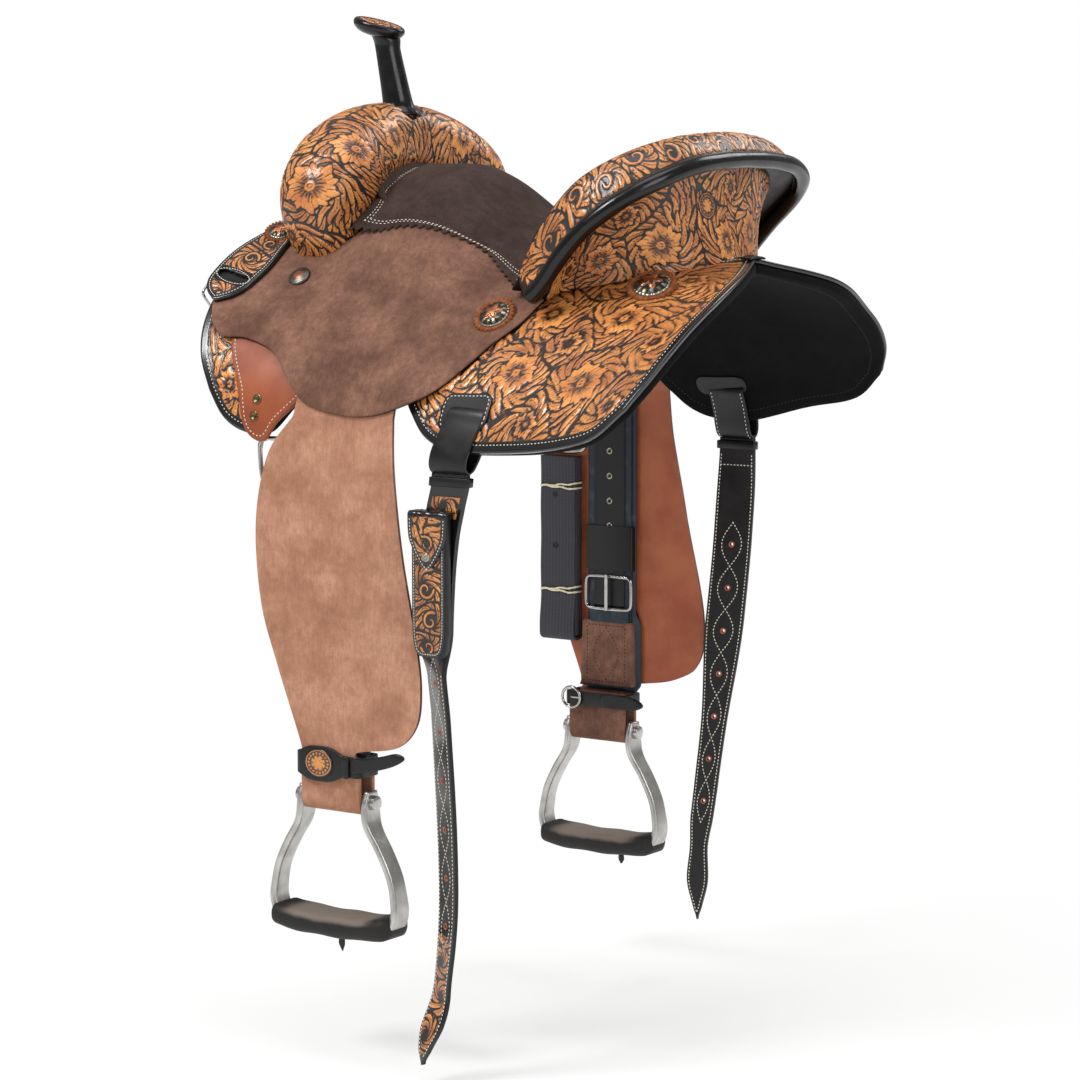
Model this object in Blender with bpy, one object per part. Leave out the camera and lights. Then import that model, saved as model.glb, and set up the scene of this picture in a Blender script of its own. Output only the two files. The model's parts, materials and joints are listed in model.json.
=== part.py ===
"""Barrel racing saddle, built in pieces.

Frame: metres, +X to the near (left) side, -Y to the front, +Z up.
The origin is on the centre plane, under the tree, where a saddle rack's ridge carries it.
Every panel that follows the horse's back is a patch on one curved form. A place on that
form has three numbers: y along the back, s down the side from the spine, d out from it.
"""
import math

import bmesh
import bpy
import numpy as np
from mathutils import Matrix, Vector

# Leather and layer thicknesses, counted out from the horse
GAP = 0.0003
LAYER_GAP = 0.0010
LINING = 0.0100
SKIRT_LEATHER = 0.0045
RIGGING_LEATHER = 0.0035
FENDER_LEATHER = 0.0035
JOCKEY_LEATHER = 0.0036
SEAT_PAD = 0.0050
GROUND_SEAT = 0.0060
COVER_LEATHER = 0.0045
STRAP_LEATHER = 0.0055

SKIRT_IN = LINING + GAP
SKIRT_OUT = SKIRT_IN + SKIRT_LEATHER
RIGGING_IN = SKIRT_OUT + LAYER_GAP
RIGGING_OUT = RIGGING_IN + RIGGING_LEATHER
FENDER_IN = RIGGING_OUT + LAYER_GAP
FENDER_OUT = FENDER_IN + FENDER_LEATHER

# The horse's back: heights and slopes at three stations from front to rear
STATIONS = (-0.28, 0.0, 0.28)
SPINE_HEIGHT = (0.112, 0.066, 0.060)
SPINE_SLOPE = (16, 15, 12)
SIDE_SLOPE = (86, 86, 64)
SIDE_DEPTH = 0.34

# The tips of the bars lift the skirts round the cantle
TIP_Y = (0.06, 0.12, 0.20, 0.25, 0.285)
TIP_RISE = (0.0, 0.0085, 0.0120, 0.0040, 0.0)
TIP_HALF_WIDTH = 0.24

# The ridge of the ground seat, from the fork to the rear of the tree
RIDGE_Y = (-0.250, -0.205, -0.150, -0.085, -0.060, -0.035, -0.010, 0.010, 0.060, 0.110, 0.160, 0.205, 0.250)
RIDGE_RISE = (0.0, 0.030, 0.0540, 0.0630, 0.0580, 0.0460, 0.0290, 0.0190, 0.0150, 0.0065, 0.0040, 0.0030, 0.0)
SEAT_HALF_WIDTH = 0.185
SEAT_ROWS = 11
SEAT_DISH_ROWS = 4
SEAT_GAP = 0.0009

# The off skirt is cut a little smaller than the near one
OFF_SKIRT_SHORT = 0.020
OFF_SKIRT_SHALLOW = 0.016

# Fork, swell and horn
ARCH_HALF_WIDTH = 0.128
ARCH_RISE = 0.070
ARCH_HEIGHT = 0.125
FORK_Y = (-0.198, -0.194, -0.188, -0.190)
FORK_HALF_DEPTH = (0.040, 0.043, 0.044, 0.036)
FORK_RADIUS = (0.043, 0.044, 0.047, 0.044)
FORK_ANGLES = (0, 30, 65, 125)
FORK_REACH = 125
FORK_SIDES = 12
BAR_STATIONS = (-0.238, -0.215, -0.190, -0.165, -0.1435, -0.130, -0.105, -0.080, -0.055, -0.030,
                0.000, 0.035, 0.070, 0.108, 0.115, 0.134, 0.160, 0.182, 0.203)
HORN_FOOT = (0.0, -0.184, 0.224)
HORN_NECK_TOP = (0.0, -0.204, 0.3030)
HORN_FOOT_RADIUS = 0.0205
HORN_NECK_RADIUS = 0.0130
HORN_CAP_LENGTH = 0.062
HORN_CAP_WIDTH = 0.050
HORN_CAP_THICKNESS = 0.0150
HORN_LEAN = -16.0
HORN_CAP_SETBACK = 0.006
COLLAR_STEP = 0.0035
NECK_MIDDLE_RADIUS = 0.0160

# Cantle: angle round the crest, crest height, angle round the binding, binding height
CANTLE_ROWS = (
    (0.0, 0.199, 0.0, 0.176),
    (20.0, 0.195, 16.0, 0.171),
    (41.0, 0.185, 38.0, 0.156),
    (63.0, 0.167, 62.0, 0.133),
    (80.0, 0.145, 79.0, 0.104),
    (92.0, 0.109, 86.0, 0.078),
    (102.0, 0.064, 88.7, 0.058),
)
CREST_PLAN = (0.165, 0.105, 0.122, 2.6)
BINDING_PLAN = (0.185, 0.142, 0.120, 3.5)
CANTLE_TOP_PLAN = (0.158, 0.121, 0.120, 2.8)
CANTLE_FOOT_PLAN = (0.126, 0.132, 0.120, 2.2)
BINDING_RADIUS = 0.0088
ROLL_CROWN = 0.006
CANTLE_HOLLOW = 0.006

# Rosettes and the keeper on the front of the near skirt
ROSETTE_RADIUS = 0.0225
KEEPER_ROSETTE_RADIUS = 0.0155
JOCKEY_ROSETTE_AT = (0.0680, 0.1770)
SKIRT_ROSETTE_AT = (0.2370, 0.1240)
KEEPER_ROSETTE_AT = (-0.2470, 0.1310)
KEEPER_LEATHER = 0.0044

# Fender, stirrup leather and stirrup
LIFT_X = 0.2642
LIFT_Z = -0.0885
PIVOT_X = 0.2540
PIVOT_Z = -0.1165
LIFT_RADIUS = 0.0309
FENDER_PLANE = LIFT_X - FENDER_LEATHER / 2
NECK_Z = -0.440
FENDER_OUTLINE = (
    (-0.128, LIFT_Z), (-0.160, -0.130), (-0.176, -0.200), (-0.170, -0.284),
    (-0.148, -0.351), (-0.1185, -0.428), (-0.1185, NECK_Z), (-0.0435, NECK_Z),
    (-0.0435, -0.4315), (0.006, -0.422), (0.031, -0.398), (0.037, -0.362),
    (0.032, -0.315), (0.014, -0.225), (0.004, -0.145), (0.003, LIFT_Z),
)
OFF_FENDER_REAR = 1.13
LEG_Y = -0.081
LEATHER_WIDTH = 0.058
LEATHER_Y = -0.073
LEATHER_INNER_X = 0.2530
LEATHER_THICKNESS = 0.0045
LEATHER_HOLE_RADIUS = 0.0030
LEATHER_HOLE_TOP = -0.130
LEATHER_HOLE_PITCH = 0.029
LEATHER_HOLES = 5
ARC_GAP = 0.0006
KEEPER_Z = (-0.298, -0.246)
KEEPER_WALL = 0.0022
BUCKLE_Z = (-0.346, -0.303)
BUCKLE_HALF_WIDTH = 0.0335
TONGUE_THICKNESS = 0.0028
TONGUE_WIDTH = 0.0042
WIRE_RADIUS = 0.0022
HOBBLE_Z = (-0.462, -0.434)
HOBBLE_LEATHER = 0.0036
BOLT_X = 0.2512
BOLT_Z = -0.4855
SLEEVE_RADIUS = 0.0085
LOOP_LEATHER = 0.0050
LOOP_HALF_WIDTH = 0.0380
BOLT_RADIUS = 0.0045
ARM_THICKNESS = 0.0062
ARM_WIDTH = 0.0220
EAR_Y = LOOP_HALF_WIDTH + 0.0015
TREAD_Z = -0.6170
TREAD_DEPTH = 0.050
TREAD_THICKNESS = 0.0210
TREAD_HALF_LENGTH = 0.0630
ARM_BEND = 0.0790

# Flank billets
BILLET_Y = 0.091
BILLET_WIDTH = 0.045
SLOT_S = 0.2860
LOOP_EDGE_S = 0.3350
LOOP_END_S = 0.3480
BILLET_HOLE_PITCH = 0.050
BILLET_HOLES = 7
BILLET_HOLE_RADIUS = 0.0028
LAST_HOLE_TO_TIP = 0.142
LOOP_THICKNESS = 0.0034
LOOP_END_DEPTH = 0.0076
LOOP_STATIONS = (0.2970, 0.3090, 0.3210)

POUCH_Y = 0.0600
POUCH_DROP = 0.036
POUCH_DEPTH = 0.0135
POUCH_HALF_WIDTH = 0.0205
POUCH_WALL = 0.0031
POCKET_DEPTH = 0.128
FLAP_LEATHER = 0.0026
FLAP_HALF_WIDTH = 0.0235
FLAP_DROP = 0.053

# Dees and latigo
DEE_Y = -0.142
HEM_Y = -0.1685
HEM_LENGTH = 0.012
DEE_HALF_WIDTH = 0.0370
DEE_X = 0.2540
DEE_Z = -0.1130
DEE_DROP = 0.0500
DEE_WIRE = 0.0029
DEE_POWER = 4.5
COLLAR_DEE_Y = -0.299
COLLAR_DEE_S = 0.205
COLLAR_DEE_WIDTH = 0.026
COLLAR_WIRE = 0.0016
LATIGO_WIDTH = 0.046
LATIGO_DEPTH = 0.0150
LATIGO_BOTTOM = -0.385

TAN = (0.46, 0.19, 0.045)
BROWN = (0.16, 0.085, 0.060)
SUEDE = (0.045, 0.025, 0.020)
RUSSET = (0.36, 0.11, 0.040)
PALE_BROWN = (0.33, 0.18, 0.12)
BLACK = (0.012, 0.011, 0.012)
STEEL = (0.62, 0.61, 0.59)
ALUMINIUM = (0.66, 0.66, 0.67)
WOOD = (0.50, 0.36, 0.20)


def clear_scene():
    for item in list(bpy.data.objects):
        bpy.data.objects.remove(item, do_unlink=True)


def material(name, colour, roughness, metallic=0.0):
    """One Principled material, shared by name."""
    found = bpy.data.materials.get(name)
    if found:
        return found
    made = bpy.data.materials.new(name)
    made.use_nodes = True
    shader = made.node_tree.nodes["Principled BSDF"]
    shader.inputs["Base Color"].default_value = (*colour, 1.0)
    shader.inputs["Roughness"].default_value = roughness
    shader.inputs["Metallic"].default_value = metallic
    return made


def leather(name, colour, roughness=0.6):
    return material(name, colour, roughness)


def smooth(x, xs, vs):
    """A curve through the stations that never swings past them."""
    xs = np.asarray(xs, float)
    vs = np.asarray(vs, float)
    x = np.clip(np.asarray(x, float), xs[0], xs[-1])
    step = np.diff(xs)
    slope = np.diff(vs) / step
    bend = np.zeros_like(vs)
    same = slope[1:] * slope[:-1] > 0
    total = np.where(same, slope[1:] + slope[:-1], 1.0)
    bend[1:-1] = np.where(same, 2 * slope[1:] * slope[:-1] / total, 0.0)
    i = np.clip(np.searchsorted(xs, x, side="right") - 1, 0, len(xs) - 2)
    t = (x - xs[i]) / step[i]
    rise = vs[i] * (1 + 2 * t) * (1 - t) ** 2 + vs[i + 1] * t * t * (3 - 2 * t)
    return rise + step[i] * (bend[i] * t * (1 - t) ** 2 + bend[i + 1] * t * t * (t - 1))


def station_value(y, values):
    """The parabola through the three stations of the horse's back."""
    a, b, c = STATIONS
    front = (y - b) * (y - c) / ((a - b) * (a - c))
    middle = (y - a) * (y - c) / ((b - a) * (b - c))
    rear = (y - a) * (y - b) / ((c - a) * (c - b))
    return values[0] * front + values[1] * middle + values[2] * rear


def tip_lift(y, s):
    """How far the bars' rear tips lift what lies over the horse's back."""
    share = np.clip(np.abs(s) / TIP_HALF_WIDTH, 0, 1)
    return smooth(y, TIP_Y, TIP_RISE) * (1 - share ** 4) ** 2


def back_form(y, s, d=0.0):
    """The point at y, a length s down the side, and d out from the horse's back.

    The slope grows with the square of s, and x and z are its cosine and sine summed along s.
    """
    y, s, d = np.broadcast_arrays(np.asarray(y, float), np.asarray(s, float), np.asarray(d, float))
    near = np.where(s < 0, -1.0, 1.0)
    run = np.abs(s)
    d = d + tip_lift(y, s)
    first = np.radians(station_value(y, SPINE_SLOPE))
    last = np.radians(station_value(y, SIDE_SLOPE))
    share = (np.arange(24) + 0.5) / 24
    angle = first[..., None] + (last - first)[..., None] * (run[..., None] * share / SIDE_DEPTH) ** 2
    x = run * np.cos(angle).mean(-1)
    z = station_value(y, SPINE_HEIGHT) - run * np.sin(angle).mean(-1)
    end = first + (last - first) * (run / SIDE_DEPTH) ** 2
    return np.stack([near * (x + d * np.sin(end)), y, z + d * np.cos(end)], -1)


def seat_rise(y, s):
    """How far the ground seat stands over the bars."""
    rise = smooth(y, RIDGE_Y, RIDGE_RISE)
    share = np.clip(np.abs(s) / SEAT_HALF_WIDTH, 0, 1)
    return rise * (1 - share ** 2.2) ** 1.6


def jockey_floor(y):
    """What the jockey lies on: the rigging in front, the fender, then the skirt."""
    front = RIGGING_OUT + LAYER_GAP
    over = FENDER_OUT + LAYER_GAP
    rear = SKIRT_OUT + LAYER_GAP
    return smooth(y, (-0.32, -0.175, -0.135, 0.005, 0.055, 0.33),
                  (front, front, over, over, rear, rear))


def seat_form(y, s, d=0.0):
    """The back form raised to the underside of the jockeys and the ground seat, plus d."""
    return back_form(y, s, jockey_floor(y) + seat_rise(y, s) + d)


def curve_points(points, count):
    """Points spaced evenly along a smooth curve through the given ones."""
    p = np.asarray(points, float)
    if len(p) == 2:
        t = np.linspace(0, 1, count)[:, None]
        return p[0] * (1 - t) + p[1] * t
    ends = np.vstack([2 * p[0] - p[1], p, 2 * p[-1] - p[-2]])
    fine = []
    for i in range(1, len(ends) - 2):
        a, b, c, e = ends[i - 1:i + 3]
        t = np.linspace(0, 1, 24, endpoint=False)[:, None]
        fine.append(0.5 * (2 * b + (c - a) * t + (2 * a - 5 * b + 4 * c - e) * t ** 2
                           + (3 * b - a - 3 * c + e) * t ** 3))
    fine = np.vstack(fine + [p[-1:]])
    run = np.concatenate([[0], np.cumsum(np.linalg.norm(np.diff(fine, axis=0), axis=1))])
    want = np.linspace(0, run[-1], count)
    return np.stack([np.interp(want, run, fine[:, k]) for k in range(p.shape[1])], -1)


def patch(top, bottom, front, rear, across, down):
    """A grid that fills four edge curves: each cell blends the edges that face each other."""
    u = np.linspace(0, 1, across + 1)[:, None, None]
    v = np.linspace(0, 1, down + 1)[None, :, None]
    t = curve_points(top, across + 1)[:, None, :]
    b = curve_points(bottom, across + 1)[:, None, :]
    f = curve_points(front, down + 1)[None, :, :]
    r = curve_points(rear, down + 1)[None, :, :]
    corners = ((1 - u) * (1 - v) * t[0, 0] + u * (1 - v) * t[-1, 0]
               + (1 - u) * v * b[0, 0] + u * v * b[-1, 0])
    return (1 - v) * t + v * b + (1 - u) * f + u * r - corners


def add_mesh(name, verts, faces, mat, sharp=35.0):
    mesh = bpy.data.meshes.new(name)
    mesh.from_pydata([tuple(map(float, v)) for v in verts], [], faces)
    work = bmesh.new()
    work.from_mesh(mesh)
    bmesh.ops.recalc_face_normals(work, faces=work.faces)
    work.to_mesh(mesh)
    work.free()
    mesh.shade_smooth()
    mesh.set_sharp_from_angle(angle=math.radians(sharp))
    thing = bpy.data.objects.new(name, mesh)
    bpy.context.scene.collection.objects.link(thing)
    thing.data.materials.append(mat)
    return thing


def shell(name, inner, outer, mat):
    """A closed sheet of leather between two grids of points."""
    rows, cols = inner.shape[:2]
    verts = np.vstack([inner.reshape(-1, 3), outer.reshape(-1, 3)])
    count = rows * cols
    faces = []
    for i in range(rows - 1):
        for j in range(cols - 1):
            a = i * cols + j
            b = count + a
            faces += [(a, a + 1, a + cols + 1), (a, a + cols + 1, a + cols)]
            faces += [(b, b + cols + 1, b + 1), (b, b + cols, b + cols + 1)]
    rim = [i * cols for i in range(rows)]
    rim += [(rows - 1) * cols + j for j in range(1, cols)]
    rim += [i * cols + cols - 1 for i in range(rows - 2, -1, -1)]
    rim += [j for j in range(cols - 2, 0, -1)]
    for a, b in zip(rim, rim[1:] + rim[:1]):
        faces.append((a, b, count + b, count + a))
    return add_mesh(name, verts, faces, mat)


def panel(name, grid, side, form, low, high, mat):
    """A panel on a form, from d = low to d = high; side is 1 near and -1 off."""
    y = grid[..., 0]
    s = grid[..., 1]
    inner = form(y, s, low)
    outer = form(y, s, high)
    flip = np.array([side, 1, 1])
    return shell(name, inner * flip, outer * flip, mat)


def loft(name, sections, mat, closed=False, caps=True, sharp=35.0):
    """Quads between closed sections of one point count, with flat ends."""
    rows = len(sections)
    cols = len(sections[0])
    verts = np.vstack(sections)
    faces = []
    for i in range(rows if closed else rows - 1):
        k = (i + 1) % rows
        for j in range(cols):
            m = (j + 1) % cols
            faces.append((i * cols + j, i * cols + m, k * cols + m, k * cols + j))
    if caps and not closed:
        faces.append(tuple(range(cols)))
        faces.append(tuple((rows - 1) * cols + j for j in range(cols)))
    return add_mesh(name, verts, faces, mat, sharp)


def ring_loft(name, outer, inner, mat):
    """A tube with a wall: outer and inner sections, joined at both ends."""
    rows = len(outer)
    cols = len(outer[0])
    verts = np.vstack([np.vstack(outer), np.vstack(inner)])
    count = rows * cols
    faces = []
    for i in range(rows - 1):
        for j in range(cols):
            m = (j + 1) % cols
            faces.append((i * cols + j, i * cols + m, (i + 1) * cols + m, (i + 1) * cols + j))
            faces.append((count + i * cols + j, count + (i + 1) * cols + j,
                          count + (i + 1) * cols + m, count + i * cols + m))
    for i in (0, rows - 1):
        for j in range(cols):
            m = (j + 1) % cols
            faces.append((i * cols + j, i * cols + m, count + i * cols + m, count + i * cols + j))
    return add_mesh(name, verts, faces, mat)


def plate(name, outline, axis, low, high, mat, side=1):
    """A flat outline pushed through a thickness along one axis."""
    other = [k for k in range(3) if k != axis]
    verts = []
    for level in (low, high):
        for a, b in outline:
            point = [0.0, 0.0, 0.0]
            point[axis] = level
            point[other[0]] = a
            point[other[1]] = b
            verts.append((point[0] * side, point[1], point[2]))
    count = len(outline)
    faces = [tuple(range(count)), tuple(range(count, 2 * count))]
    for i in range(count):
        k = (i + 1) % count
        faces.append((i, k, count + k, count + i))
    return add_mesh(name, verts, faces, mat)


def frame_along(path):
    """Directions square to a path that lies in a plane of constant x."""
    path = np.asarray(path, float)
    ahead = np.gradient(path, axis=0)
    ahead /= np.linalg.norm(ahead, axis=1)[:, None]
    sideways = np.tile([1.0, 0.0, 0.0], (len(path), 1))
    up = np.cross(sideways, ahead)
    return ahead, sideways, up


def rounded_box(half_a, half_b, corner, steps=2):
    """A rectangle with round corners, counted round from the right."""
    points = []
    for turn, (sa, sb) in enumerate(((1, 1), (-1, 1), (-1, -1), (1, -1))):
        for k in range(steps + 1):
            angle = math.radians(90 * turn + 90 * k / steps)
            points.append((sa * (half_a - corner) + corner * math.cos(angle),
                           sb * (half_b - corner) + corner * math.sin(angle)))
    return points


def circle(radius, count, start=0.0):
    turn = 2 * math.pi / count
    return [(radius * math.cos(start + turn * k), radius * math.sin(start + turn * k))
            for k in range(count)]


def closed_wire(name, path, radius, sides, mat):
    """A round wire bent into a closed ring that lies in any plane."""
    path = np.asarray(path, float)
    centre = path.mean(0)
    third = len(path) // 3
    normal = np.cross(path[third] - path[0], path[2 * third] - path[0])
    normal /= np.linalg.norm(normal)
    sections = []
    for k, point in enumerate(path):
        ahead = path[(k + 1) % len(path)] - path[k - 1]
        ahead /= np.linalg.norm(ahead)
        out = np.cross(ahead, normal)
        if np.dot(out, point - centre) < 0:
            out = -out
        sections.append([point + out * a + normal * b for a, b in circle(radius, sides)])
    return loft(name, [np.array(s) for s in sections], mat, closed=True, caps=False, sharp=60)


def boolean(thing, other, operation):
    cut = thing.modifiers.new(operation.lower(), "BOOLEAN")
    cut.operation = operation
    cut.solver = "EXACT"
    cut.object = other
    return thing


def guide(thing):
    """A cutter or a shape to join, kept out of sight."""
    thing.hide_render = True
    thing.display_type = "WIRE"
    return thing


def superellipse(angle, plan):
    """A point in plan at an angle from straight back: half width, half length, centre, power."""
    half_x, half_y, centre, power = plan
    sine = np.sin(np.radians(angle))
    cosine = np.cos(np.radians(angle))
    x = half_x * np.sign(sine) * np.abs(sine) ** (2 / power)
    y = centre + half_y * np.sign(cosine) * np.abs(cosine) ** (2 / power)
    return x, y


def cantle_line(share, column, plan, lift=0.0):
    """A line round the cantle; share runs from -1 off to 1 near."""
    rows = np.array(CANTLE_ROWS)
    place = np.abs(share) * (len(rows) - 1)
    angle = np.sign(share) * smooth(place, np.arange(len(rows)), rows[:, column])
    height = smooth(place, np.arange(len(rows)), rows[:, column + 1])
    x, y = superellipse(angle, plan)
    return np.stack([x, y, height + lift], -1)


def seat_grid(rows_flat, rows_dish, columns):
    """The underside of the seat: level rows on the seat form, then the dish up to the crest."""
    share = np.linspace(-1, 1, columns + 1)
    side = np.abs(share)
    front_y = smooth(side, (0, 0.3, 0.7, 1), (-0.1475, -0.1465, -0.1430, -0.1375))
    front_s = 0.108 * side
    edge = curve_points(((-0.1375, 0.108), (-0.085, 0.103), (-0.030, 0.093), (0.000, 0.092),
                         (0.035, 0.110), (0.074, 0.135)), rows_flat + 1)
    foot_y = smooth(side, (0, 0.5, 0.8, 1), (0.130, 0.118, 0.098, 0.074))
    foot_s = 0.135 * side
    grid = np.zeros((rows_flat + rows_dish + 1, columns + 1, 3))
    for i in range(rows_flat + 1):
        t = i / rows_flat
        edge_t = (edge[i, 0] - edge[0, 0]) / (edge[-1, 0] - edge[0, 0])
        along = t * (1 - side ** 4) + edge_t * side ** 4
        y = front_y * (1 - along) + foot_y * along
        straight = front_s * (1 - along) + foot_s * along
        bowed = edge[i, 1] * side
        s = straight * (1 - side ** 2) + bowed * side ** 2
        grid[i] = seat_form(y, np.sign(share) * s, JOCKEY_LEATHER + SEAT_GAP)
    foot = grid[rows_flat].copy()
    crest = cantle_line(share, 0, CREST_PLAN)
    middle = crest * np.array([0.94, 1.0, 0.0]) + foot * np.array([0.06, 0.0, 0.0])
    middle[:, 1] = crest[:, 1] * 0.86 + foot[:, 1] * 0.14
    middle[:, 2] = foot[:, 2] * 0.86 + crest[:, 2] * 0.14
    for i in range(1, rows_dish + 1):
        t = i / rows_dish
        grid[rows_flat + i] = (1 - t) ** 2 * foot + 2 * t * (1 - t) * middle + t * t * crest
    return grid


def normals_of(grid):
    """Unit normals of a grid of points, turned upwards."""
    along = np.gradient(grid, axis=0)
    across = np.gradient(grid, axis=1)
    out = np.cross(along, across)
    out /= np.linalg.norm(out, axis=-1)[..., None] + 1e-12
    return np.where(out[..., 2:3].mean() < 0, -out, out)


def fork_angles():
    return np.linspace(-FORK_REACH, FORK_REACH, 19)


def fork_section(angle, inset, count):
    """One closed section of the fork at an angle over the arch, from straight up."""
    a = abs(angle)
    sine = math.sin(math.radians(angle))
    cosine = math.cos(math.radians(angle))
    centre = np.array([ARCH_HALF_WIDTH * sine, float(smooth(a, FORK_ANGLES, FORK_Y)),
                       ARCH_HEIGHT + ARCH_RISE * cosine])
    deep = float(smooth(a, FORK_ANGLES, FORK_HALF_DEPTH)) - inset
    tall = float(smooth(a, FORK_ANGLES, FORK_RADIUS)) - inset
    lean = math.radians(angle) * 0.92
    out = np.array([math.sin(lean), 0.0, math.cos(lean)])
    points = []
    for k in range(count):
        turn = 2 * math.pi * k / count
        c = math.copysign(abs(math.cos(turn)) ** 0.86, math.cos(turn))
        s = math.copysign(abs(math.sin(turn)) ** 0.86, math.sin(turn))
        points.append(centre + out * tall * c + np.array([0.0, deep * s, 0.0]))
    return np.array(points)


def stand_level(y, s):
    """The level that the fork and the cantle stand on, out from the horse's back."""
    jockey = smooth(y, (-0.33, 0.108, 0.134, 0.36), (JOCKEY_LEATHER, JOCKEY_LEATHER, 0.0, 0.0))
    clear = np.where(y > 0, 1.0, smooth(np.abs(s), (0.106, 0.118), (0.0, 1.0)))
    tips = smooth(y, (0.118, 0.134, 0.205, 0.222), (0.0, 0.0050, 0.0050, 0.0))
    over_bars = smooth(np.abs(s), (0.066, 0.078), (1.0, 0.0))
    return jockey_floor(y) + jockey + clear * seat_rise(y, s) + tips * over_bars


def make_floor_cutter(name, extra):
    """Everything under the jockeys and the skirts, to trim what stands on them."""
    y = np.linspace(-0.33, 0.36, 61)[:, None]
    s = np.linspace(-0.30, 0.30, 51)[None, :]
    top = back_form(y, s, stand_level(y, s) + extra)
    low = back_form(y, s, -0.08)
    return guide(shell(name, low, top, leather("guide", BLACK)))


def build_tree(floor):
    """Fork, bars, cantle board and the ground seat between them."""
    wood = material("bare_wood", WOOD, 0.7)
    inset = COVER_LEATHER + LAYER_GAP
    fork = loft("tree_fork", [fork_section(a, inset, FORK_SIDES) for a in fork_angles()], wood)
    boolean(fork, floor, "DIFFERENCE")

    y = np.array(BAR_STATIONS)[:, None]
    v = np.linspace(0, 1, 6)[None, :]
    inner = smooth(y, (-0.238, -0.15, 0.203), (0.066, 0.036, 0.036))
    outer = smooth(y, (-0.238, -0.15, -0.12, 0.05, 0.115, 0.134, 0.203),
                   (0.104, 0.104, 0.120, 0.128, 0.088, 0.062, 0.060))
    s = inner * (1 - v) + outer * v
    under_seat = jockey_floor(y) + seat_rise(y, s) + JOCKEY_LEATHER - GROUND_SEAT - 0.0030
    covered = smooth(y, (-0.1435, -0.1300, 0.1080, 0.1150), (0, 1, 1, 0))
    standing = stand_level(y, s) - np.where(y > 0.1, 0.0012, 0.0)
    level = standing * (1 - covered) + under_seat * covered
    level = np.maximum(level, SKIRT_OUT + 0.004)
    for label, side in (("near", 1), ("off", -1)):
        flip = np.array([side, 1, 1])
        lower = back_form(y, s, SKIRT_OUT + 0.0012)
        upper = back_form(y, s, level)
        shell(f"tree_{label}_bar", lower * flip, upper * flip, wood)

    y = np.linspace(-0.122, 0.094, 12)[:, None]
    s = np.linspace(-0.070, 0.070, 9)[None, :]
    under = seat_form(y, s, JOCKEY_LEATHER - GROUND_SEAT)
    over = seat_form(y, s, JOCKEY_LEATHER - 0.0010)
    shell("ground_seat", under, over, leather("strainer_leather", RUSSET))


def build_swell(floor):
    """The tooled cover over the fork, and the horn on it."""
    tooled = leather("tooled_leather", TAN, 0.35)
    outer = [fork_section(a, 0.0, FORK_SIDES) for a in fork_angles()]
    inner = [fork_section(a, COVER_LEATHER, FORK_SIDES) for a in fork_angles()]
    cover = ring_loft("swell_cover", outer, inner, tooled)
    boolean(cover, floor, "DIFFERENCE")
    form = guide(loft("swell_guide", [fork_section(a, -GAP, FORK_SIDES) for a in fork_angles()[5:-5]], tooled))

    black = leather("black_leather", BLACK, 0.3)
    foot = np.array(HORN_FOOT)
    top = np.array(HORN_NECK_TOP)
    sections = []
    for share in np.linspace(0, 1, 8):
        radius = float(smooth(share, (0, 0.18, 0.5, 0.85, 1),
                              (HORN_FOOT_RADIUS + COLLAR_STEP, HORN_FOOT_RADIUS, NECK_MIDDLE_RADIUS,
                               HORN_NECK_RADIUS, HORN_NECK_RADIUS + 0.0020)))
        centre = foot * (1 - share) + top * share
        tilt = math.radians(HORN_LEAN) * share
        sections.append(np.array([centre + np.array([a * 0.92, b * math.cos(tilt), b * math.sin(tilt)])
                                  for a, b in circle(radius, 16)]))
    neck = loft("horn_neck", sections, black)
    boolean(neck, form, "DIFFERENCE")

    lean = math.radians(HORN_LEAN)
    sections = []
    rows = ((0.0, 0.52), (0.24, 0.80), (0.47, 0.95), (0.70, 1.0), (0.90, 0.95), (1.0, 0.80))
    for height, scale in rows:
        ring = []
        for a, b in circle(1.0, 20):
            pear = 1.0 - 0.13 * b
            x = a * scale * pear * HORN_CAP_WIDTH / 2
            y = b * scale * HORN_CAP_LENGTH / 2 - HORN_CAP_SETBACK
            z = height * HORN_CAP_THICKNESS
            ring.append((x, y * math.cos(lean) - z * math.sin(lean), y * math.sin(lean) + z * math.cos(lean)))
        sections.append(np.array(ring) + top + GAP * np.array([0.0, -math.sin(lean), math.cos(lean)]))
    loft("horn_cap", sections, tooled)


def build_seat():
    suede = leather("seat_suede", SUEDE, 0.9)
    grid = seat_grid(SEAT_ROWS, SEAT_DISH_ROWS, 18)
    out = normals_of(grid)
    share = np.linspace(-1, 1, grid.shape[1])[None, :, None]
    crown = SEAT_PAD * (1 - 0.45 * share ** 6)
    shell("seat", grid, grid + crown * out, suede)
    return grid, out


def cantle_levels(share):
    """The lines that bound the cantle: crest, binding, and the back's top and foot."""
    crest = cantle_line(share, 0, CREST_PLAN)
    binding = cantle_line(share, 2, BINDING_PLAN)
    back_top = cantle_line(share, 2, CANTLE_TOP_PLAN, -0.002)
    back_foot = cantle_line(share, 2, CANTLE_FOOT_PLAN)
    back_foot[:, 2] = back_top[:, 2] * 0.30 + 0.010
    return crest, binding, back_top, back_foot


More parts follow.
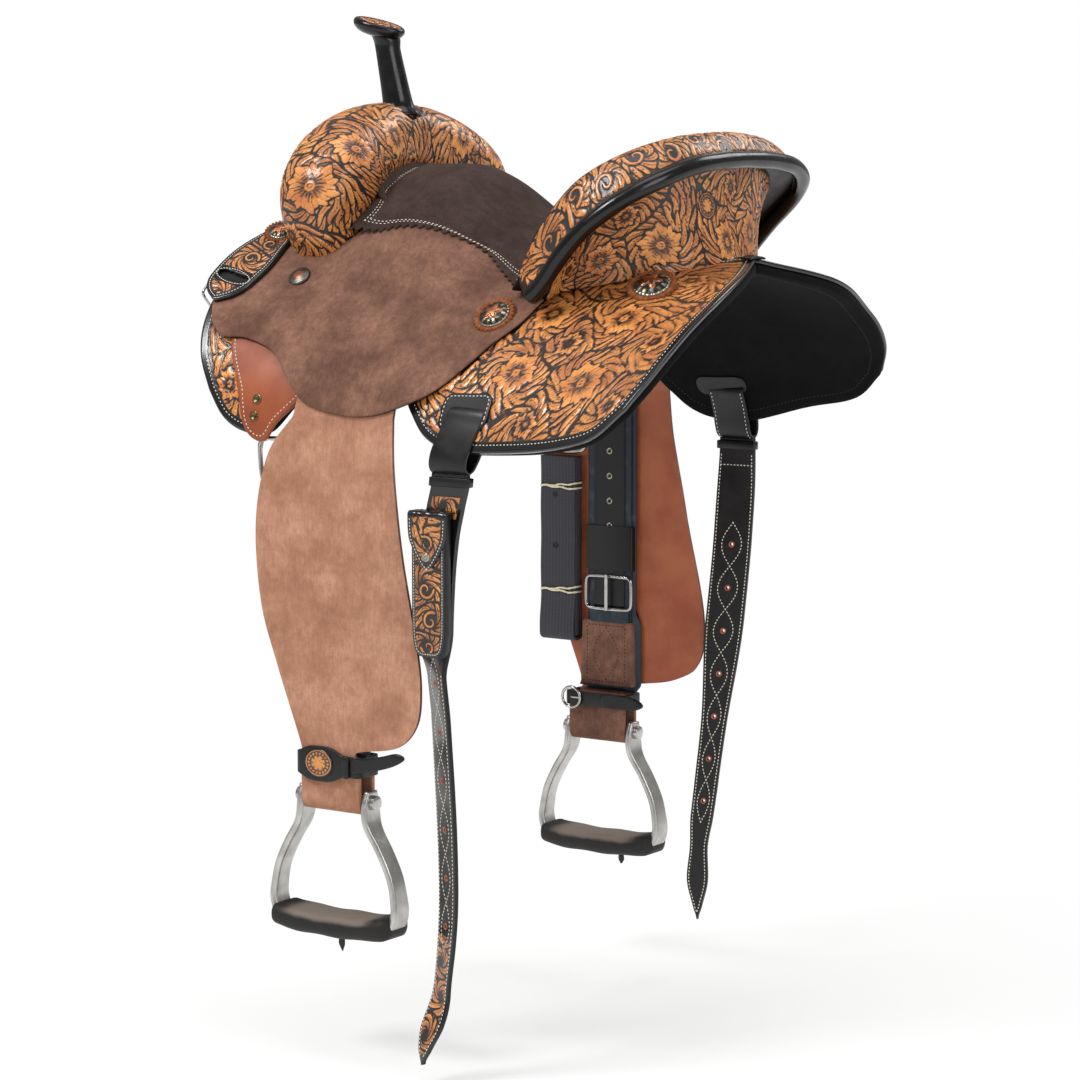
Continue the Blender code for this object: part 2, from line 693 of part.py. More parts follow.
def build_cantle(floor, grid, out, rows_flat):
    wood = material("bare_wood", WOOD, 0.7)
    tooled = leather("tooled_leather", TAN, 0.35)
    black = leather("black_leather", BLACK, 0.3)
    share = np.linspace(-1, 1, grid.shape[1])
    crest, binding, back_top, back_foot = cantle_levels(share)

    outward = binding - crest
    outward[:, 2] = 0
    outward /= np.linalg.norm(outward, axis=1)[:, None]
    upward = np.array([0.0, 0.0, 1.0])
    across = np.linspace(0, 1, 5)
    end = binding - outward * (BINDING_RADIUS - 0.0006) + upward * 0.0035
    under = []
    over = []
    for t in across:
        line = crest * (1 - t) + end * t
        under.append(line + upward * (ROLL_CROWN * 4 * t * (1 - t) + 0.0006))
        over.append(under[-1] + upward * COVER_LEATHER + outward * 0.0006)
    roll = shell("cantle_roll", np.array(under), np.array(over), tooled)
    boolean(roll, floor, "DIFFERENCE")

    sections = []
    for k in range(len(share)):
        ahead = binding[min(k + 1, len(share) - 1)] - binding[max(k - 1, 0)]
        ahead /= np.linalg.norm(ahead)
        side = outward[k] - ahead * np.dot(outward[k], ahead)
        side /= np.linalg.norm(side)
        top = np.cross(side, ahead)
        sections.append(np.array([binding[k] + side * a + top * b
                                  for a, b in circle(BINDING_RADIUS, 8)]))
    bind = loft("cantle_binding", sections, black, sharp=60)
    boolean(bind, floor, "DIFFERENCE")

    inward = -outward
    face_out = []
    face_in = []
    for t in np.linspace(0, 1, 5):
        line = back_top * (1 - t) + back_foot * t
        line = line + inward * (CANTLE_HOLLOW * 4 * t * (1 - t))
        face_out.append(line[1:-1])
        face_in.append((line + inward * COVER_LEATHER)[1:-1])
    face = shell("cantle_back", np.array(face_in), np.array(face_out), tooled)
    boolean(face, floor, "DIFFERENCE")

    pick = np.arange(2, grid.shape[1] - 2)
    columns = np.linspace(-1, 1, grid.shape[1])[pick]
    crest, binding, back_top, back_foot = cantle_levels(columns)
    away = binding - crest
    away[:, 2] = 0
    away /= np.linalg.norm(away, axis=1)[:, None]
    sections = []
    last = grid.shape[0] - 1
    for n, j in enumerate(pick):
        dish = [grid[i, j] - out[i, j] * 0.0012 for i in range(rows_flat, last + 1)]
        dish[-1] = dish[-1] - upward * 0.0030
        brim = binding[n] - away[n] * (BINDING_RADIUS + 2 * GAP) + upward * 0.0035
        lid = [crest[n] * (1 - t) + brim * t + upward * (ROLL_CROWN * 4 * t * (1 - t) - 0.0028)
               for t in (0.3, 0.7)]
        behind = away[n] * (COVER_LEATHER + 0.0028)
        hollow = back_top[n] - behind
        belly = (back_top[n] + back_foot[n]) / 2 - behind - away[n] * CANTLE_HOLLOW
        sole = back_foot[n] - behind
        toe = dish[0] - upward * 0.03
        sections.append(np.array(dish + lid + [hollow, belly, sole, toe]))
    board = loft("tree_cantle", sections, wood)
    boolean(board, floor, "DIFFERENCE")


def skirt_grid(across, down, side):
    top = ((-0.262, 0.100), (-0.200, 0.045), (-0.120, 0.030), (0.200, 0.028), (0.252, 0.006), (0.272, 0.0006))
    bottom = ((-0.247, 0.312), (-0.225, 0.333), (-0.198, 0.340), (-0.168, 0.334), (-0.140, 0.300),
              (-0.118, 0.268), (-0.060, 0.262), (-0.008, 0.268), (0.014, 0.290), (0.040, 0.314),
              (0.077, 0.326), (0.144, 0.330), (0.215, 0.333), (0.262, 0.330), (0.294, 0.308))
    front = ((-0.262, 0.100), (-0.280, 0.185), (-0.279, 0.240), (-0.268, 0.280), (-0.247, 0.312))
    rear = ((0.272, 0.0006), (0.300, 0.075), (0.316, 0.150), (0.318, 0.225), (0.310, 0.275), (0.294, 0.308))
    grid = patch(top, bottom, front, rear, across, down)
    if side < 0:
        low = smooth(grid[..., 1], (0.08, 0.22), (0.0, 1.0))
        far = smooth(grid[..., 0], (0.08, 0.30), (0.0, 1.0))
        grid[..., 0] -= OFF_SKIRT_SHORT * low * far
        grid[..., 1] -= OFF_SKIRT_SHALLOW * low * smooth(grid[..., 0], (0.10, 0.20), (0.0, 1.0))
    return grid


def billet_slot(side, name):
    """The slot that the billet's loop goes through in skirt and lining."""
    y = np.linspace(BILLET_Y - BILLET_WIDTH / 2 - 0.0008, BILLET_Y + BILLET_WIDTH / 2 + 0.0008, 3)[:, None]
    s = np.array([SLOT_S - 0.0042, SLOT_S + 0.0020])[None, :]
    flip = np.array([side, 1, 1])
    low = back_form(y, s, -0.006) * flip
    high = back_form(y, s, SKIRT_OUT + 0.006) * flip
    return guide(shell(name, low, high, leather("guide", BLACK)))


def surface_axes(y, s, d, side):
    """A point on the back form with its outward, downward and rearward directions."""
    flip = np.array([side, 1, 1])
    point = back_form(y, s, d) * flip
    down = back_form(y, s + 0.001, d) * flip - point
    down /= np.linalg.norm(down)
    out = back_form(y, s, d + 0.001) * flip - point
    out /= np.linalg.norm(out)
    return point, out, down, np.array([0.0, 1.0, 0.0])


def sleeve(name, centre, along, length, bore, wall, mat):
    """A short leather tube folded round a wire."""
    along = np.asarray(along, float)
    along /= np.linalg.norm(along)
    helper = np.array([0.0, 0.0, 1.0]) if abs(along[2]) < 0.9 else np.array([0.0, 1.0, 0.0])
    a = np.cross(along, helper)
    a /= np.linalg.norm(a)
    b = np.cross(along, a)
    outer = []
    inner = []
    for end in (-0.5, 0.5):
        here = np.asarray(centre) + along * length * end
        outer.append(np.array([here + a * p + b * q for p, q in circle(bore + wall, 12)]))
        inner.append(np.array([here + a * p + b * q for p, q in circle(bore, 12)]))
    return guide(ring_loft(name, outer, inner, mat))


def build_skirts():
    tooled = leather("tooled_leather", TAN, 0.35)
    felt = leather("black_suede", BLACK, 0.95)
    russet = leather("russet_leather", RUSSET, 0.45)
    for label, side in (("near", 1), ("off", -1)):
        grid = skirt_grid(18, 12, side)
        lining = panel(f"{label}_skirt_lining", grid, side, back_form, 0.0, LINING, felt)
        skirt = panel(f"{label}_skirt", grid, side, back_form, SKIRT_IN, SKIRT_OUT, tooled)
        fore = COLLAR_DEE_Y + COLLAR_WIRE + 0.0014
        low = COLLAR_DEE_S + 0.0075
        high = COLLAR_DEE_S - 0.0075
        tab = patch(((fore, high), (-0.262, high)), ((fore, low), (-0.262, low)),
                    ((fore, high), (fore, low)), ((-0.262, high), (-0.262, low)), 2, 1)
        tongue = guide(panel(f"{label}_tab_guide", tab, side, back_form, SKIRT_IN + 0.0006,
                             SKIRT_OUT - 0.0006, tooled))
        boolean(skirt, tongue, "UNION")
        centre, _, down, _ = surface_axes(COLLAR_DEE_Y, COLLAR_DEE_S, (SKIRT_IN + SKIRT_OUT) / 2, side)
        fold = sleeve(f"{label}_fold_guide", centre, down, 0.0170, COLLAR_WIRE + GAP, 0.0022, tooled)
        boolean(skirt, fold, "UNION")
        slot = billet_slot(side, f"{label}_slot_guide")
        boolean(skirt, slot, "DIFFERENCE")
        boolean(lining, slot, "DIFFERENCE")

        grid = patch(((-0.240, 0.190), (-0.100, 0.190)),
                     ((-0.206, 0.302), (-0.196, 0.332), (-0.182, 0.343), (-0.166, 0.341),
                      (-0.152, 0.322), (-0.130, 0.300), (-0.112, 0.276)),
                     ((-0.240, 0.190), (-0.233, 0.255), (-0.206, 0.302)),
                     ((-0.100, 0.190), (-0.112, 0.276)), 10, 8)
        rigging = panel(f"{label}_rigging_plate", grid, side, back_form, RIGGING_IN, RIGGING_OUT, russet)
        hem = sleeve(f"{label}_hem_guide", (side * DEE_X, HEM_Y, DEE_Z), (0, 1, 0), HEM_LENGTH,
                     DEE_WIRE + GAP, 0.0030, russet)
        boolean(rigging, hem, "UNION")


def build_skirt_tie():
    """The lace plate that joins the two skirts behind the cantle."""
    grid = patch(((0.2615, -0.013), (0.2615, 0.013)), ((0.2730, -0.012), (0.2730, 0.012)),
                 ((0.2615, -0.013), (0.2730, -0.012)), ((0.2615, 0.013), (0.2730, 0.012)), 4, 2)
    inner = back_form(grid[..., 0], grid[..., 1], SKIRT_OUT + LAYER_GAP)
    outer = back_form(grid[..., 0], grid[..., 1], SKIRT_OUT + 0.0032)
    shell("skirt_tie", inner, outer, leather("black_leather", BLACK, 0.3))


def jockey_grid(across, down):
    top = ((-0.256, 0.128), (-0.205, 0.126), (-0.150, 0.122), (-0.115, 0.082), (-0.03, 0.074),
           (0.060, 0.090), (0.112, 0.150))
    bottom = ((-0.262, 0.247), (-0.243, 0.258), (-0.216, 0.253), (-0.187, 0.255), (-0.166, 0.263),
              (-0.147, 0.278), (-0.121, 0.296), (-0.098, 0.302), (-0.057, 0.304), (-0.021, 0.300),
              (0.008, 0.291), (0.034, 0.277), (0.056, 0.256), (0.072, 0.235), (0.084, 0.214))
    front = ((-0.256, 0.128), (-0.268, 0.180), (-0.273, 0.220), (-0.262, 0.247))
    rear = ((0.112, 0.150), (0.104, 0.184), (0.084, 0.214))
    return patch(top, bottom, front, rear, across, down)


def build_jockeys():
    rough = leather("jockey_roughout", BROWN, 0.95)
    for label, side in (("near", 1), ("off", -1)):
        panel(f"{label}_jockey", jockey_grid(18, 10), side, seat_form, 0.0, JOCKEY_LEATHER, rough)


def rosette(name, y, s, floor_d, form, side, radius):
    """A scalloped leather disc with a domed metal concho on it, as one turned piece."""
    flip = np.array([side, 1, 1])
    point = form(y, s, floor_d) * flip
    back = (form(y + 0.006, s, floor_d) - form(y - 0.006, s, floor_d)) * flip
    back /= np.linalg.norm(back)
    fall = (form(y, s + 0.006, floor_d) - form(y, s - 0.006, floor_d)) * flip
    out = np.cross(back, fall)
    out *= np.sign(out[2]) / np.linalg.norm(out)
    across = np.cross(out, back)
    sections = []
    profile = ((0.0005, 0.95, 0.05), (0.0030, 0.93, 0.05), (0.0040, 0.66, 0.0),
               (0.0062, 0.60, 0.0), (0.0088, 0.26, 0.0))
    for height, scale, wave in profile:
        ring = []
        for k in range(16):
            turn = 2 * math.pi * k / 16
            r = radius * (scale + wave * math.cos(8 * turn))
            ring.append(point + out * height + across * r * math.cos(turn) + back * r * math.sin(turn))
        sections.append(np.array(ring))
    return loft(name, sections, leather("rosette_leather", TAN, 0.4))


def build_rosettes():
    for label, side in (("near", 1), ("off", -1)):
        rosette(f"{label}_jockey_rosette", *JOCKEY_ROSETTE_AT, JOCKEY_LEATHER + 0.0022, seat_form, side,
                ROSETTE_RADIUS)
        rosette(f"{label}_skirt_rosette", *SKIRT_ROSETTE_AT, SKIRT_OUT + LAYER_GAP, back_form, side,
                ROSETTE_RADIUS)


def build_latigo_keeper():
    """The keeper on the near front: one strip with a long slot, under its own rosette."""
    tooled = leather("tooled_leather", TAN, 0.35)
    start = JOCKEY_LEATHER + 0.0006
    grid = patch(((-0.272, 0.112), (-0.248, 0.106), (-0.236, 0.118)),
                 ((-0.289, 0.222), (-0.268, 0.2300), (-0.240, 0.214)),
                 ((-0.272, 0.112), (-0.284, 0.165), (-0.289, 0.222)),
                 ((-0.236, 0.118), (-0.230, 0.165), (-0.240, 0.214)), 6, 9)
    y = grid[..., 0]
    s = grid[..., 1]
    under = seat_form(y, s, start + LAYER_GAP)
    over = seat_form(y, s, start + LAYER_GAP + KEEPER_LEATHER)
    keeper = shell("latigo_keeper", under, over, tooled)
    y = np.linspace(-0.279, -0.243, 5)[:, None]
    s = np.array([0.190, 0.201])[None, :]
    low = seat_form(y, s, -0.010)
    high = seat_form(y, s, 0.020)
    slot = guide(shell("keeper_slot_guide", low, high, tooled))
    boolean(keeper, slot, "DIFFERENCE")
    rosette("keeper_rosette", *KEEPER_ROSETTE_AT, start + 0.0068, seat_form, 1, KEEPER_ROSETTE_RADIUS)


def set_on_arc(thing, height, reach, radius):
    """Sets the edge at a height on an arc round the leg's pivot, so that it clears as it lifts."""
    for v in thing.data.vertices:
        if abs(v.co.z - height) < reach:
            v.co.z = PIVOT_Z + math.sqrt(radius ** 2 - (abs(v.co.x) - PIVOT_X) ** 2)


def build_fender_top(label, side):
    """The upper end of the fender, folded over the bar and held under the jockey."""
    drop = LIFT_Z + FENDER_LEATHER / 2 + LAYER_GAP
    depth = np.linspace(0.29, 0.33, 60)
    bottom = []
    for y in np.linspace(-0.127, 0.002, 6):
        height = back_form(y, depth, (FENDER_IN + FENDER_OUT) / 2)[:, 2]
        bottom.append((y, float(np.interp(-drop, -height, depth))))
    grid = patch(((-0.112, 0.140), (-0.014, 0.140)), bottom, ((-0.112, 0.140), bottom[0]),
                 ((-0.014, 0.140), bottom[-1]), 5, 9)
    upper = panel(f"{label}_fender_top", grid, side, back_form, FENDER_IN, FENDER_OUT,
                  leather("fender_roughout", PALE_BROWN, 0.95))
    set_on_arc(upper, drop, 0.0030, LIFT_RADIUS + ARC_GAP)


def build_leg(label, side):
    """Fender, stirrup leather, buckle, hobble strap and stirrup of one side."""
    build_fender_top(label, side)
    rough = leather("fender_roughout", PALE_BROWN, 0.95)
    black = leather("black_leather", BLACK, 0.3)
    steel = material("stainless_steel", STEEL, 0.25, 1.0)
    outline = curve_points(FENDER_OUTLINE[1:6], 15).tolist()
    outline = [FENDER_OUTLINE[0]] + outline + [FENDER_OUTLINE[6], FENDER_OUTLINE[7]]
    outline += curve_points(FENDER_OUTLINE[8:15], 17).tolist() + [FENDER_OUTLINE[15]]
    if side < 0:
        outline = [((y + 0.06) * OFF_FENDER_REAR - 0.06 if y > -0.03 and z < -0.12 else y, z)
                   for y, z in outline]
    top = LIFT_Z + FENDER_LEATHER / 2
    outline[0] = (outline[0][0], top)
    outline[-1] = (outline[-1][0], top)
    fender = plate(f"{label}_fender", outline, 0, FENDER_PLANE, FENDER_PLANE + FENDER_LEATHER, rough, side)
    set_on_arc(fender, top, 0.0001, LIFT_RADIUS)

    half = LEATHER_WIDTH / 2
    strap = [(LEATHER_Y - half, LIFT_Z - 0.0015), (LEATHER_Y - half, -0.400), (LEG_Y - 0.034, -0.436),
             (LEG_Y + 0.034, -0.436), (LEATHER_Y + half, -0.400), (LEATHER_Y + half, LIFT_Z - 0.0015)]
    outer_x = LEATHER_INNER_X + LEATHER_THICKNESS
    hanger = plate(f"{label}_stirrup_leather", strap, 0, LEATHER_INNER_X, outer_x, rough, side)
    for k in range(LEATHER_HOLES):
        z = LEATHER_HOLE_TOP - LEATHER_HOLE_PITCH * k
        hole = [(LEATHER_Y + a, z + b) for a, b in circle(LEATHER_HOLE_RADIUS, 8)]
        tool = guide(plate(f"{label}_hole_guide_{k}", hole, 0, LEATHER_INNER_X - 0.002,
                           outer_x + 0.002, rough, side))
        boolean(hanger, tool, "DIFFERENCE")

    centre_x = (LEATHER_INNER_X + outer_x) / 2
    wall = KEEPER_WALL
    outer = []
    inner = []
    deep = LEATHER_THICKNESS / 2 + GAP
    wide = half + 2 * GAP
    for z in KEEPER_Z:
        outer.append(np.array([(side * (centre_x + a), LEATHER_Y + b, z)
                               for a, b in rounded_box(deep + wall, wide + wall, 0.0020)]))
        inner.append(np.array([(side * (centre_x + a), LEATHER_Y + b, z)
                               for a, b in rounded_box(deep, wide, 0.0010)]))
    ring_loft(f"{label}_leather_keeper", outer, inner, black)

    wire_x = LEATHER_INNER_X - WIRE_RADIUS - GAP
    low, high = BUCKLE_Z
    box = rounded_box(BUCKLE_HALF_WIDTH - WIRE_RADIUS, (high - low) / 2 - WIRE_RADIUS, 0.007, 3)
    path = [(side * wire_x, LEATHER_Y + a, (low + high) / 2 + b) for a, b in box]
    closed_wire(f"{label}_leather_buckle", path, WIRE_RADIUS, 8, steel)
    tongue_x = wire_x - 2 * WIRE_RADIUS - GAP
    tongue = [(-0.48, low + 0.001), (0.48, low + 0.001), (0.52, high - 0.006),
              (0.38, high + 0.0005), (-0.38, high + 0.0005), (-0.52, high - 0.006)]
    plate(f"{label}_buckle_tongue", [(LEATHER_Y + a * TONGUE_WIDTH, z) for a, z in tongue], 0,
          tongue_x - TONGUE_THICKNESS * 0.43, tongue_x + TONGUE_THICKNESS * 0.57, steel, side)

    low, high = HOBBLE_Z
    front_x = FENDER_PLANE + FENDER_LEATHER + 0.0006
    rear_x = BOLT_X - SLEEVE_RADIUS - GAP - LOOP_LEATHER - 0.0006
    middle = (front_x + rear_x) / 2
    depth = (front_x - rear_x) / 2
    width = LOOP_HALF_WIDTH + 0.0010
    outer = []
    inner = []
    for z in (low, high):
        outer.append(np.array([(side * (middle + a), LEG_Y + b, z) for a, b in
                               rounded_box(depth + HOBBLE_LEATHER, width + HOBBLE_LEATHER, 0.0045)]))
        inner.append(np.array([(side * (middle + a), LEG_Y + b, z) for a, b in
                               rounded_box(depth, width, 0.0006)]))
    ring_loft(f"{label}_hobble_strap", outer, inner, black)

    bore = SLEEVE_RADIUS + GAP
    outer_r = bore + LOOP_LEATHER
    top_z = NECK_Z - GAP
    inside = [(BOLT_X + bore, top_z)]
    outside = [(BOLT_X + outer_r, top_z)]
    for k in range(9):
        turn = -math.pi * k / 8
        inside.append((BOLT_X + bore * math.cos(turn), BOLT_Z + bore * math.sin(turn)))
        outside.append((BOLT_X + outer_r * math.cos(turn), BOLT_Z + outer_r * math.sin(turn)))
    inside.append((BOLT_X - bore, top_z))
    outside.append((BOLT_X - outer_r, top_z))
    plate(f"{label}_stirrup_loop", outside + inside[::-1], 1, LEG_Y - LOOP_HALF_WIDTH,
          LEG_Y + LOOP_HALF_WIDTH, rough, side)
    build_stirrup(label, side)


def stirrup_path(count):
    """Half of the stirrup's side: ear, waist, bow and round lower corner, as (y, z)."""
    ear = EAR_Y + ARM_THICKNESS / 2
    half = ((ear, BOLT_Z + 0.012), (ear, BOLT_Z - 0.012), (ear + 0.004, BOLT_Z - 0.028),
            (ear + 0.018, BOLT_Z - 0.050), (ear + 0.031, BOLT_Z - 0.076), (ARM_BEND, BOLT_Z - 0.100),
            (ARM_BEND + 0.0005, TREAD_Z + 0.018), (ARM_BEND - 0.004, TREAD_Z + 0.0055),
            (ARM_BEND - 0.014, TREAD_Z), (0.040, TREAD_Z))
    return curve_points(half, count)


def build_stirrup(label, side):
    metal = material("cast_aluminium", ALUMINIUM, 0.38, 1.0)
    steel = material("stainless_steel", STEEL, 0.25, 1.0)
    black = leather("black_leather", BLACK, 0.3)
    half = stirrup_path(15)
    front = half * np.array([-1, 1])
    path2 = np.vstack([front, half[::-1]])
    path = np.column_stack([np.full(len(path2), BOLT_X), path2[:, 0] + LEG_Y, path2[:, 1]])
    _, sideways, up = frame_along(path)
    base = rounded_box(ARM_WIDTH / 2, ARM_THICKNESS / 2, 0.0022, 1)
    sections = []
    for k, point in enumerate(path):
        sections.append(np.array([point + sideways[k] * a + up[k] * b for a, b in base])
                        * np.array([side, 1, 1]))
    frame = loft(f"{label}_stirrup_frame", sections, metal)
    hole = [(BOLT_X + a, BOLT_Z + b) for a, b in circle(BOLT_RADIUS + 2 * GAP, 12)]
    tool = guide(plate(f"{label}_ear_guide", hole, 1, LEG_Y - 0.06, LEG_Y + 0.06, metal, side))
    boolean(frame, tool, "DIFFERENCE")

    reach = EAR_Y + ARM_THICKNESS
    rows = ((-reach - 0.0062, 0.0050), (-reach - 0.0052, 0.0080), (-reach - GAP, 0.0080),
            (-reach - GAP, BOLT_RADIUS), (-EAR_Y + GAP, BOLT_RADIUS), (-EAR_Y + GAP, SLEEVE_RADIUS),
            (EAR_Y - GAP, SLEEVE_RADIUS), (EAR_Y - GAP, BOLT_RADIUS), (reach + GAP, BOLT_RADIUS),
            (reach + GAP, 0.0080), (reach + 0.0052, 0.0080), (reach + 0.0062, 0.0050))
    sections = [np.array([(side * (BOLT_X + a), LEG_Y + y, BOLT_Z + b) for a, b in circle(r, 12)])
                for y, r in rows]
    loft(f"{label}_stirrup_bolt", sections, steel)

    outer = []
    inner = []
    slot = rounded_box(ARM_WIDTH / 2 + GAP, ARM_THICKNESS / 2 + 2 * GAP, 0.0015, 2)
    for share in (-1, -0.6, 0.6, 1):
        swell = 1 - 0.10 * share ** 4
        body = rounded_box(TREAD_DEPTH / 2 * swell, TREAD_THICKNESS / 2, 0.0060, 2)
        y = LEG_Y + TREAD_HALF_LENGTH * share
        outer.append(np.array([(side * (BOLT_X + a), y, TREAD_Z + b) for a, b in body]))
        inner.append(np.array([(side * (BOLT_X + a), y, TREAD_Z + b) for a, b in slot]))
    ring_loft(f"{label}_stirrup_tread", outer, inner, black)


def build_billet_loop(label, side):
    """The end of the billet, through its slot and back on itself round the skirt's edge."""
    over = SKIRT_OUT + LAYER_GAP
    under = -LAYER_GAP
    thick = LOOP_THICKNESS
    top = SLOT_S
    edge = LOOP_EDGE_S
    hole = [(top, under), (top, over)] + [(run, over) for run in LOOP_STATIONS]
    hole += [(edge, over), (edge + 2 * GAP, LOOP_END_DEPTH), (edge, under)]
    hole += [(run, under) for run in LOOP_STATIONS[::-1]]
    rim = [(top - thick, under - thick), (top - thick, over + thick)]
    rim += [(run, over + thick) for run in LOOP_STATIONS]
    rim += [(edge, over + thick), (LOOP_END_S, LOOP_END_DEPTH), (edge, under - thick)]
    rim += [(run, under - thick) for run in LOOP_STATIONS[::-1]]
    rows = np.linspace(BILLET_Y - BILLET_WIDTH / 2, BILLET_Y + BILLET_WIDTH / 2, 3)
    flip = np.array([side, 1, 1])
    outer = [back_form(y, np.array(rim)[:, 0], np.array(rim)[:, 1]) * flip for y in rows]
    inner = [back_form(y, np.array(hole)[:, 0], np.array(hole)[:, 1]) * flip for y in rows]
    ring_loft(f"{label}_billet_loop", outer, inner, leather("black_leather", BLACK, 0.3))


def billet_hinge():
    """Where the hanging billet turns: just under the end of its loop."""
    end = back_form(BILLET_Y, LOOP_END_S, LOOP_END_DEPTH)
    return float(end[0]), float(end[2]) - STRAP_LEATHER / 2 - 0.0008


NEAR_BILLET = {
    "length": 0.602,
    "y": ((0.0, BILLET_Y), (0.03, 0.077), (0.06, 0.066), (0.11, 0.0600), (0.19, 0.0600), (0.25, 0.066),
          (0.44, 0.073), (0.602, 0.067)),
    "twist": ((0.0, 0.0), (0.195, 0.0), (0.27, -31.0), (0.48, -22.0), (0.602, -22.0)),
    "curl": ((0.0, 0.0), (0.12, -0.001), (0.25, -0.006), (0.42, -0.009), (0.53, -0.004), (0.602, 0.016)),
}
OFF_BILLET = {
    "length": 0.560,
    "y": ((0.0, BILLET_Y), (0.10, 0.0860), (0.22, 0.0740), (0.31, 0.0640), (0.40, 0.052), (0.48, 0.042),
          (0.56, 0.039)),
    "twist": ((0.0, 0.0), (0.07, 28.0), (0.25, 34.0), (0.56, 34.0)),
    "curl": ((0.0, 0.0), (0.25, -0.0005), (0.40, -0.001), (0.50, 0.0005), (0.56, 0.005)),
}


def billet_frame(shape, side, run):
    """Centre, width direction and outward direction of a hanging billet at a run down it."""
    x, z = billet_hinge()
    names = [np.array(shape[k]) for k in ("y", "twist", "curl")]
    y, twist, curl = [float(smooth(run, t[:, 0], t[:, 1])) for t in names]
    angle = math.radians(twist)
    out = np.array([side * math.cos(angle), math.sin(angle), 0.0])
    wide = np.array([-side * math.sin(angle), math.cos(angle), 0.0])
    centre = np.array([side * x, y, z - run]) + out * curl
    return centre, wide, out


def billet_half_width(share):
    """Half the billet's width: full, then a taper, a waist and a spade-shaped point."""
    return BILLET_WIDTH / 2 * smooth(share, (0, 0.46, 0.70, 0.84, 0.89, 0.93, 0.97, 1.0),
                                     (1.0, 1.0, 0.72, 0.50, 0.48, 0.58, 0.34, 0.06))


def build_billet(label, side, shape):
    black = leather("black_leather", BLACK, 0.3)
    length = shape["length"]
    runs = np.concatenate([[-0.0022, 0.0], np.linspace(0, length * 0.80, 17)[1:],
                           np.linspace(length * 0.84, length, 7)])
    across = np.linspace(-1, 1, 3)
    inner = np.zeros((len(runs), len(across), 3))
    outer = np.zeros_like(inner)
    for i, run in enumerate(runs):
        centre, wide, out = billet_frame(shape, side, run)
        half = float(billet_half_width(run / length))
        thick = STRAP_LEATHER / 2 * (0.5 if run < 0 else 1.0)
        for j, a in enumerate(across):
            inner[i, j] = centre + wide * half * a - out * thick
            outer[i, j] = centre + wide * half * a + out * thick
    strap = shell(f"{label}_flank_billet", inner, outer, black)
    first = length - LAST_HOLE_TO_TIP - BILLET_HOLE_PITCH * (BILLET_HOLES - 1)
    for k in range(BILLET_HOLES):
        run = first + BILLET_HOLE_PITCH * k
        centre, wide, out = billet_frame(shape, side, run)
        if side > 0 and run < 0.205:
            continue
        ring = circle(BILLET_HOLE_RADIUS, 6)
        low = np.array([centre + wide * a + np.array([0, 0, 1.5 * b]) - out * 0.008 for a, b in ring])
        high = low + out * 0.016
        tool = guide(loft(f"{label}_billet_hole_{k}", [low, high], black))
        boolean(strap, tool, "DIFFERENCE")


def pouch_hinge():
    x, z = billet_hinge()
    return x + STRAP_LEATHER / 2 + 2 * GAP, POUCH_Y, z - POUCH_DROP + GAP + FLAP_LEATHER


def build_pouch():
    """The small pouch sewn to the near billet, with its flap."""
    tooled = leather("tooled_leather", TAN, 0.35)
    x, z = billet_hinge()
    back = x + STRAP_LEATHER / 2 + GAP
    centre = POUCH_Y
    top = z - POUCH_DROP
    depth = POUCH_DEPTH
    sections = []
    rows = ((0.0, 1.0, 1.0), (0.020, 1.0, 1.0), (0.120, 0.98, 1.0), (0.138, 0.88, 0.90), (0.146, 0.66, 0.66))
    for drop, wide, deep in rows:
        half = POUCH_HALF_WIDTH * wide
        reach = depth * deep
        sections.append(np.array([(back + reach / 2 + a, centre + b, top - drop)
                                  for a, b in rounded_box(reach / 2, half, 0.0035)]))
    pouch = loft("hoof_pick_pouch", sections, tooled)
    near, far = back + POUCH_WALL, back + depth - POUCH_WALL
    half = POUCH_HALF_WIDTH - POUCH_WALL
    room = [(near, centre - half), (far, centre - half), (far, centre + half), (near, centre + half)]
    pocket = guide(plate("pocket_guide", room, 2, top - POCKET_DEPTH, top + 0.010, tooled))
    boolean(pouch, pocket, "DIFFERENCE")

    over = top + GAP
    half = FLAP_HALF_WIDTH
    front = back + depth + 0.0005
    skin = FLAP_LEATHER
    profile_in = [(back + 0.0004, over), (back + 0.0060, over), (front, over),
                  (front, top - 0.022), (front, top - 0.046)]
    profile_out = [(back + 0.0004, over + skin), (back + 0.0060, over + skin), (front, over + skin),
                   (front + skin, top - 0.001), (front + skin, top - 0.046)]
    profile_in.insert(3, (front, top - 0.001))
    profile_out.insert(3, (front + skin * 0.75, over + skin * 0.75))
    inner = []
    outer = []
    for (ax, az), (bx, bz) in zip(profile_in, profile_out):
        low = az < top - 0.04
        inner.append([(ax, centre + half * t * (0.80 if low else 1.0), az) for t in (-1, -0.5, 0.5, 1)])
        outer.append([(bx, centre + half * t * (0.80 if low else 1.0), bz) for t in (-1, -0.5, 0.5, 1)])
    tip_in = [(front, centre + half * t * 0.45, top - FLAP_DROP) for t in (-1, -0.5, 0.5, 1)]
    tip_out = [(front + skin, centre + half * t * 0.45, top - FLAP_DROP) for t in (-1, -0.5, 0.5, 1)]
    shell("pouch_flap", np.array(inner + [tip_in]), np.array(outer + [tip_out]), tooled)


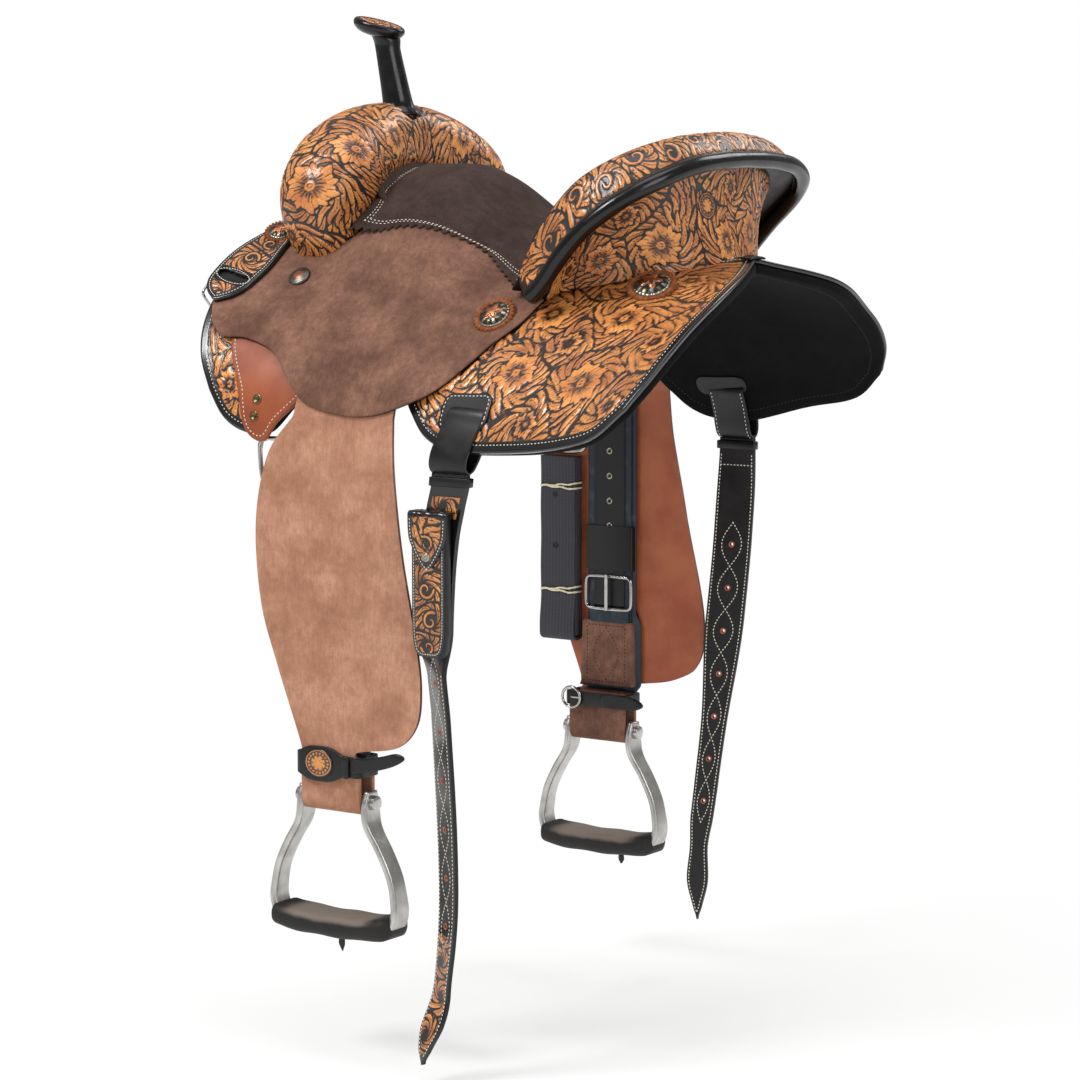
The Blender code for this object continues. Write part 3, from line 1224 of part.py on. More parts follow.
def dee_path(half_width, drop):
    """A dee in its own plane: a straight bar on top and a flat-bottomed bow under it."""
    points = [(-half_width, 0.0)]
    points += [(t * half_width, 0.0) for t in (-0.5, 0.0, 0.5)]
    points += [(half_width, 0.0), (half_width, -drop * 0.42)]
    for share in (0.93, 0.82, 0.68, 0.34, -0.34, -0.68, -0.82, -0.93):
        fall = (1 - abs(share) ** DEE_POWER) ** (1 / DEE_POWER)
        points.append((half_width * share, -drop * (0.42 + 0.58 * fall)))
    points.append((-half_width, -drop * 0.42))
    return points


def build_dees():
    steel = material("stainless_steel", STEEL, 0.25, 1.0)
    for label, side in (("near", 1), ("off", -1)):
        path = [(side * DEE_X, DEE_Y + a, DEE_Z + b) for a, b in dee_path(DEE_HALF_WIDTH, DEE_DROP)]
        closed_wire(f"{label}_rigging_dee", path, DEE_WIRE, 8, steel)
        centre, out, down, _ = surface_axes(COLLAR_DEE_Y, COLLAR_DEE_S, (SKIRT_IN + SKIRT_OUT) / 2, side)
        path = [centre + down * a + out * b for a, b in dee_path(COLLAR_DEE_WIDTH / 2, 0.026)]
        closed_wire(f"{label}_breast_dee", path, COLLAR_WIRE, 8, steel)


def build_latigo():
    """The off latigo, folded up on itself and hung in its dee."""
    y0 = DEE_Y - LATIGO_WIDTH / 2
    y1 = DEE_Y + LATIGO_WIDTH / 2
    bar_z = DEE_Z - DEE_DROP
    outer_x = DEE_X + LATIGO_DEPTH / 2
    inner_x = DEE_X - LATIGO_DEPTH / 2
    bore = DEE_WIRE + 0.0006
    profile = [(outer_x, bar_z - 0.030), (DEE_X + 0.0057, bar_z - 0.004)]
    for k in range(7):
        turn = math.pi * k / 6
        profile.append((DEE_X + 0.0055 * math.cos(turn), bar_z + 0.0045 + 0.0050 * math.sin(turn)))
    profile += [(DEE_X - 0.0057, bar_z - 0.004), (inner_x, bar_z - 0.030), (inner_x, LATIGO_BOTTOM + 0.008),
                (inner_x + 0.003, LATIGO_BOTTOM + 0.001), (inner_x + 0.009, LATIGO_BOTTOM),
                (outer_x - 0.003, LATIGO_BOTTOM + 0.001), (outer_x, LATIGO_BOTTOM + 0.008)]
    strap = plate("latigo_strap", profile, 1, y0, y1, leather("black_webbing", BLACK, 0.8), -1)
    bow = []
    for k in range(12):
        turn = 2 * math.pi * k / 12
        bow.append((DEE_X + bore * math.cos(turn), bar_z + 0.0008 + (bore + 0.0010) * math.sin(turn)))
    tool = guide(plate("latigo_eye_guide", bow, 1, y0 - 0.01, y1 + 0.01, leather("guide", BLACK), -1))
    boolean(strap, tool, "DIFFERENCE")


def turn_about(names, point):
    """Puts the origin of moving pieces on the line they turn about."""
    place = Vector([float(v) for v in point])
    for name in names:
        thing = bpy.data.objects[name]
        thing.data.transform(Matrix.Translation(-place))
        thing.location = place


def set_turning_points():
    hinge_x, hinge_z = billet_hinge()
    for label, side in (("near", 1), ("off", -1)):
        leg = ("fender", "stirrup_leather", "hobble_strap", "stirrup_loop", "stirrup_bolt", "leather_buckle")
        turn_about([f"{label}_{part}" for part in leg], (side * PIVOT_X, LEG_Y, PIVOT_Z))
        turn_about([f"{label}_leather_keeper"], (side * PIVOT_X, LEATHER_Y, KEEPER_Z[0]))
        tongue_x = LEATHER_INNER_X - 3 * WIRE_RADIUS - 2 * GAP
        turn_about([f"{label}_buckle_tongue"], (side * tongue_x, LEATHER_Y, BUCKLE_Z[0] + WIRE_RADIUS))
        turn_about([f"{label}_stirrup_frame", f"{label}_stirrup_tread"], (side * BOLT_X, LEG_Y, BOLT_Z))
        turn_about([f"{label}_flank_billet"], (side * hinge_x, BILLET_Y, hinge_z))
        turn_about([f"{label}_rigging_dee"], (side * DEE_X, HEM_Y, DEE_Z))
        centre = surface_axes(COLLAR_DEE_Y, COLLAR_DEE_S, (SKIRT_IN + SKIRT_OUT) / 2, side)[0]
        turn_about([f"{label}_breast_dee"], centre)
    turn_about(["hoof_pick_pouch"], (hinge_x, BILLET_Y, hinge_z))
    turn_about(["pouch_flap"], pouch_hinge())
    turn_about(["latigo_strap"], (-DEE_X, DEE_Y, DEE_Z - DEE_DROP))


def main():
    clear_scene()
    floor = make_floor_cutter("floor_guide", 0.0010)
    build_tree(floor)
    build_swell(floor)
    grid, out = build_seat()
    build_cantle(floor, grid, out, SEAT_ROWS)
    build_skirts()
    build_skirt_tie()
    build_jockeys()
    build_rosettes()
    build_latigo_keeper()
    for label, side in (("near", 1), ("off", -1)):
        build_leg(label, side)
        build_billet_loop(label, side)
    build_billet("near", 1, NEAR_BILLET)
    build_billet("off", -1, OFF_BILLET)
    build_pouch()
    build_dees()
    build_latigo()
    set_turning_points()


main()
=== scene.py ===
"""Barrel racing saddle dressed over its frame: carved leather, roughout, suede, stitching and steel.

Metres, +X to the near (left) side, -Y to the front, +Z up. Panels that follow the horse's back lie
on one curved form, where a place has y along the back, s down the side and d out from it.
Carving is worked out in millimetres on each panel's own flat pattern, as a saddler draws it.
"""

import json
import math

import bmesh
import bpy
import numpy as np
from mathutils import Matrix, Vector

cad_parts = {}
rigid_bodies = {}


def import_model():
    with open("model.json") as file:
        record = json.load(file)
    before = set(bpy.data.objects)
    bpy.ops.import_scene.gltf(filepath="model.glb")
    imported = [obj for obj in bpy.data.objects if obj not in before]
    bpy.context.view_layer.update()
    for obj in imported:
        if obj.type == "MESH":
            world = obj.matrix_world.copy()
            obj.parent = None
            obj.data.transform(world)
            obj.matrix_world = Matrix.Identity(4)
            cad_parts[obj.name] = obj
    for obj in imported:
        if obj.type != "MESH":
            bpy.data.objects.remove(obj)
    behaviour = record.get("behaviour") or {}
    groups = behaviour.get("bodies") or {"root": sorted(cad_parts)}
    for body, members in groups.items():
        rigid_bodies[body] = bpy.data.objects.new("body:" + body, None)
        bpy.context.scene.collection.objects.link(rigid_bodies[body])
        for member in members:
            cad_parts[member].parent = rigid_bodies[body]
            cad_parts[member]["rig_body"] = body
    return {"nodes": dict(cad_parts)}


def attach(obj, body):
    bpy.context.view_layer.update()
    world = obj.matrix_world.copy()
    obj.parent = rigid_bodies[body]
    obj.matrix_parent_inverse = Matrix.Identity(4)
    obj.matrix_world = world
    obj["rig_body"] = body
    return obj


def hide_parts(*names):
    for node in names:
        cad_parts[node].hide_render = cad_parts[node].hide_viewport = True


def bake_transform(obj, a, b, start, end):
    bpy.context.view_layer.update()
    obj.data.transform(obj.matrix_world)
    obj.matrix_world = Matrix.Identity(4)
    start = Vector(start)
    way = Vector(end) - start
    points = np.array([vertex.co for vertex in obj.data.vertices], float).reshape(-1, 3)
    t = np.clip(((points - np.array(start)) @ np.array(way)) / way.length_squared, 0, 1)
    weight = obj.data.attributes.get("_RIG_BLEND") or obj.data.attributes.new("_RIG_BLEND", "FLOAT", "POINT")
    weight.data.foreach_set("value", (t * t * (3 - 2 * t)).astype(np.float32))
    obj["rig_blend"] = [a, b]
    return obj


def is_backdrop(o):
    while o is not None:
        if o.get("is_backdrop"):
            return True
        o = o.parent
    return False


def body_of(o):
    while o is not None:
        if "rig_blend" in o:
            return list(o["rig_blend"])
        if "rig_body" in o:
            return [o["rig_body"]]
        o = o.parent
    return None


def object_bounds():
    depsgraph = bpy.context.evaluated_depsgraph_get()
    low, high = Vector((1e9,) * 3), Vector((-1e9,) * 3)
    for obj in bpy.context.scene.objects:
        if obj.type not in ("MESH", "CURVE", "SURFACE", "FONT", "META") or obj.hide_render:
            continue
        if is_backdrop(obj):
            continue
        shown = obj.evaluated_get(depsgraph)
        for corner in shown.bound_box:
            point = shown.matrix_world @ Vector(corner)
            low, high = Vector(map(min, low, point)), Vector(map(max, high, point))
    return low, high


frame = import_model()
CAD_BOX = [[float(v) for v in corner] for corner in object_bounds()]

# ---------------------------------------------------------------- sizes, in metres
GAP = 0.0003
LAYER_GAP = 0.0010
LINING = 0.0100
SKIRT_IN = LINING + GAP
SKIRT_OUT = SKIRT_IN + 0.0045
RIGGING_IN = SKIRT_OUT + LAYER_GAP
RIGGING_OUT = RIGGING_IN + 0.0035
FENDER_IN = RIGGING_OUT + LAYER_GAP
FENDER_OUT = FENDER_IN + 0.0035
JOCKEY_LEATHER = 0.0036
COVER_LEATHER = 0.0045
SEAT_GAP = 0.0009
STATIONS = (-0.28, 0.0, 0.28)
SPINE_HEIGHT = (0.112, 0.066, 0.060)
SPINE_SLOPE = (16, 15, 12)
SIDE_SLOPE = (86, 86, 64)
SIDE_DEPTH = 0.34
TIP_Y = (0.06, 0.12, 0.20, 0.25, 0.285)
TIP_RISE = (0.0, 0.0085, 0.0120, 0.0040, 0.0)
TIP_HALF_WIDTH = 0.24
RIDGE_Y = (-0.250, -0.205, -0.150, -0.085, -0.060, -0.035, -0.010, 0.010, 0.060, 0.110, 0.160, 0.205, 0.250)
RIDGE_RISE = (0.0, 0.030, 0.0540, 0.0630, 0.0580, 0.0460, 0.0290, 0.0190, 0.0150, 0.0065, 0.0040, 0.0030, 0.0)
SEAT_HALF_WIDTH = 0.185
OFF_SKIRT_SHORT = 0.020
OFF_SKIRT_SHALLOW = 0.016
CANTLE_ROWS = ((0.0, 0.199, 0.0, 0.176), (20.0, 0.195, 16.0, 0.171), (41.0, 0.185, 38.0, 0.156),
               (63.0, 0.167, 62.0, 0.133), (80.0, 0.145, 79.0, 0.104), (92.0, 0.109, 86.0, 0.078),
               (102.0, 0.064, 88.7, 0.058), (110.0, 0.044, 90.1, 0.038))
CREST_PLAN = (0.165, 0.105, 0.122, 2.6)
BINDING_PLAN = (0.185, 0.142, 0.120, 3.5)
CANTLE_TOP_PLAN = (0.158, 0.121, 0.120, 2.8)
CANTLE_FOOT_PLAN = (0.126, 0.132, 0.120, 2.2)
BINDING_RADIUS = 0.0088
ROLL_CROWN = 0.006
CANTLE_HOLLOW = 0.006
LIFT_Z = -0.0885
FENDER_LEATHER = 0.0035
FENDER_PLANE = 0.2642 - FENDER_LEATHER / 2
NECK_Z = -0.440
LEG_Y = -0.081
LEATHER_Y = -0.073
BOLT_X = 0.2512
BOLT_Z = -0.4855
TREAD_Z = -0.6170
ARM_BEND = 0.0790
LEATHER_INNER_X = 0.2530
PHOTO_TURN = math.radians(34.416)
PHOTO_LIFT = math.radians(6.686)
PHOTO_LENS_MM = 107.4
PHOTO_AIM = np.array([-0.021, -0.0124, -0.2364])
PHOTO_AWAY = 3.5152
FLOOR_REACH = 9.0
FLOOR_GAP = 0.02
EYELETS = 5
EYELET_TOP_MM = -130.0
EYELET_PITCH_MM = 29.0
STRAP_LEATHER = 0.0055
BILLET_Y = 0.091
BILLET_WIDTH = 0.045
BILLET_HOLE_PITCH = 0.050
BILLET_HOLES = (6, 7)
LAST_HOLE_TO_TIP = 0.142
SLOT_S = 0.2860
LOOP_END_S = 0.3480
LOOP_END_DEPTH = 0.0076
LOOP_THICKNESS = 0.0034
POUCH_Y = 0.0600
POUCH_DROP = 0.036
POUCH_DEPTH = 0.0135
FLAP_LEATHER = 0.0026
DEE_Y = -0.142
DEE_X = 0.2540
LATIGO_TOP = -0.168
LATIGO_BOTTOM = -0.385
LATIGO_EYELETS_MM = (-213, -273)
LATIGO_TIES = (-0.204, -0.326)
HORN_TILT = np.radians(-16.0)
HORN_SIZE = (0.050, 0.062, 0.0150)
ROOT = "saddle"
SIDES = (("near", 1), ("off", -1))
UP = np.array([0.0, 0.0, 1.0])
SMALL_STITCH = (0.0033, 0.0023, 0.0010)  # pitch, length and width
NO_BAND = 20.0  # a rim value at which a carved face has no black band


# ---------------------------------------------------------------- curves and forms
def smooth(x, xs, vs):
    """A curve through the stations that never swings past them (monotone cubic)."""
    xs = np.asarray(xs, float)
    vs = np.asarray(vs, float)
    x = np.clip(np.asarray(x, float), xs[0], xs[-1])
    step = np.diff(xs)
    slope = np.diff(vs) / step
    bend = np.zeros_like(vs)
    same = slope[1:] * slope[:-1] > 0
    total = np.where(same, slope[1:] + slope[:-1], 1.0)
    bend[1:-1] = np.where(same, 2 * slope[1:] * slope[:-1] / total, 0.0)
    i = np.clip(np.searchsorted(xs, x, side="right") - 1, 0, len(xs) - 2)
    t = (x - xs[i]) / step[i]
    rise = vs[i] * (1 + 2 * t) * (1 - t) ** 2 + vs[i + 1] * t * t * (3 - 2 * t)
    return rise + step[i] * (bend[i] * t * (1 - t) ** 2 + bend[i + 1] * t * t * (t - 1))


def ease(x, low, high):
    """0 under low, 1 over high and a smooth step between them."""
    t = np.clip((x - low) / (high - low), 0, 1)
    return t * t * (3 - 2 * t)


def station_value(y, values):
    """The parabola through the three stations of the horse's back."""
    a, b, c = STATIONS
    front = (y - b) * (y - c) / ((a - b) * (a - c))
    middle = (y - a) * (y - c) / ((b - a) * (b - c))
    rear = (y - a) * (y - b) / ((c - a) * (c - b))
    return values[0] * front + values[1] * middle + values[2] * rear


def back_form(y, s, d=0.0):
    """The point at y, s down the side and d out from the horse's back.

    The slope grows with the square of s, and x and z are its cosine and sine summed along s.
    Round the cantle the tree's tips lift the form a little.
    """
    y, s, d = np.broadcast_arrays(np.asarray(y, float), np.asarray(s, float), np.asarray(d, float))
    near = np.where(s < 0, -1.0, 1.0)
    run = np.abs(s)
    d = d + smooth(y, TIP_Y, TIP_RISE) * (1 - np.clip(run / TIP_HALF_WIDTH, 0, 1) ** 4) ** 2
    first = np.radians(station_value(y, SPINE_SLOPE))
    last = np.radians(station_value(y, SIDE_SLOPE))
    x = np.zeros_like(run)
    z = np.zeros_like(run)
    for share in (np.arange(24) + 0.5) / 24:
        angle = first + (last - first) * (run * share / SIDE_DEPTH) ** 2
        x += np.cos(angle) / 24
        z += np.sin(angle) / 24
    end = first + (last - first) * (run / SIDE_DEPTH) ** 2
    z = station_value(y, SPINE_HEIGHT) - run * z
    return np.stack([near * (run * x + d * np.sin(end)), y, z + d * np.cos(end)], -1)


def seat_rise(y, s):
    """How far the ground seat stands over the bars."""
    share = np.clip(np.abs(s) / SEAT_HALF_WIDTH, 0, 1)
    return smooth(y, RIDGE_Y, RIDGE_RISE) * (1 - share ** 2.2) ** 1.6


def jockey_floor(y):
    """What the jockey lies on: the rigging in front, the fender, then the skirt."""
    front = RIGGING_OUT + LAYER_GAP
    over = FENDER_OUT + LAYER_GAP
    rear = SKIRT_OUT + LAYER_GAP
    return smooth(y, (-0.32, -0.175, -0.135, 0.005, 0.055, 0.33), (front, front, over, over, rear, rear))


def seat_form(y, s, d=0.0):
    """The back form raised to the underside of the jockeys and the ground seat, plus d."""
    return back_form(y, s, jockey_floor(y) + seat_rise(y, s) + d)


def stand_level(y, s):
    """The level that the fork and the cantle stand on, out from the horse's back."""
    jockey = smooth(y, (-0.33, 0.108, 0.134, 0.36), (JOCKEY_LEATHER, JOCKEY_LEATHER, 0.0, 0.0))
    clear = np.where(y > 0, 1.0, smooth(np.abs(s), (0.106, 0.118), (0.0, 1.0)))
    tips = smooth(y, (0.118, 0.134, 0.205, 0.222), (0.0, 0.0050, 0.0050, 0.0))
    over_bars = smooth(np.abs(s), (0.066, 0.078), (1.0, 0.0))
    return jockey_floor(y) + jockey + clear * seat_rise(y, s) + tips * over_bars


def run_of(points):
    """The length along a line of points up to each of them."""
    return np.concatenate([[0], np.cumsum(np.linalg.norm(np.diff(points, axis=0), axis=1))])


def round_angles(count):
    """Angles spaced evenly round a circle."""
    return np.arange(count) * 2 * math.pi / count


def between(table, i, j):
    """Values of a table at fractional rows i and columns j, blended from the four cells round each."""
    i = np.clip(i, 0, table.shape[0] - 1.001)
    j = np.clip(j, 0, table.shape[1] - 1.001)
    i0, j0 = i.astype(int), j.astype(int)
    u, v = i - i0, j - j0
    return ((1 - u) * (1 - v) * table[i0, j0] + u * (1 - v) * table[i0 + 1, j0]
            + (1 - u) * v * table[i0, j0 + 1] + u * v * table[i0 + 1, j0 + 1])


def curve_at(points, share):
    """Places at shares of the length of a Catmull-Rom curve through the points."""
    p = np.asarray(points, float)
    if len(p) > 2:
        ends = np.vstack([2 * p[0] - p[1], p, 2 * p[-1] - p[-2]])
        t = np.linspace(0, 1, 24, endpoint=False)[:, None]
        fine = []
        for i in range(1, len(ends) - 2):
            a, b, c, e = ends[i - 1:i + 3]
            fine.append(0.5 * (2 * b + (c - a) * t + (2 * a - 5 * b + 4 * c - e) * t ** 2
                               + (3 * b - a - 3 * c + e) * t ** 3))
        p = np.vstack(fine + [p[-1:]])
    run = run_of(p)
    want = np.asarray(share) * run[-1]
    return np.stack([np.interp(want, run, p[:, k]) for k in range(p.shape[1])], -1)


def patch(top, bottom, front, rear, across, down):
    """A grid that fills four edge curves: each cell blends the edges that face each other.

    across and down are the shares of the edges' lengths at which the grid has its lines.
    """
    u = across[:, None, None]
    v = down[None, :, None]
    t = curve_at(top, across)[:, None, :]
    b = curve_at(bottom, across)[:, None, :]
    f = curve_at(front, down)[None, :, :]
    r = curve_at(rear, down)[None, :, :]
    corners = ((1 - u) * (1 - v) * t[0, 0] + u * (1 - v) * t[-1, 0]
               + (1 - u) * v * b[0, 0] + u * v * b[-1, 0])
    return (1 - v) * t + v * b + (1 - u) * f + u * r - corners


def lines(size, spacing):
    """Shares of a length in mm: close lines at both ends for the worked edge, even ones between."""
    ends = np.array([0.0, 0.35, 1.1]) / size
    count = max(int(round(size / spacing)), 4)
    middle = np.linspace(ends[-1] + spacing / size, 1 - ends[-1] - spacing / size, count)
    return np.concatenate([ends, middle, 1 - ends[::-1]])


def border_of(grid):
    """The closed border of a grid, in order round it."""
    return np.concatenate([grid[:-1, 0], grid[-1, :-1], grid[:0:-1, -1], grid[0, :0:-1]])


def resample(points, spacing, closed=False):
    """Points spaced evenly along a line of points; columns after the third are carried along."""
    points = np.asarray(points, float)
    if closed:
        points = np.vstack([points, points[:1]])
    run = run_of(points[:, :3])
    keep = np.concatenate([[True], np.diff(run) > 1e-9])
    want = np.linspace(0, run[-1], max(int(run[-1] / spacing), 2) + 1)
    return np.stack([np.interp(want, run[keep], points[keep, k]) for k in range(points.shape[1])], -1)


def border_distance(points, border):
    """Distance from each point to a closed line, positive inside it."""
    shape = points.shape[:-1]
    p = points.reshape(-1, 2)
    a = border
    b = np.roll(border, -1, axis=0)
    step = b - a
    best = np.full(len(p), 1e9)
    inside = np.zeros(len(p), bool)
    for k in range(len(a)):
        if not step[k].any():
            continue
        t = np.clip(((p - a[k]) @ step[k]) / (step[k] @ step[k]), 0, 1)
        best = np.minimum(best, ((p - a[k] - t[:, None] * step[k]) ** 2).sum(1))
        cross = (a[k, 1] > p[:, 1]) != (b[k, 1] > p[:, 1])
        if step[k, 1]:
            inside ^= cross & (p[:, 0] < a[k, 0] + (p[:, 1] - a[k, 1]) * step[k, 0] / step[k, 1])
    return (np.sqrt(best) * np.where(inside, 1, -1)).reshape(shape)


def inset(border, reach):
    """The line that runs a distance inside a closed border."""
    line = resample(border, 2.0, closed=True)[:-1]
    ahead = np.roll(line, -2, axis=0) - np.roll(line, 2, axis=0)
    ahead /= np.linalg.norm(ahead, axis=1)[:, None] + 1e-12
    side = np.stack([-ahead[:, 1], ahead[:, 0]], -1)
    area = (line[:, 0] * np.roll(line[:, 1], -1) - np.roll(line[:, 0], -1) * line[:, 1]).sum()
    moved = line + side * reach * np.sign(area)
    return moved[border_distance(moved, line) > reach * 0.975]


# ---------------------------------------------------------------- meshes
def unit(v):
    """Vectors scaled to length 1."""
    return v / (np.linalg.norm(v, axis=-1, keepdims=True) + 1e-15)


def build(name, points, faces, skins, body, stands_for=(), fields=None, zones=None, sharp=None):
    """One piece from arrays: points, groups of faces of one size each, and a value per point for each field."""
    points = np.asarray(points, float).reshape(-1, 3)
    counts = np.concatenate([np.full(len(f), f.shape[1]) for f in faces])
    corners = np.concatenate([np.asarray(f).ravel() for f in faces])
    mesh = bpy.data.meshes.new(name)
    mesh.vertices.add(len(points))
    mesh.vertices.foreach_set("co", points.astype(np.float32).ravel())
    mesh.loops.add(len(corners))
    mesh.loops.foreach_set("vertex_index", corners.astype(np.int32))
    mesh.polygons.add(len(counts))
    mesh.polygons.foreach_set("loop_start", np.concatenate([[0], np.cumsum(counts)[:-1]]).astype(np.int32))
    for skin in skins:
        mesh.materials.append(skin)
    if zones is not None:
        mesh.polygons.foreach_set("material_index", np.concatenate([np.ravel(z) for z in zones]).astype(np.int32))
    for key, value in (fields or {}).items():
        mesh.attributes.new(key, "FLOAT", "POINT").data.foreach_set("value", np.ravel(value).astype(np.float32))
    mesh.update(calc_edges=True)
    mesh.shade_smooth()
    if sharp:
        mesh.set_sharp_from_angle(angle=math.radians(sharp))
    thing = bpy.data.objects.new(name, mesh)
    bpy.context.scene.collection.objects.link(thing)
    if stands_for:
        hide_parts(*stands_for)
    if body:
        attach(thing, body)
    return thing


def quads_of(over, under, keep=None):
    """The cells of a grid as faces that look away from the underside; keep marks the ones that stay."""
    rows, cols = over.shape[:2]
    index = np.arange(rows * cols).reshape(rows, cols)
    quads = np.stack([index[:-1, :-1], index[1:, :-1], index[1:, 1:], index[:-1, 1:]], -1).reshape(-1, 4)
    if keep is not None:
        quads = quads[np.ravel(keep)]
    o = over.reshape(-1, 3)
    facing = np.cross(o[quads[:, 1]] - o[quads[:, 0]], o[quads[:, 3]] - o[quads[:, 0]])
    lift = (o - under.reshape(-1, 3))[quads[:, 0]]
    return quads[:, ::-1] if (facing * lift).sum() < 0 else quads


def sheet(name, under, over, skins, body, stands_for=(), fields=None, keep=None, zones=(0, 0, 0), sharp=None):
    """A piece of leather between two grids of points, with a wall round every free edge.

    keep marks the cells that stay, so a slot is a hole in it. zones picks a material for the
    upper face, the underside and the wall.
    """
    quads = quads_of(over, under, keep)
    o = over.reshape(-1, 3)
    count = len(o)
    edges = np.concatenate([quads[:, [k, (k + 1) % 4]] for k in range(4)])
    key = edges[:, 0].astype(np.int64) * count + edges[:, 1]
    twin = edges[:, 1].astype(np.int64) * count + edges[:, 0]
    free = edges[~np.isin(key, twin)]
    wall = np.stack([free[:, 1], free[:, 0], free[:, 0] + count, free[:, 1] + count], -1)
    points = np.concatenate([o, under.reshape(-1, 3)])
    doubled = {k: np.concatenate([np.ravel(v), np.ravel(v)]) for k, v in (fields or {}).items()}
    faces = [quads, quads[:, ::-1] + count, wall]
    marks = [np.full(len(f), z) for f, z in zip(faces, zones)]
    used = np.zeros(2 * count, bool)
    used[np.concatenate([np.ravel(f) for f in faces])] = True
    renumber = np.cumsum(used) - 1
    return build(name, points[used], [renumber[f] for f in faces], skins, body, stands_for,
                 {k: v[used] for k, v in doubled.items()}, marks, sharp)


def tube_faces(rows, cols, closed=False):
    """The quads between rings of one count, and the two end faces of an open tube."""
    i = np.arange(rows if closed else rows - 1)[:, None]
    j = np.arange(cols)[None, :]
    k = (i + 1) % rows
    m = (j + 1) % cols
    quads = np.stack(np.broadcast_arrays(i * cols + j, i * cols + m, k * cols + m, k * cols + j), -1).reshape(-1, 4)
    faces = [quads]
    if not closed:
        faces.append(np.arange(cols)[None, ::-1])
        faces.append((rows - 1) * cols + np.arange(cols)[None, :])
    return faces


def tube(name, rings, skins, body, stands_for=(), closed=False, fields=None, zones=None):
    """A skin over closed rings of points, turned so that its volume is positive."""
    rings = np.asarray(rings, float)
    rows, cols = rings.shape[:2]
    faces = tube_faces(rows, cols, closed)
    p = rings.reshape(-1, 3) - rings.reshape(-1, 3).mean(0)
    q = faces[0]
    volume = sum((np.cross(p[q[:, 0]], p[q[:, k]]) * p[q[:, k + 1]]).sum() for k in (1, 2))
    if volume < 0:
        faces = [f[:, ::-1] for f in faces]
    marks = None
    if zones is not None:
        marks = [zones] + [np.zeros(1, int) for _ in faces[1:]]
    return build(name, rings, faces, skins, body, stands_for, fields, marks)


def sweep(path, across, profile, closed=False):
    """Rings along a path: profile is (k, 2) in a frame of the across direction and the third one."""
    path = np.asarray(path, float)
    if closed:
        ahead = unit(np.roll(path, -1, 0) - np.roll(path, 1, 0))
    else:
        ahead = unit(np.gradient(path, axis=0))
    a = np.broadcast_to(np.asarray(across, float), path.shape)
    a = unit(a - ahead * (a * ahead).sum(-1, keepdims=True))
    b = np.cross(ahead, a)
    profile = np.asarray(profile, float)
    if profile.ndim == 2:
        profile = np.broadcast_to(profile, (len(path),) + profile.shape)
    return path[:, None] + a[:, None] * profile[..., :1] + b[:, None] * profile[..., 1:]


def ring(radius, count):
    """A circle of points."""
    turn = round_angles(count)
    return np.stack([radius * np.cos(turn), radius * np.sin(turn)], -1)


def rounded_box(half_a, half_b, corner, steps=5):
    """A rectangle with round corners."""
    points = []
    for turn, (sa, sb) in enumerate(((1, 1), (-1, 1), (-1, -1), (1, -1))):
        angle = np.radians(90 * turn + 90 * np.arange(steps + 1) / steps)
        points.append(np.stack([sa * (half_a - corner) + corner * np.cos(angle),
                                sb * (half_b - corner) + corner * np.sin(angle)], -1))
    return np.concatenate(points)


def stitches(name, runs, body, skin, pitch=0.0046, length=0.0026, width=0.0011):
    """A row of thread stitches along each run of (points, normals): flat capsules that dip at both ends.

    The pitch is drawn a little wider than the real 4 mm, so that single stitches show in the picture.
    """
    centre, ahead, out = [], [], []
    for points, normals in runs:
        both = resample(np.concatenate([points, normals], -1), pitch)
        p = both[:, :3]
        n = unit(both[:, 3:])
        t = unit(np.gradient(p, axis=0))
        centre.append(p)
        ahead.append(t)
        out.append(unit(n - t * (n * t).sum(-1, keepdims=True)))
    centre, ahead, out = (np.concatenate(x)[:, None] for x in (centre, ahead, out))
    side = np.cross(ahead, out)
    along = np.array([-0.5, -0.38, 0.0, 0.38, 0.5])
    thick = np.array([0.25, 0.85, 1.0, 0.85, 0.25])
    turn = round_angles(6)
    profile = np.stack(np.broadcast_arrays(along[:, None] * length, thick[:, None] * np.cos(turn) * width / 2,
                                           thick[:, None] * np.sin(turn) * width / 2 * 0.8
                                           - (1 - thick[:, None]) * width * 0.35), -1).reshape(1, -1, 3)
    points = centre + ahead * profile[..., :1] + side * profile[..., 1:2] + out * profile[..., 2:]
    faces = tube_faces(5, 6)
    shift = np.arange(len(points))[:, None, None] * 30
    return build(name, points, [(f[None] + shift).reshape(-1, f.shape[1]) for f in faces], [skin], body)


def round_edges(thing, width, segments, angle):
    """Rounds the edges of a piece that turn by more than an angle in degrees."""
    edge = thing.modifiers.new("rounded_edge", "BEVEL")
    edge.width = width
    edge.segments = segments
    edge.limit_method = "ANGLE"
    edge.angle_limit = math.radians(angle)


def refined(node, skins, bevel=0.0, levels=0, sharp=35.0):
    """A merged copy of a CAD node with rounded edges, in place of it."""
    source = frame["nodes"][node]
    mesh = source.data.copy()
    mesh.transform(source.matrix_world)
    work = bmesh.new()
    work.from_mesh(mesh)
    bmesh.ops.remove_doubles(work, verts=work.verts, dist=2e-6)
    bmesh.ops.dissolve_limit(work, angle_limit=math.radians(0.5), verts=work.verts, edges=work.edges)
    work.to_mesh(mesh)
    work.free()
    mesh.materials.clear()
    for skin in skins:
        mesh.materials.append(skin)
    mesh.shade_smooth()
    mesh.set_sharp_from_angle(angle=math.radians(sharp))
    name = node + "_finished"
    mesh.name = name
    thing = bpy.data.objects.new(name, mesh)
    bpy.context.scene.collection.objects.link(thing)
    if bevel:
        round_edges(thing, bevel, 3, sharp)
    if levels:
        soft = thing.modifiers.new("even_curve", "SUBSURF")
        soft.levels = levels
        soft.render_levels = levels
    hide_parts(node)
    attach(thing, body_of(source)[0])
    return thing


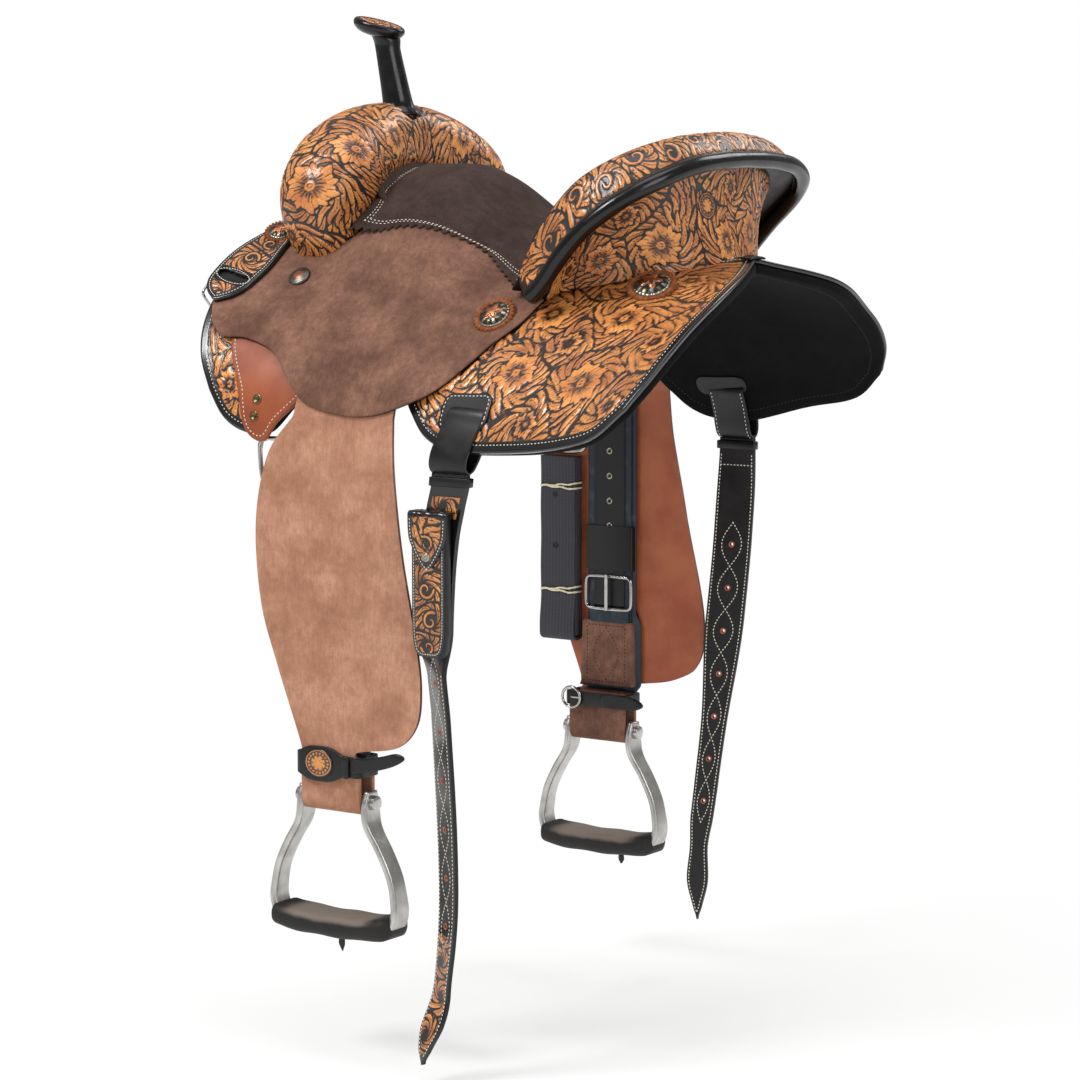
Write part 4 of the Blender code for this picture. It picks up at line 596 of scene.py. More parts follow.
# ---------------------------------------------------------------- materials
def linear(code):
    """An sRGB hex colour as linear values."""
    parts = np.array([int(code[k:k + 2], 16) for k in (1, 3, 5)]) / 255
    return (*np.where(parts <= 0.04045, parts / 12.92, ((parts + 0.055) / 1.055) ** 2.4), 1.0)


def node(tree, kind, values=None, **settings):
    """Adds one node with its settings, and fills its inputs with numbers, colours or other outputs."""
    made = tree.nodes.new(kind)
    for key, value in settings.items():
        setattr(made, key, value)
    for key, value in (values or {}).items():
        if isinstance(value, bpy.types.NodeSocket):
            tree.links.new(value, made.inputs[key])
        else:
            made.inputs[key].default_value = value
    return made


def material(name, **sockets):
    """A Principled material and its tree; each socket that is even all over is set here."""
    made = bpy.data.materials.new(name)
    made.use_nodes = True
    tree = made.node_tree
    shader = tree.nodes["Principled BSDF"]
    for key, value in sockets.items():
        shader.inputs[key.replace("_", " ").title().replace("Ior", "IOR")].default_value = value
    return made, tree, shader


def place_of(tree):
    """The place on the object, in metres."""
    return node(tree, "ShaderNodeTexCoord").outputs["Object"]


def noise(tree, where, size_mm, detail=3.0, rough=0.55):
    """Fractal noise whose blotches are about size_mm across, from 0 to 1."""
    made = node(tree, "ShaderNodeTexNoise", {"Vector": where, "Scale": 1000.0 / size_mm, "Detail": detail,
                                             "Roughness": rough})
    return made.outputs["Fac"]


def pores_of(tree, where, size_mm):
    """Cells about size_mm across, as the distance to each cell's middle."""
    cells = node(tree, "ShaderNodeTexVoronoi", {"Vector": where, "Scale": 1000 / size_mm}, feature="F1")
    return cells.outputs["Distance"]


def spread(tree, value, low, high, out_low=0.0, out_high=1.0):
    """A smooth step from out_low to out_high as the value goes from low to high."""
    return node(tree, "ShaderNodeMapRange", {"Value": value, "From Min": low, "From Max": high, "To Min": out_low,
                                             "To Max": out_high}, interpolation_type="SMOOTHSTEP").outputs["Result"]


def mixed(tree, share, first, second):
    """One colour turning into another; either may be a hex code or an output."""
    first = linear(first) if isinstance(first, str) else first
    second = linear(second) if isinstance(second, str) else second
    return node(tree, "ShaderNodeMix", {0: share, 6: first, 7: second}, data_type="RGBA").outputs[2]


def mixed_value(tree, share, first, second):
    """One number turning into another."""
    return node(tree, "ShaderNodeMix", {0: share, 2: first, 3: second}, data_type="FLOAT").outputs[0]


def calc(tree, kind, a, b=0.0):
    """The sum, product or difference of two values."""
    return node(tree, "ShaderNodeMath", {0: a, 1: b}, operation=kind).outputs[0]


def bumped(tree, shader, height, depth_mm, strength=1.0):
    """Presses a height pattern into the surface."""
    made = node(tree, "ShaderNodeBump", {"Height": height, "Distance": depth_mm / 1000, "Strength": strength})
    tree.links.new(made.outputs["Normal"], shader.inputs["Normal"])


def carved_leather():
    """Vegetable-tanned skirting leather: carved, the ground dyed black, antique paste left in the cuts.

    cut is mm inside a carved shape, vein mm to an inner line, tone its shade, rim mm from the edge.
    """
    made, tree, shader = material("carved_skirting_leather", roughness=0.42, coat_weight=0.55, coat_roughness=0.16,
                                  ior=1.5)
    where = place_of(tree)
    field = {k: node(tree, "ShaderNodeAttribute", attribute_name=k).outputs["Fac"] for k in
             ("cut", "vein", "tone", "rim")}
    body = spread(tree, field["cut"], 0.05, 0.70)
    line = spread(tree, field["vein"], 0.18, 0.80)
    ink = calc(tree, "MULTIPLY", body, line)
    cloud = spread(tree, noise(tree, where, 26.0), 0.30, 0.70)
    fibre = noise(tree, where, 1.6, 4.0)
    hide = mixed(tree, cloud, "#ec9b4b", "#bd6a2c")
    hide = mixed(tree, field["tone"], "#75340f", hide)
    # fine pale flecks on the tan: partly the hide's own fibre, partly a painted highlight
    hide = mixed(tree, spread(tree, fibre, 0.35, 0.75, 0.0, 0.30), hide, "#f3b673")
    grain = pores_of(tree, where, 1.5)
    ground = mixed(tree, spread(tree, grain, 0.15, 0.65), "#080606", "#22150e")
    colour = mixed(tree, ink, mixed(tree, body, ground, "#241208"), hide)
    edge = spread(tree, field["rim"], 9.6, 10.4)
    colour = mixed(tree, edge, "#0d0c0d", colour)
    tree.links.new(colour, shader.inputs["Base Color"])
    rough = calc(tree, "ADD", spread(tree, fibre, 0.2, 0.8, 0.30, 0.46), spread(tree, body, 0.0, 1.0, 0.20, 0.0))
    tree.links.new(mixed_value(tree, edge, 0.26, rough), shader.inputs["Roughness"])
    height = calc(tree, "ADD", calc(tree, "MULTIPLY", ink, 0.8),
                  calc(tree, "MULTIPLY", calc(tree, "SUBTRACT", 1.0, body), calc(tree, "MULTIPLY", grain, 0.7)))
    height = calc(tree, "ADD", height, calc(tree, "MULTIPLY", fibre, 0.12))
    bumped(tree, shader, calc(tree, "MULTIPLY", height, edge), 0.70, 0.9)
    return made


def black_leather(name="black_bridle_leather", base="#080708", worn="#141112", rough=0.36):
    """Drum-dyed bridle leather, waxed: nearly black, fine pores, a soft gloss broken by rubbing."""
    made, tree, shader = material(name, ior=1.45, coat_weight=0.10, coat_roughness=0.20)
    where = place_of(tree)
    cloud = noise(tree, where, 18.0)
    pores = pores_of(tree, where, 0.9)
    tree.links.new(mixed(tree, spread(tree, cloud, 0.45, 0.75), base, worn), shader.inputs["Base Color"])
    tree.links.new(spread(tree, cloud, 0.25, 0.75, rough, rough + 0.16), shader.inputs["Roughness"])
    height = calc(tree, "ADD", calc(tree, "MULTIPLY", pores, 0.5), noise(tree, where, 4.0))
    bumped(tree, shader, height, 0.10, 0.7)
    return made


def roughout(name, pale, mid, dark, blotch=55.0, nap=1.1):
    """Leather worn flesh side out: a brushed nap that scatters light, with handling marks and darker blotches."""
    made, tree, shader = material(name, roughness=0.92, sheen_weight=0.35, sheen_roughness=0.55,
                                  sheen_tint=linear(pale), specular_ior_level=0.15)
    where = place_of(tree)
    broad = spread(tree, noise(tree, where, blotch, 4.0, 0.62), 0.30, 0.72)
    small = spread(tree, noise(tree, where, 9.0, 4.0, 0.65), 0.25, 0.80)
    fine = noise(tree, where, nap, 5.0, 0.75)
    streak = node(tree, "ShaderNodeMapping", {"Vector": where, "Scale": (1.0, 1.0, 0.22)}).outputs["Vector"]
    brushed = spread(tree, noise(tree, streak, 3.2, 3.0, 0.7), 0.30, 0.75)
    colour = mixed(tree, broad, pale, mid)
    colour = mixed(tree, calc(tree, "MULTIPLY", small, 0.45), colour, dark)
    colour = mixed(tree, calc(tree, "MULTIPLY", brushed, 0.30), colour, dark)
    colour = mixed(tree, spread(tree, fine, 0.42, 0.72, 0.0, 0.42), colour, dark)
    colour = mixed(tree, spread(tree, fine, 0.25, 0.42, 0.30, 0.0), colour, pale)
    tree.links.new(colour, shader.inputs["Base Color"])
    bumped(tree, shader, calc(tree, "ADD", fine, calc(tree, "MULTIPLY", small, 0.5)), 0.35, 0.55)
    return made


def worn_leather():
    """Black wrapping leather scuffed to brown grey where a boot rests; worn is the share of that."""
    made, tree, shader = material("black_tread_leather", roughness=0.62, ior=1.5)
    where = place_of(tree)
    worn = node(tree, "ShaderNodeAttribute", attribute_name="worn").outputs["Fac"]
    cloud = noise(tree, where, 16.0, 5.0)
    share = spread(tree, calc(tree, "ADD", worn, calc(tree, "MULTIPLY", cloud, 0.7)), 0.50, 1.45)
    fibre = noise(tree, where, 1.2, 3.0)
    colour = mixed(tree, share, mixed(tree, fibre, "#0d0b0b", "#1c1815"), mixed(tree, cloud, "#8d8074", "#64584e"))
    tree.links.new(colour, shader.inputs["Base Color"])
    bumped(tree, shader, calc(tree, "ADD", fibre, cloud), 0.35)
    return made


def smooth_russet(name="russet_latigo_leather", first="#b2613b", second="#94492a"):
    """Oiled russet leather, grain side: even red-brown with a fine grain, a few scratches and a dull shine."""
    made, tree, shader = material(name, ior=1.48, coat_weight=0.08, coat_roughness=0.35)
    where = place_of(tree)
    cloud = spread(tree, noise(tree, where, 60.0, 5.0, 0.6), 0.28, 0.74)
    spots = spread(tree, noise(tree, where, 5.0, 3.0), 0.66, 0.78)
    pores = pores_of(tree, where, 1.1)
    colour = mixed(tree, cloud, first, second)
    colour = mixed(tree, calc(tree, "MULTIPLY", spots, 0.35), colour, "#74391f")
    tree.links.new(colour, shader.inputs["Base Color"])
    tree.links.new(spread(tree, cloud, 0.0, 1.0, 0.44, 0.58), shader.inputs["Roughness"])
    bumped(tree, shader, calc(tree, "ADD", pores, noise(tree, where, 3.0)), 0.08, 0.6)
    return made


def plain_metal(name, colour, low, high, brush_mm=0.6, stretch=(1.0, 1.0, 12.0)):
    """Metal with fine marks that run along one direction, so highlights stretch across them."""
    made, tree, shader = material(name, metallic=1.0)
    where = node(tree, "ShaderNodeMapping", {"Vector": place_of(tree), "Scale": stretch}).outputs["Vector"]
    marks = noise(tree, where, brush_mm * 12, 5.0, 0.7)
    cloud = noise(tree, place_of(tree), 20.0)
    dull = spread(tree, cloud, 0.3, 0.7, 0.0, 0.35)
    tree.links.new(mixed(tree, dull, colour, "#6f6e6a"), shader.inputs["Base Color"])
    tree.links.new(spread(tree, marks, 0.3, 0.7, low, high), shader.inputs["Roughness"])
    bumped(tree, shader, marks, 0.02, 0.5)
    return made


def yarn(name, colour, shade):
    """Waxed thread: two plies twisted, seen as slanting light and dark."""
    made, tree, shader = material(name, roughness=0.62)
    where = place_of(tree)
    tree.links.new(mixed(tree, noise(tree, where, 1.2, 3.0), shade, colour), shader.inputs["Base Color"])
    bumped(tree, shader, noise(tree, where, 0.5, 2.0), 0.08, 0.5)
    return made


def webbing():
    """Flat nylon webbing: a herringbone of ribs 1.4 mm apart, with a dull plastic shine."""
    made, tree, shader = material("black_nylon_webbing", roughness=0.66)
    where = place_of(tree)
    ribs = node(tree, "ShaderNodeTexWave", {"Vector": where, "Scale": 155.0, "Distortion": 1.2,
                                            "Detail": 1.0}, bands_direction="Z").outputs["Fac"]
    cross = node(tree, "ShaderNodeTexWave", {"Vector": where, "Scale": 70.0, "Distortion": 0.6},
                 bands_direction="Y").outputs["Fac"]
    weave = calc(tree, "ADD", calc(tree, "MULTIPLY", ribs, 0.6), calc(tree, "MULTIPLY", cross, 0.4))
    tree.links.new(mixed(tree, weave, "#212026", "#403e47"), shader.inputs["Base Color"])
    bumped(tree, shader, weave, 0.35, 0.8)
    return made


def wood():
    """Pine tree board under rawhide: pale yellow-brown with long grain."""
    made, tree, shader = material("pine_tree_board", roughness=0.55)
    grain = {"Vector": place_of(tree), "Scale": (1.0, 0.12, 1.0)}
    where = node(tree, "ShaderNodeMapping", grain).outputs["Vector"]
    tree.links.new(mixed(tree, noise(tree, where, 5.0, 5.0), "#b58b55", "#8c6236"), shader.inputs["Base Color"])
    bumped(tree, shader, noise(tree, where, 2.0), 0.1, 0.5)
    return made


CARVED = carved_leather()
BLACK = black_leather()
SHINY = black_leather("glossy_black_binding", "#080708", "#100e0f", 0.13)
JOCKEY = roughout("jockey_roughout", "#9a705d", "#6b4b3e", "#3a2822", 60.0)
FENDER = roughout("fender_roughout", "#cf9d82", "#aa7860", "#80563f", 50.0, 0.9)
SUEDE = roughout("chocolate_seat_suede", "#4d3d37", "#392b28", "#251c1a", 40.0, 0.8)
LINER = roughout("black_suede_lining", "#131213", "#0b0a0b", "#050505", 30.0, 1.4)
RUSSET = smooth_russet()
RIG_RUSSET = smooth_russet("oiled_rigging_leather", "#9d4b1f", "#823a16")
STEEL = plain_metal("stainless_steel_rod", "#c9c7c2", 0.16, 0.28)
SATIN = plain_metal("satin_cast_aluminium", "#cfcdc9", 0.30, 0.42, 0.5, (1.0, 1.0, 8.0))
SILVER = plain_metal("antiqued_nickel", "#b9b4a6", 0.22, 0.38)
COPPER = plain_metal("copper_overlay", "#c8805c", 0.25, 0.40)
PEWTER = plain_metal("dark_pewter", "#6f6a62", 0.28, 0.42)
BRASS = plain_metal("brass_rivet", "#7d6a3c", 0.25, 0.40)
THREAD = yarn("waxed_white_thread", "#f1ece0", "#cfc6b4")
DARK_THREAD = yarn("waxed_black_thread", "#1d1b1b", "#0b0a0a")
STRING = yarn("cotton_string", "#efe6cd", "#cdbf9b")
BLUE_EDGE = black_leather("blue_black_strap_leather", "#1c2733", "#35434f", 0.55)
TREAD = worn_leather()
WEBBING = webbing()
PINE = wood()
LACE = roughout("rosette_latigo", "#a8673f", "#7d4627", "#4d2813", 6.0, 0.9)


# ---------------------------------------------------------------- carving
class Carving:
    """A flat pattern in mm, drawn shape by shape; a later shape lies over an earlier one.

    cut is the distance inside the nearest shape (negative on the ground), vein the distance to its
    nearest inner line, tone its shade and high its height. room gives mm to the pattern's border.
    """
    STEP = 0.7
    MOAT = 1.1

    def __init__(self, low, high, room, seed):
        """An empty pattern between two corners; room takes places and gives mm to the border."""
        self.a = np.arange(low[0], high[0] + self.STEP, self.STEP)
        self.b = np.arange(low[1], high[1] + self.STEP, self.STEP)
        shape = (len(self.a), len(self.b))
        self.cut = np.full(shape, -30.0)
        self.vein = np.full(shape, 30.0)
        self.tone = np.full(shape, 0.5)
        self.high = np.zeros(shape)
        self.dice = np.random.default_rng(seed)
        self.room = room(*np.meshgrid(self.a, self.b, indexing="ij"))

    def window(self, low, high):
        """The part of the pattern between two corners."""
        i = np.clip(np.searchsorted(self.a, (low[0], high[0])), 0, len(self.a))
        j = np.clip(np.searchsorted(self.b, (low[1], high[1])), 0, len(self.b))
        return slice(*i), slice(*j)

    def stamp(self, win, d, vein, tone, high):
        """Lays a shape on the pattern, with a moat round it, its inner lines, shade and height."""
        old = self.cut[win]
        hit = d > 0
        self.cut[win] = np.where(hit, d, np.where(old > -self.MOAT, np.minimum(old, -d - self.MOAT),
                                                  np.maximum(old, d)))
        self.vein[win] = np.where(hit, vein, self.vein[win])
        self.tone[win] = np.where(hit, tone, self.tone[win])
        self.high[win] = np.where(hit, high, self.high[win])

    def ribbon(self, line, half):
        """A stem: a band of changing half width along a line."""
        reach = half.max() + 2.0
        win = self.window(line.min(0) - reach, line.max(0) + reach)
        pa = self.a[win[0]][:, None, None]
        pb = self.b[win[1]][None, :, None]
        if not pa.size or not pb.size:
            return
        step = np.diff(line, axis=0)
        long = (step ** 2).sum(1) + 1e-9
        t = np.clip(((pa - line[:-1, 0]) * step[:, 0] + (pb - line[:-1, 1]) * step[:, 1]) / long, 0, 1)
        da = pa - line[:-1, 0] - t * step[:, 0]
        db = pb - line[:-1, 1] - t * step[:, 1]
        away = np.hypot(da, db)
        best = away.argmin(-1)[..., None]
        away, t, turn = (np.take_along_axis(x, best, -1)[..., 0]
                         for x in (away, t, step[:, 0] * db - step[:, 1] * da))
        wide = np.interp((t + best[..., 0]) / len(step), np.linspace(0, 1, len(half)), half)
        side = np.sign(turn)
        d = np.minimum(wide - away, self.room[win])
        share = away / np.maximum(wide, 0.3)
        vein = np.where(wide > 1.7, np.abs(away - wide * 0.45) + 9 * (side < 0), 9.0)
        self.stamp(win, d, vein, 0.72 + 0.28 * side, 0.25 + 0.50 * np.sqrt(np.clip(1 - share ** 2, 0, 1)))

    def flower(self, a, b, radius, turn):
        """A wild rose: ruffled petals pinched at the root, deep strokes from the middle, a seeded centre."""
        petals = 5
        reach = radius + 2.5
        win = self.window((a - reach, b - reach), (a + reach, b + reach))
        da = self.a[win[0]][:, None] - a
        db = self.b[win[1]][None, :] - b
        r = np.hypot(da, db)
        angle = np.arctan2(db, da) - turn + 0.16 * np.sin(r / radius * 3.0)
        lobe = np.abs(np.cos(petals * angle / 2))
        edge = radius * (0.26 + 0.66 * lobe ** 0.60 + 0.075 * np.cos(3 * petals * angle) * lobe)
        d = np.minimum((edge - r) * 0.72, self.room[win])
        span = 2 * math.pi / petals
        local = (angle + span / 2) % span - span / 2
        part = np.abs(np.abs(local) - span / 2) * r
        part = np.where(r > radius * 0.22, part * 0.55, 9.0)
        tips = np.abs(np.abs(local) - span / 6) * r
        tips = np.where((r > radius * 0.52) & (r < radius * 0.88), tips * 0.8, 9.0)
        roots = np.minimum(np.abs(np.abs(local) - span / 4.6) * r, np.abs(local) * r)
        roots = np.where((r > radius * 0.24) & (r < radius * (0.62 - 0.5 * np.abs(local))), roots * 0.62, 9.0)
        core = radius * 0.15
        rings = np.minimum(np.abs(r - core * 1.35), np.abs(r - core * 0.5)) * 0.8
        vein = np.minimum(np.minimum(part, tips), np.minimum(roots, rings))
        tone = 0.10 + 0.90 * ease(r / radius, 0.20, 0.62) * (0.45 + 0.55 * ease(lobe, 0.2, 0.8))
        tone = np.where(r < core * 1.2, 0.9, tone)
        high = 0.35 + 0.65 * np.sin(np.clip(r / radius, 0, 1) * math.pi) * lobe + 0.55 * (r < core)
        self.stamp(win, d, vein, tone, high)

    def curl(self, a, b, first, last, start, sweep, wide=2.9):
        """A spiral stem round a place, from a first radius to a last one."""
        t = np.linspace(0, 1, 34)
        turn = start + sweep * t
        radius = first + (last - first) * t ** 0.8
        line = np.stack([a + radius * np.cos(turn), b + radius * np.sin(turn)], -1)
        self.ribbon(line, np.linspace(wide, wide * 0.45, 8))

    def swirls(self, centres, span=19.0, pitch=8.0, rings=4):
        """Long pointed fingers that swirl out of every centre, ring under ring, up to where two centres meet.

        A place belongs to the centre whose rim is nearest. Round it, the angle plus a turn that grows with
        the log of the distance counts the fingers; along a finger the half width is a sine of its run.
        """
        a, b = np.meshgrid(self.a, self.b, indexing="ij")
        w = self.dice.uniform(0, 6.3, 4)
        a = a + 2.4 * np.sin(b / 12 + w[0]) + 1.3 * np.sin(b / 6.1 + a / 9 + w[1])
        b = b + 2.4 * np.sin(a / 11 + w[2]) + 1.3 * np.sin(a / 5.7 - b / 8 + w[3])
        places = np.array(centres, float)
        gaps = np.array([np.hypot(a - p[0], b - p[1]) - p[2] for p in places] + [np.full(a.shape, 900.0)])
        owner = gaps.argmin(0)
        near, next_one = np.partition(gaps, 1, 0)[:2]
        middle = places[owner]
        r = near + middle[..., 2]
        angle = np.arctan2(b - middle[..., 1], a - middle[..., 0])
        hand = 1 - 2 * (owner % 2)
        limit = np.minimum((next_one - near) / 2 - 0.8, self.room)
        for m in range(rings - 1, -1, -1):
            start = middle[..., 2] * 0.75 + m * span * 0.72
            count = np.maximum(np.round(4.4 * (start + span * 0.6) / pitch), 5)
            phase = count * (angle + hand * 1.2 * np.log(np.maximum(r, 1))) / (2 * math.pi) + 0.37 * m + 0.21 * owner
            k = np.round(phase)
            chance = np.sin(np.mod(k, count) * 12.99 + owner * 7.23 + m * 3.7) * 43.76 % 1.0
            run = (r - start - (chance - 0.5) * 0.35 * span) / (span * 1.5)
            slot = 4.4 * r / count
            on = (run > 0) & (run < 1)
            half = np.where(on, 0.50 * np.sin(math.pi * np.clip(run, 0, 1) ** 0.62) ** 0.6, -3.0)
            off = phase - k
            away = np.abs(off) * slot
            share = np.abs(off) / np.maximum(half, 0.05)
            side = np.sign(off) * hand
            strokes = np.abs((run * span * 1.5 - 1.2 * away) % 2.8 - 1.4)
            strokes = np.where((side > 0) & (share > 0.35) & (share < 0.85) & (run > 0.15), strokes, 9.0)
            vein = np.minimum(np.where(run < 0.66, np.abs(away - 0.2 * side * (1 - run)), 9.0), strokes * 1.2)
            tone = 0.15 + 0.85 * ease(run, 0.0, 0.5) * (0.72 + 0.28 * side)
            self.stamp((slice(None), slice(None)), np.minimum(half * slot - away - 0.55, limit), vein, tone,
                       0.30 + 0.45 * np.clip(1 - share ** 2, 0, 1))

    def scrolls(self, centres, span, pitch, rings):
        """Swirls with a rolled stem at each centre."""
        self.swirls(centres, span, pitch, rings)
        for k, (a, b, radius) in enumerate(centres):
            hand = 1 if k % 2 else -1
            self.curl(a, b, radius * 1.5, radius * 0.25, 1.1 * k, hand * 7.0, max(1.6, radius * 0.27))

    def draw(self, flowers):
        """Swirls round every flower, a leafy wheel behind it, and the flower on top."""
        self.swirls(flowers)
        for a, b, radius in flowers:
            turn = self.dice.uniform(0, 2 * math.pi)
            self.flower(a, b, radius * 1.08, turn + math.pi / 5)
            self.flower(a, b, radius * 1.20, turn)

    def read(self, a, b):
        """The fields at places on the pattern, and the relief in metres."""
        i = (a - self.a[0]) / self.STEP
        j = (b - self.b[0]) / self.STEP
        out = {key: between(getattr(self, key), i, j) for key in ("cut", "vein", "tone", "high")}
        body = ease(out["cut"], 0.0, 1.2)
        out["relief"] = (body * (0.40 + 0.8 * out.pop("high"))
                         - 0.30 * body * np.exp(-(out["vein"] / 0.6) ** 2)) / 1000
        return out


def border_room(a, b, border, step=4, margin=6.0):
    """Distance to a closed border less a margin, worked out at every step-th place and blended between."""
    coarse = border_distance(np.stack([a[::step, ::step], b[::step, ::step]], -1), border)
    return between(coarse, np.arange(a.shape[0])[:, None] / step, np.arange(a.shape[1])[None, :] / step) - margin


def edge_and_place(grid, border):
    """For a panel in mm: the distance inside its border, and y and s in metres."""
    return np.maximum(border_distance(grid, border), 0), grid[..., 0] / 1000, grid[..., 1] / 1000


def unbanded(carving, a, b):
    """The fields and the relief of a carved face that has no black band."""
    fields = carving.read(a, b)
    relief = fields.pop("relief")
    fields["rim"] = np.full(relief.shape, NO_BAND)
    return fields, relief


def worked_edge(rim, radius=1.7):
    """How far a face drops near its edge, in metres, so that the edge is round."""
    t = np.clip(1 - rim / radius, 0, 1)
    return radius * (1 - np.sqrt(1 - t ** 2)) / 1000


def on_form(form, side, places, d):
    """Points and outward directions on a form at (y, s) places in mm."""
    y, s = places[..., 0] / 1000, places[..., 1] / 1000
    flip = np.array([side, 1, 1])
    point = form(y, s, d) * flip
    out = unit(form(y, s, d + 0.001) * flip - point)
    return point, out


# ---------------------------------------------------------------- skirts, linings, jockeys
def skirt_grid(across, down, side):
    """Places on a skirt: the photo's outline on the near side, a little shorter and shallower on the off one."""
    top = ((-0.262, 0.100), (-0.200, 0.045), (-0.120, 0.030), (0.200, 0.028), (0.252, 0.006), (0.272, 0.0006))
    bottom = ((-0.247, 0.312), (-0.225, 0.333), (-0.198, 0.340), (-0.168, 0.334), (-0.140, 0.300),
              (-0.118, 0.268), (-0.060, 0.262), (-0.008, 0.268), (0.014, 0.290), (0.040, 0.314),
              (0.077, 0.326), (0.144, 0.330), (0.215, 0.333), (0.262, 0.330), (0.294, 0.308))
    front = ((-0.262, 0.100), (-0.280, 0.185), (-0.279, 0.240), (-0.268, 0.280), (-0.247, 0.312))
    rear = ((0.272, 0.0006), (0.300, 0.075), (0.316, 0.150), (0.318, 0.225), (0.310, 0.275), (0.294, 0.308))
    grid = patch(top, bottom, front, rear, across, down)
    if side < 0:
        low = smooth(grid[..., 1], (0.08, 0.22), (0.0, 1.0))
        far = smooth(grid[..., 0], (0.08, 0.30), (0.0, 1.0))
        grid[..., 0] -= OFF_SKIRT_SHORT * low * far
        grid[..., 1] -= OFF_SKIRT_SHALLOW * low * smooth(grid[..., 0], (0.10, 0.20), (0.0, 1.0))
    return grid


SKIRT_FLOWERS = ((134, 168, 22), (226, 179, 22), (131, 247, 23), (221, 266, 24), (44, 249, 20),
                 (252, 92, 16), (178, 108, 18), (-222, 300, 15), (-248, 240, 15), (62, 196, 15),
                 (-240, 180, 15), (178, 212, 14), (285, 222, 14), (82, 292, 13), (168, 305, 13), (270, 300, 13))


def skirts():
    """Both skirts with their edge stitching, and the suede lining under them."""
    for label, side in SIDES:
        grid = skirt_grid(lines(600, 1.95), lines(300, 1.95), side) * 1000
        border = border_of(grid)[::3]
        rim, y, s = edge_and_place(grid, border)
        coarse = border_of(skirt_grid(np.linspace(0, 1, 60), np.linspace(0, 1, 40), side)) * 1000
        carving = Carving((-285, 0), (322, 345), lambda a, b: border_room(a, b, coarse, 6, 10.4),
                          11 if side > 0 else 12)
        carving.draw(SKIRT_FLOWERS)
        fields = carving.read(grid[..., 0], grid[..., 1])
        relief = fields.pop("relief") * ease(rim, 10.2, 11.4) + 0.0007 * (1 - ease(rim, 9.6, 10.4))
        flip = np.array([side, 1, 1])
        over = back_form(y, s, SKIRT_OUT + relief - worked_edge(rim) - 0.0006) * flip
        under = back_form(y, s, SKIRT_IN) * flip
        skirt_sheet(f"{label}_carved_skirt", under, over, dict(fields, rim=rim), f"{label}_skirt")
        seam = inset(border, 7.6)
        stitches(f"{label}_skirt_stitching", [on_form(back_form, side, seam, SKIRT_OUT)], ROOT, THREAD)

        rim, y, s = edge_and_place(skirt_grid(lines(600, 5), lines(300, 5), side) * 1000, border)
        drop = worked_edge(rim, 3.5)
        sheet(f"{label}_lining", back_form(y, s, drop) * flip, back_form(y, s, LINING - drop) * flip,
              [LINER], ROOT, [f"{label}_skirt_lining"])
        points, normals = on_form(back_form, side, inset(border, 13), 0.0)
        stitches(f"{label}_lining_seam", [(points, -normals)], ROOT, DARK_THREAD, width=0.0013)


def skirt_sheet(name, under, over, fields, stands_for):
    """The carved face with its wall, and a short flange under it: the lining hides the rest of the underside."""
    quads = quads_of(over, under)
    o = over.reshape(-1, 3)
    count = len(o)
    index = np.arange(count).reshape(over.shape[:2])
    loop = border_of(index)
    inner = border_of(index[4:-4, 4:-4])
    pick = np.linspace(0, len(inner), len(loop), endpoint=False).astype(int)
    u = under.reshape(-1, 3)
    points = np.concatenate([o, u[loop], u[inner[pick]]])
    n = len(loop)
    a = np.arange(n)
    b = (a + 1) % n
    wall = np.stack([loop[a], loop[b], count + b, count + a], -1)
    flange = np.stack([count + a, count + b, count + n + b, count + n + a], -1)
    edges = np.concatenate([quads[:, [k, (k + 1) % 4]] for k in range(4)])
    have = set(map(tuple, edges[np.isin(edges[:, 0], loop[:2]) & np.isin(edges[:, 1], loop[:2])]))
    if (loop[0], loop[1]) in have:
        wall, flange = wall[:, ::-1], flange[:, ::-1]
    more = {k: np.concatenate([np.ravel(v), np.ravel(v)[loop], np.ravel(v)[loop]]) for k, v in fields.items()}
    return build(name, points, [quads, wall, flange], [CARVED], ROOT, [stands_for], more)


def jockey_grid(across, down):
    """Places on a seat jockey, from the photo's outline."""
    top = ((-0.256, 0.128), (-0.205, 0.126), (-0.150, 0.122), (-0.115, 0.082), (-0.03, 0.074),
           (0.060, 0.090), (0.112, 0.150))
    bottom = ((-0.262, 0.247), (-0.243, 0.258), (-0.216, 0.253), (-0.187, 0.255), (-0.166, 0.263),
              (-0.147, 0.278), (-0.121, 0.296), (-0.098, 0.302), (-0.057, 0.304), (-0.021, 0.300),
              (0.008, 0.291), (0.034, 0.277), (0.056, 0.256), (0.072, 0.235), (0.084, 0.214))
    front = ((-0.256, 0.128), (-0.268, 0.180), (-0.273, 0.220), (-0.262, 0.247))
    rear = ((0.112, 0.150), (0.104, 0.184), (0.084, 0.214))
    return patch(top, bottom, front, rear, across, down)


def jockeys():
    """Both seat jockeys: roughout, with a line pressed in along the edge."""
    for label, side in SIDES:
        grid = jockey_grid(lines(370, 3.5), lines(170, 3.5)) * 1000
        rim, y, s = edge_and_place(grid, border_of(grid))
        flip = np.array([side, 1, 1])
        drop = worked_edge(rim, 1.5)
        fall = 0.0003 * (1 - ease(np.abs(rim - 4.5), 0.4, 1.4))
        sheet(f"{label}_roughout_jockey", seat_form(y, s, 0.0) * flip,
              seat_form(y, s, JOCKEY_LEATHER - drop - fall) * flip, [JOCKEY, BLACK], ROOT,
              [f"{label}_jockey"], zones=(0, 0, 1))


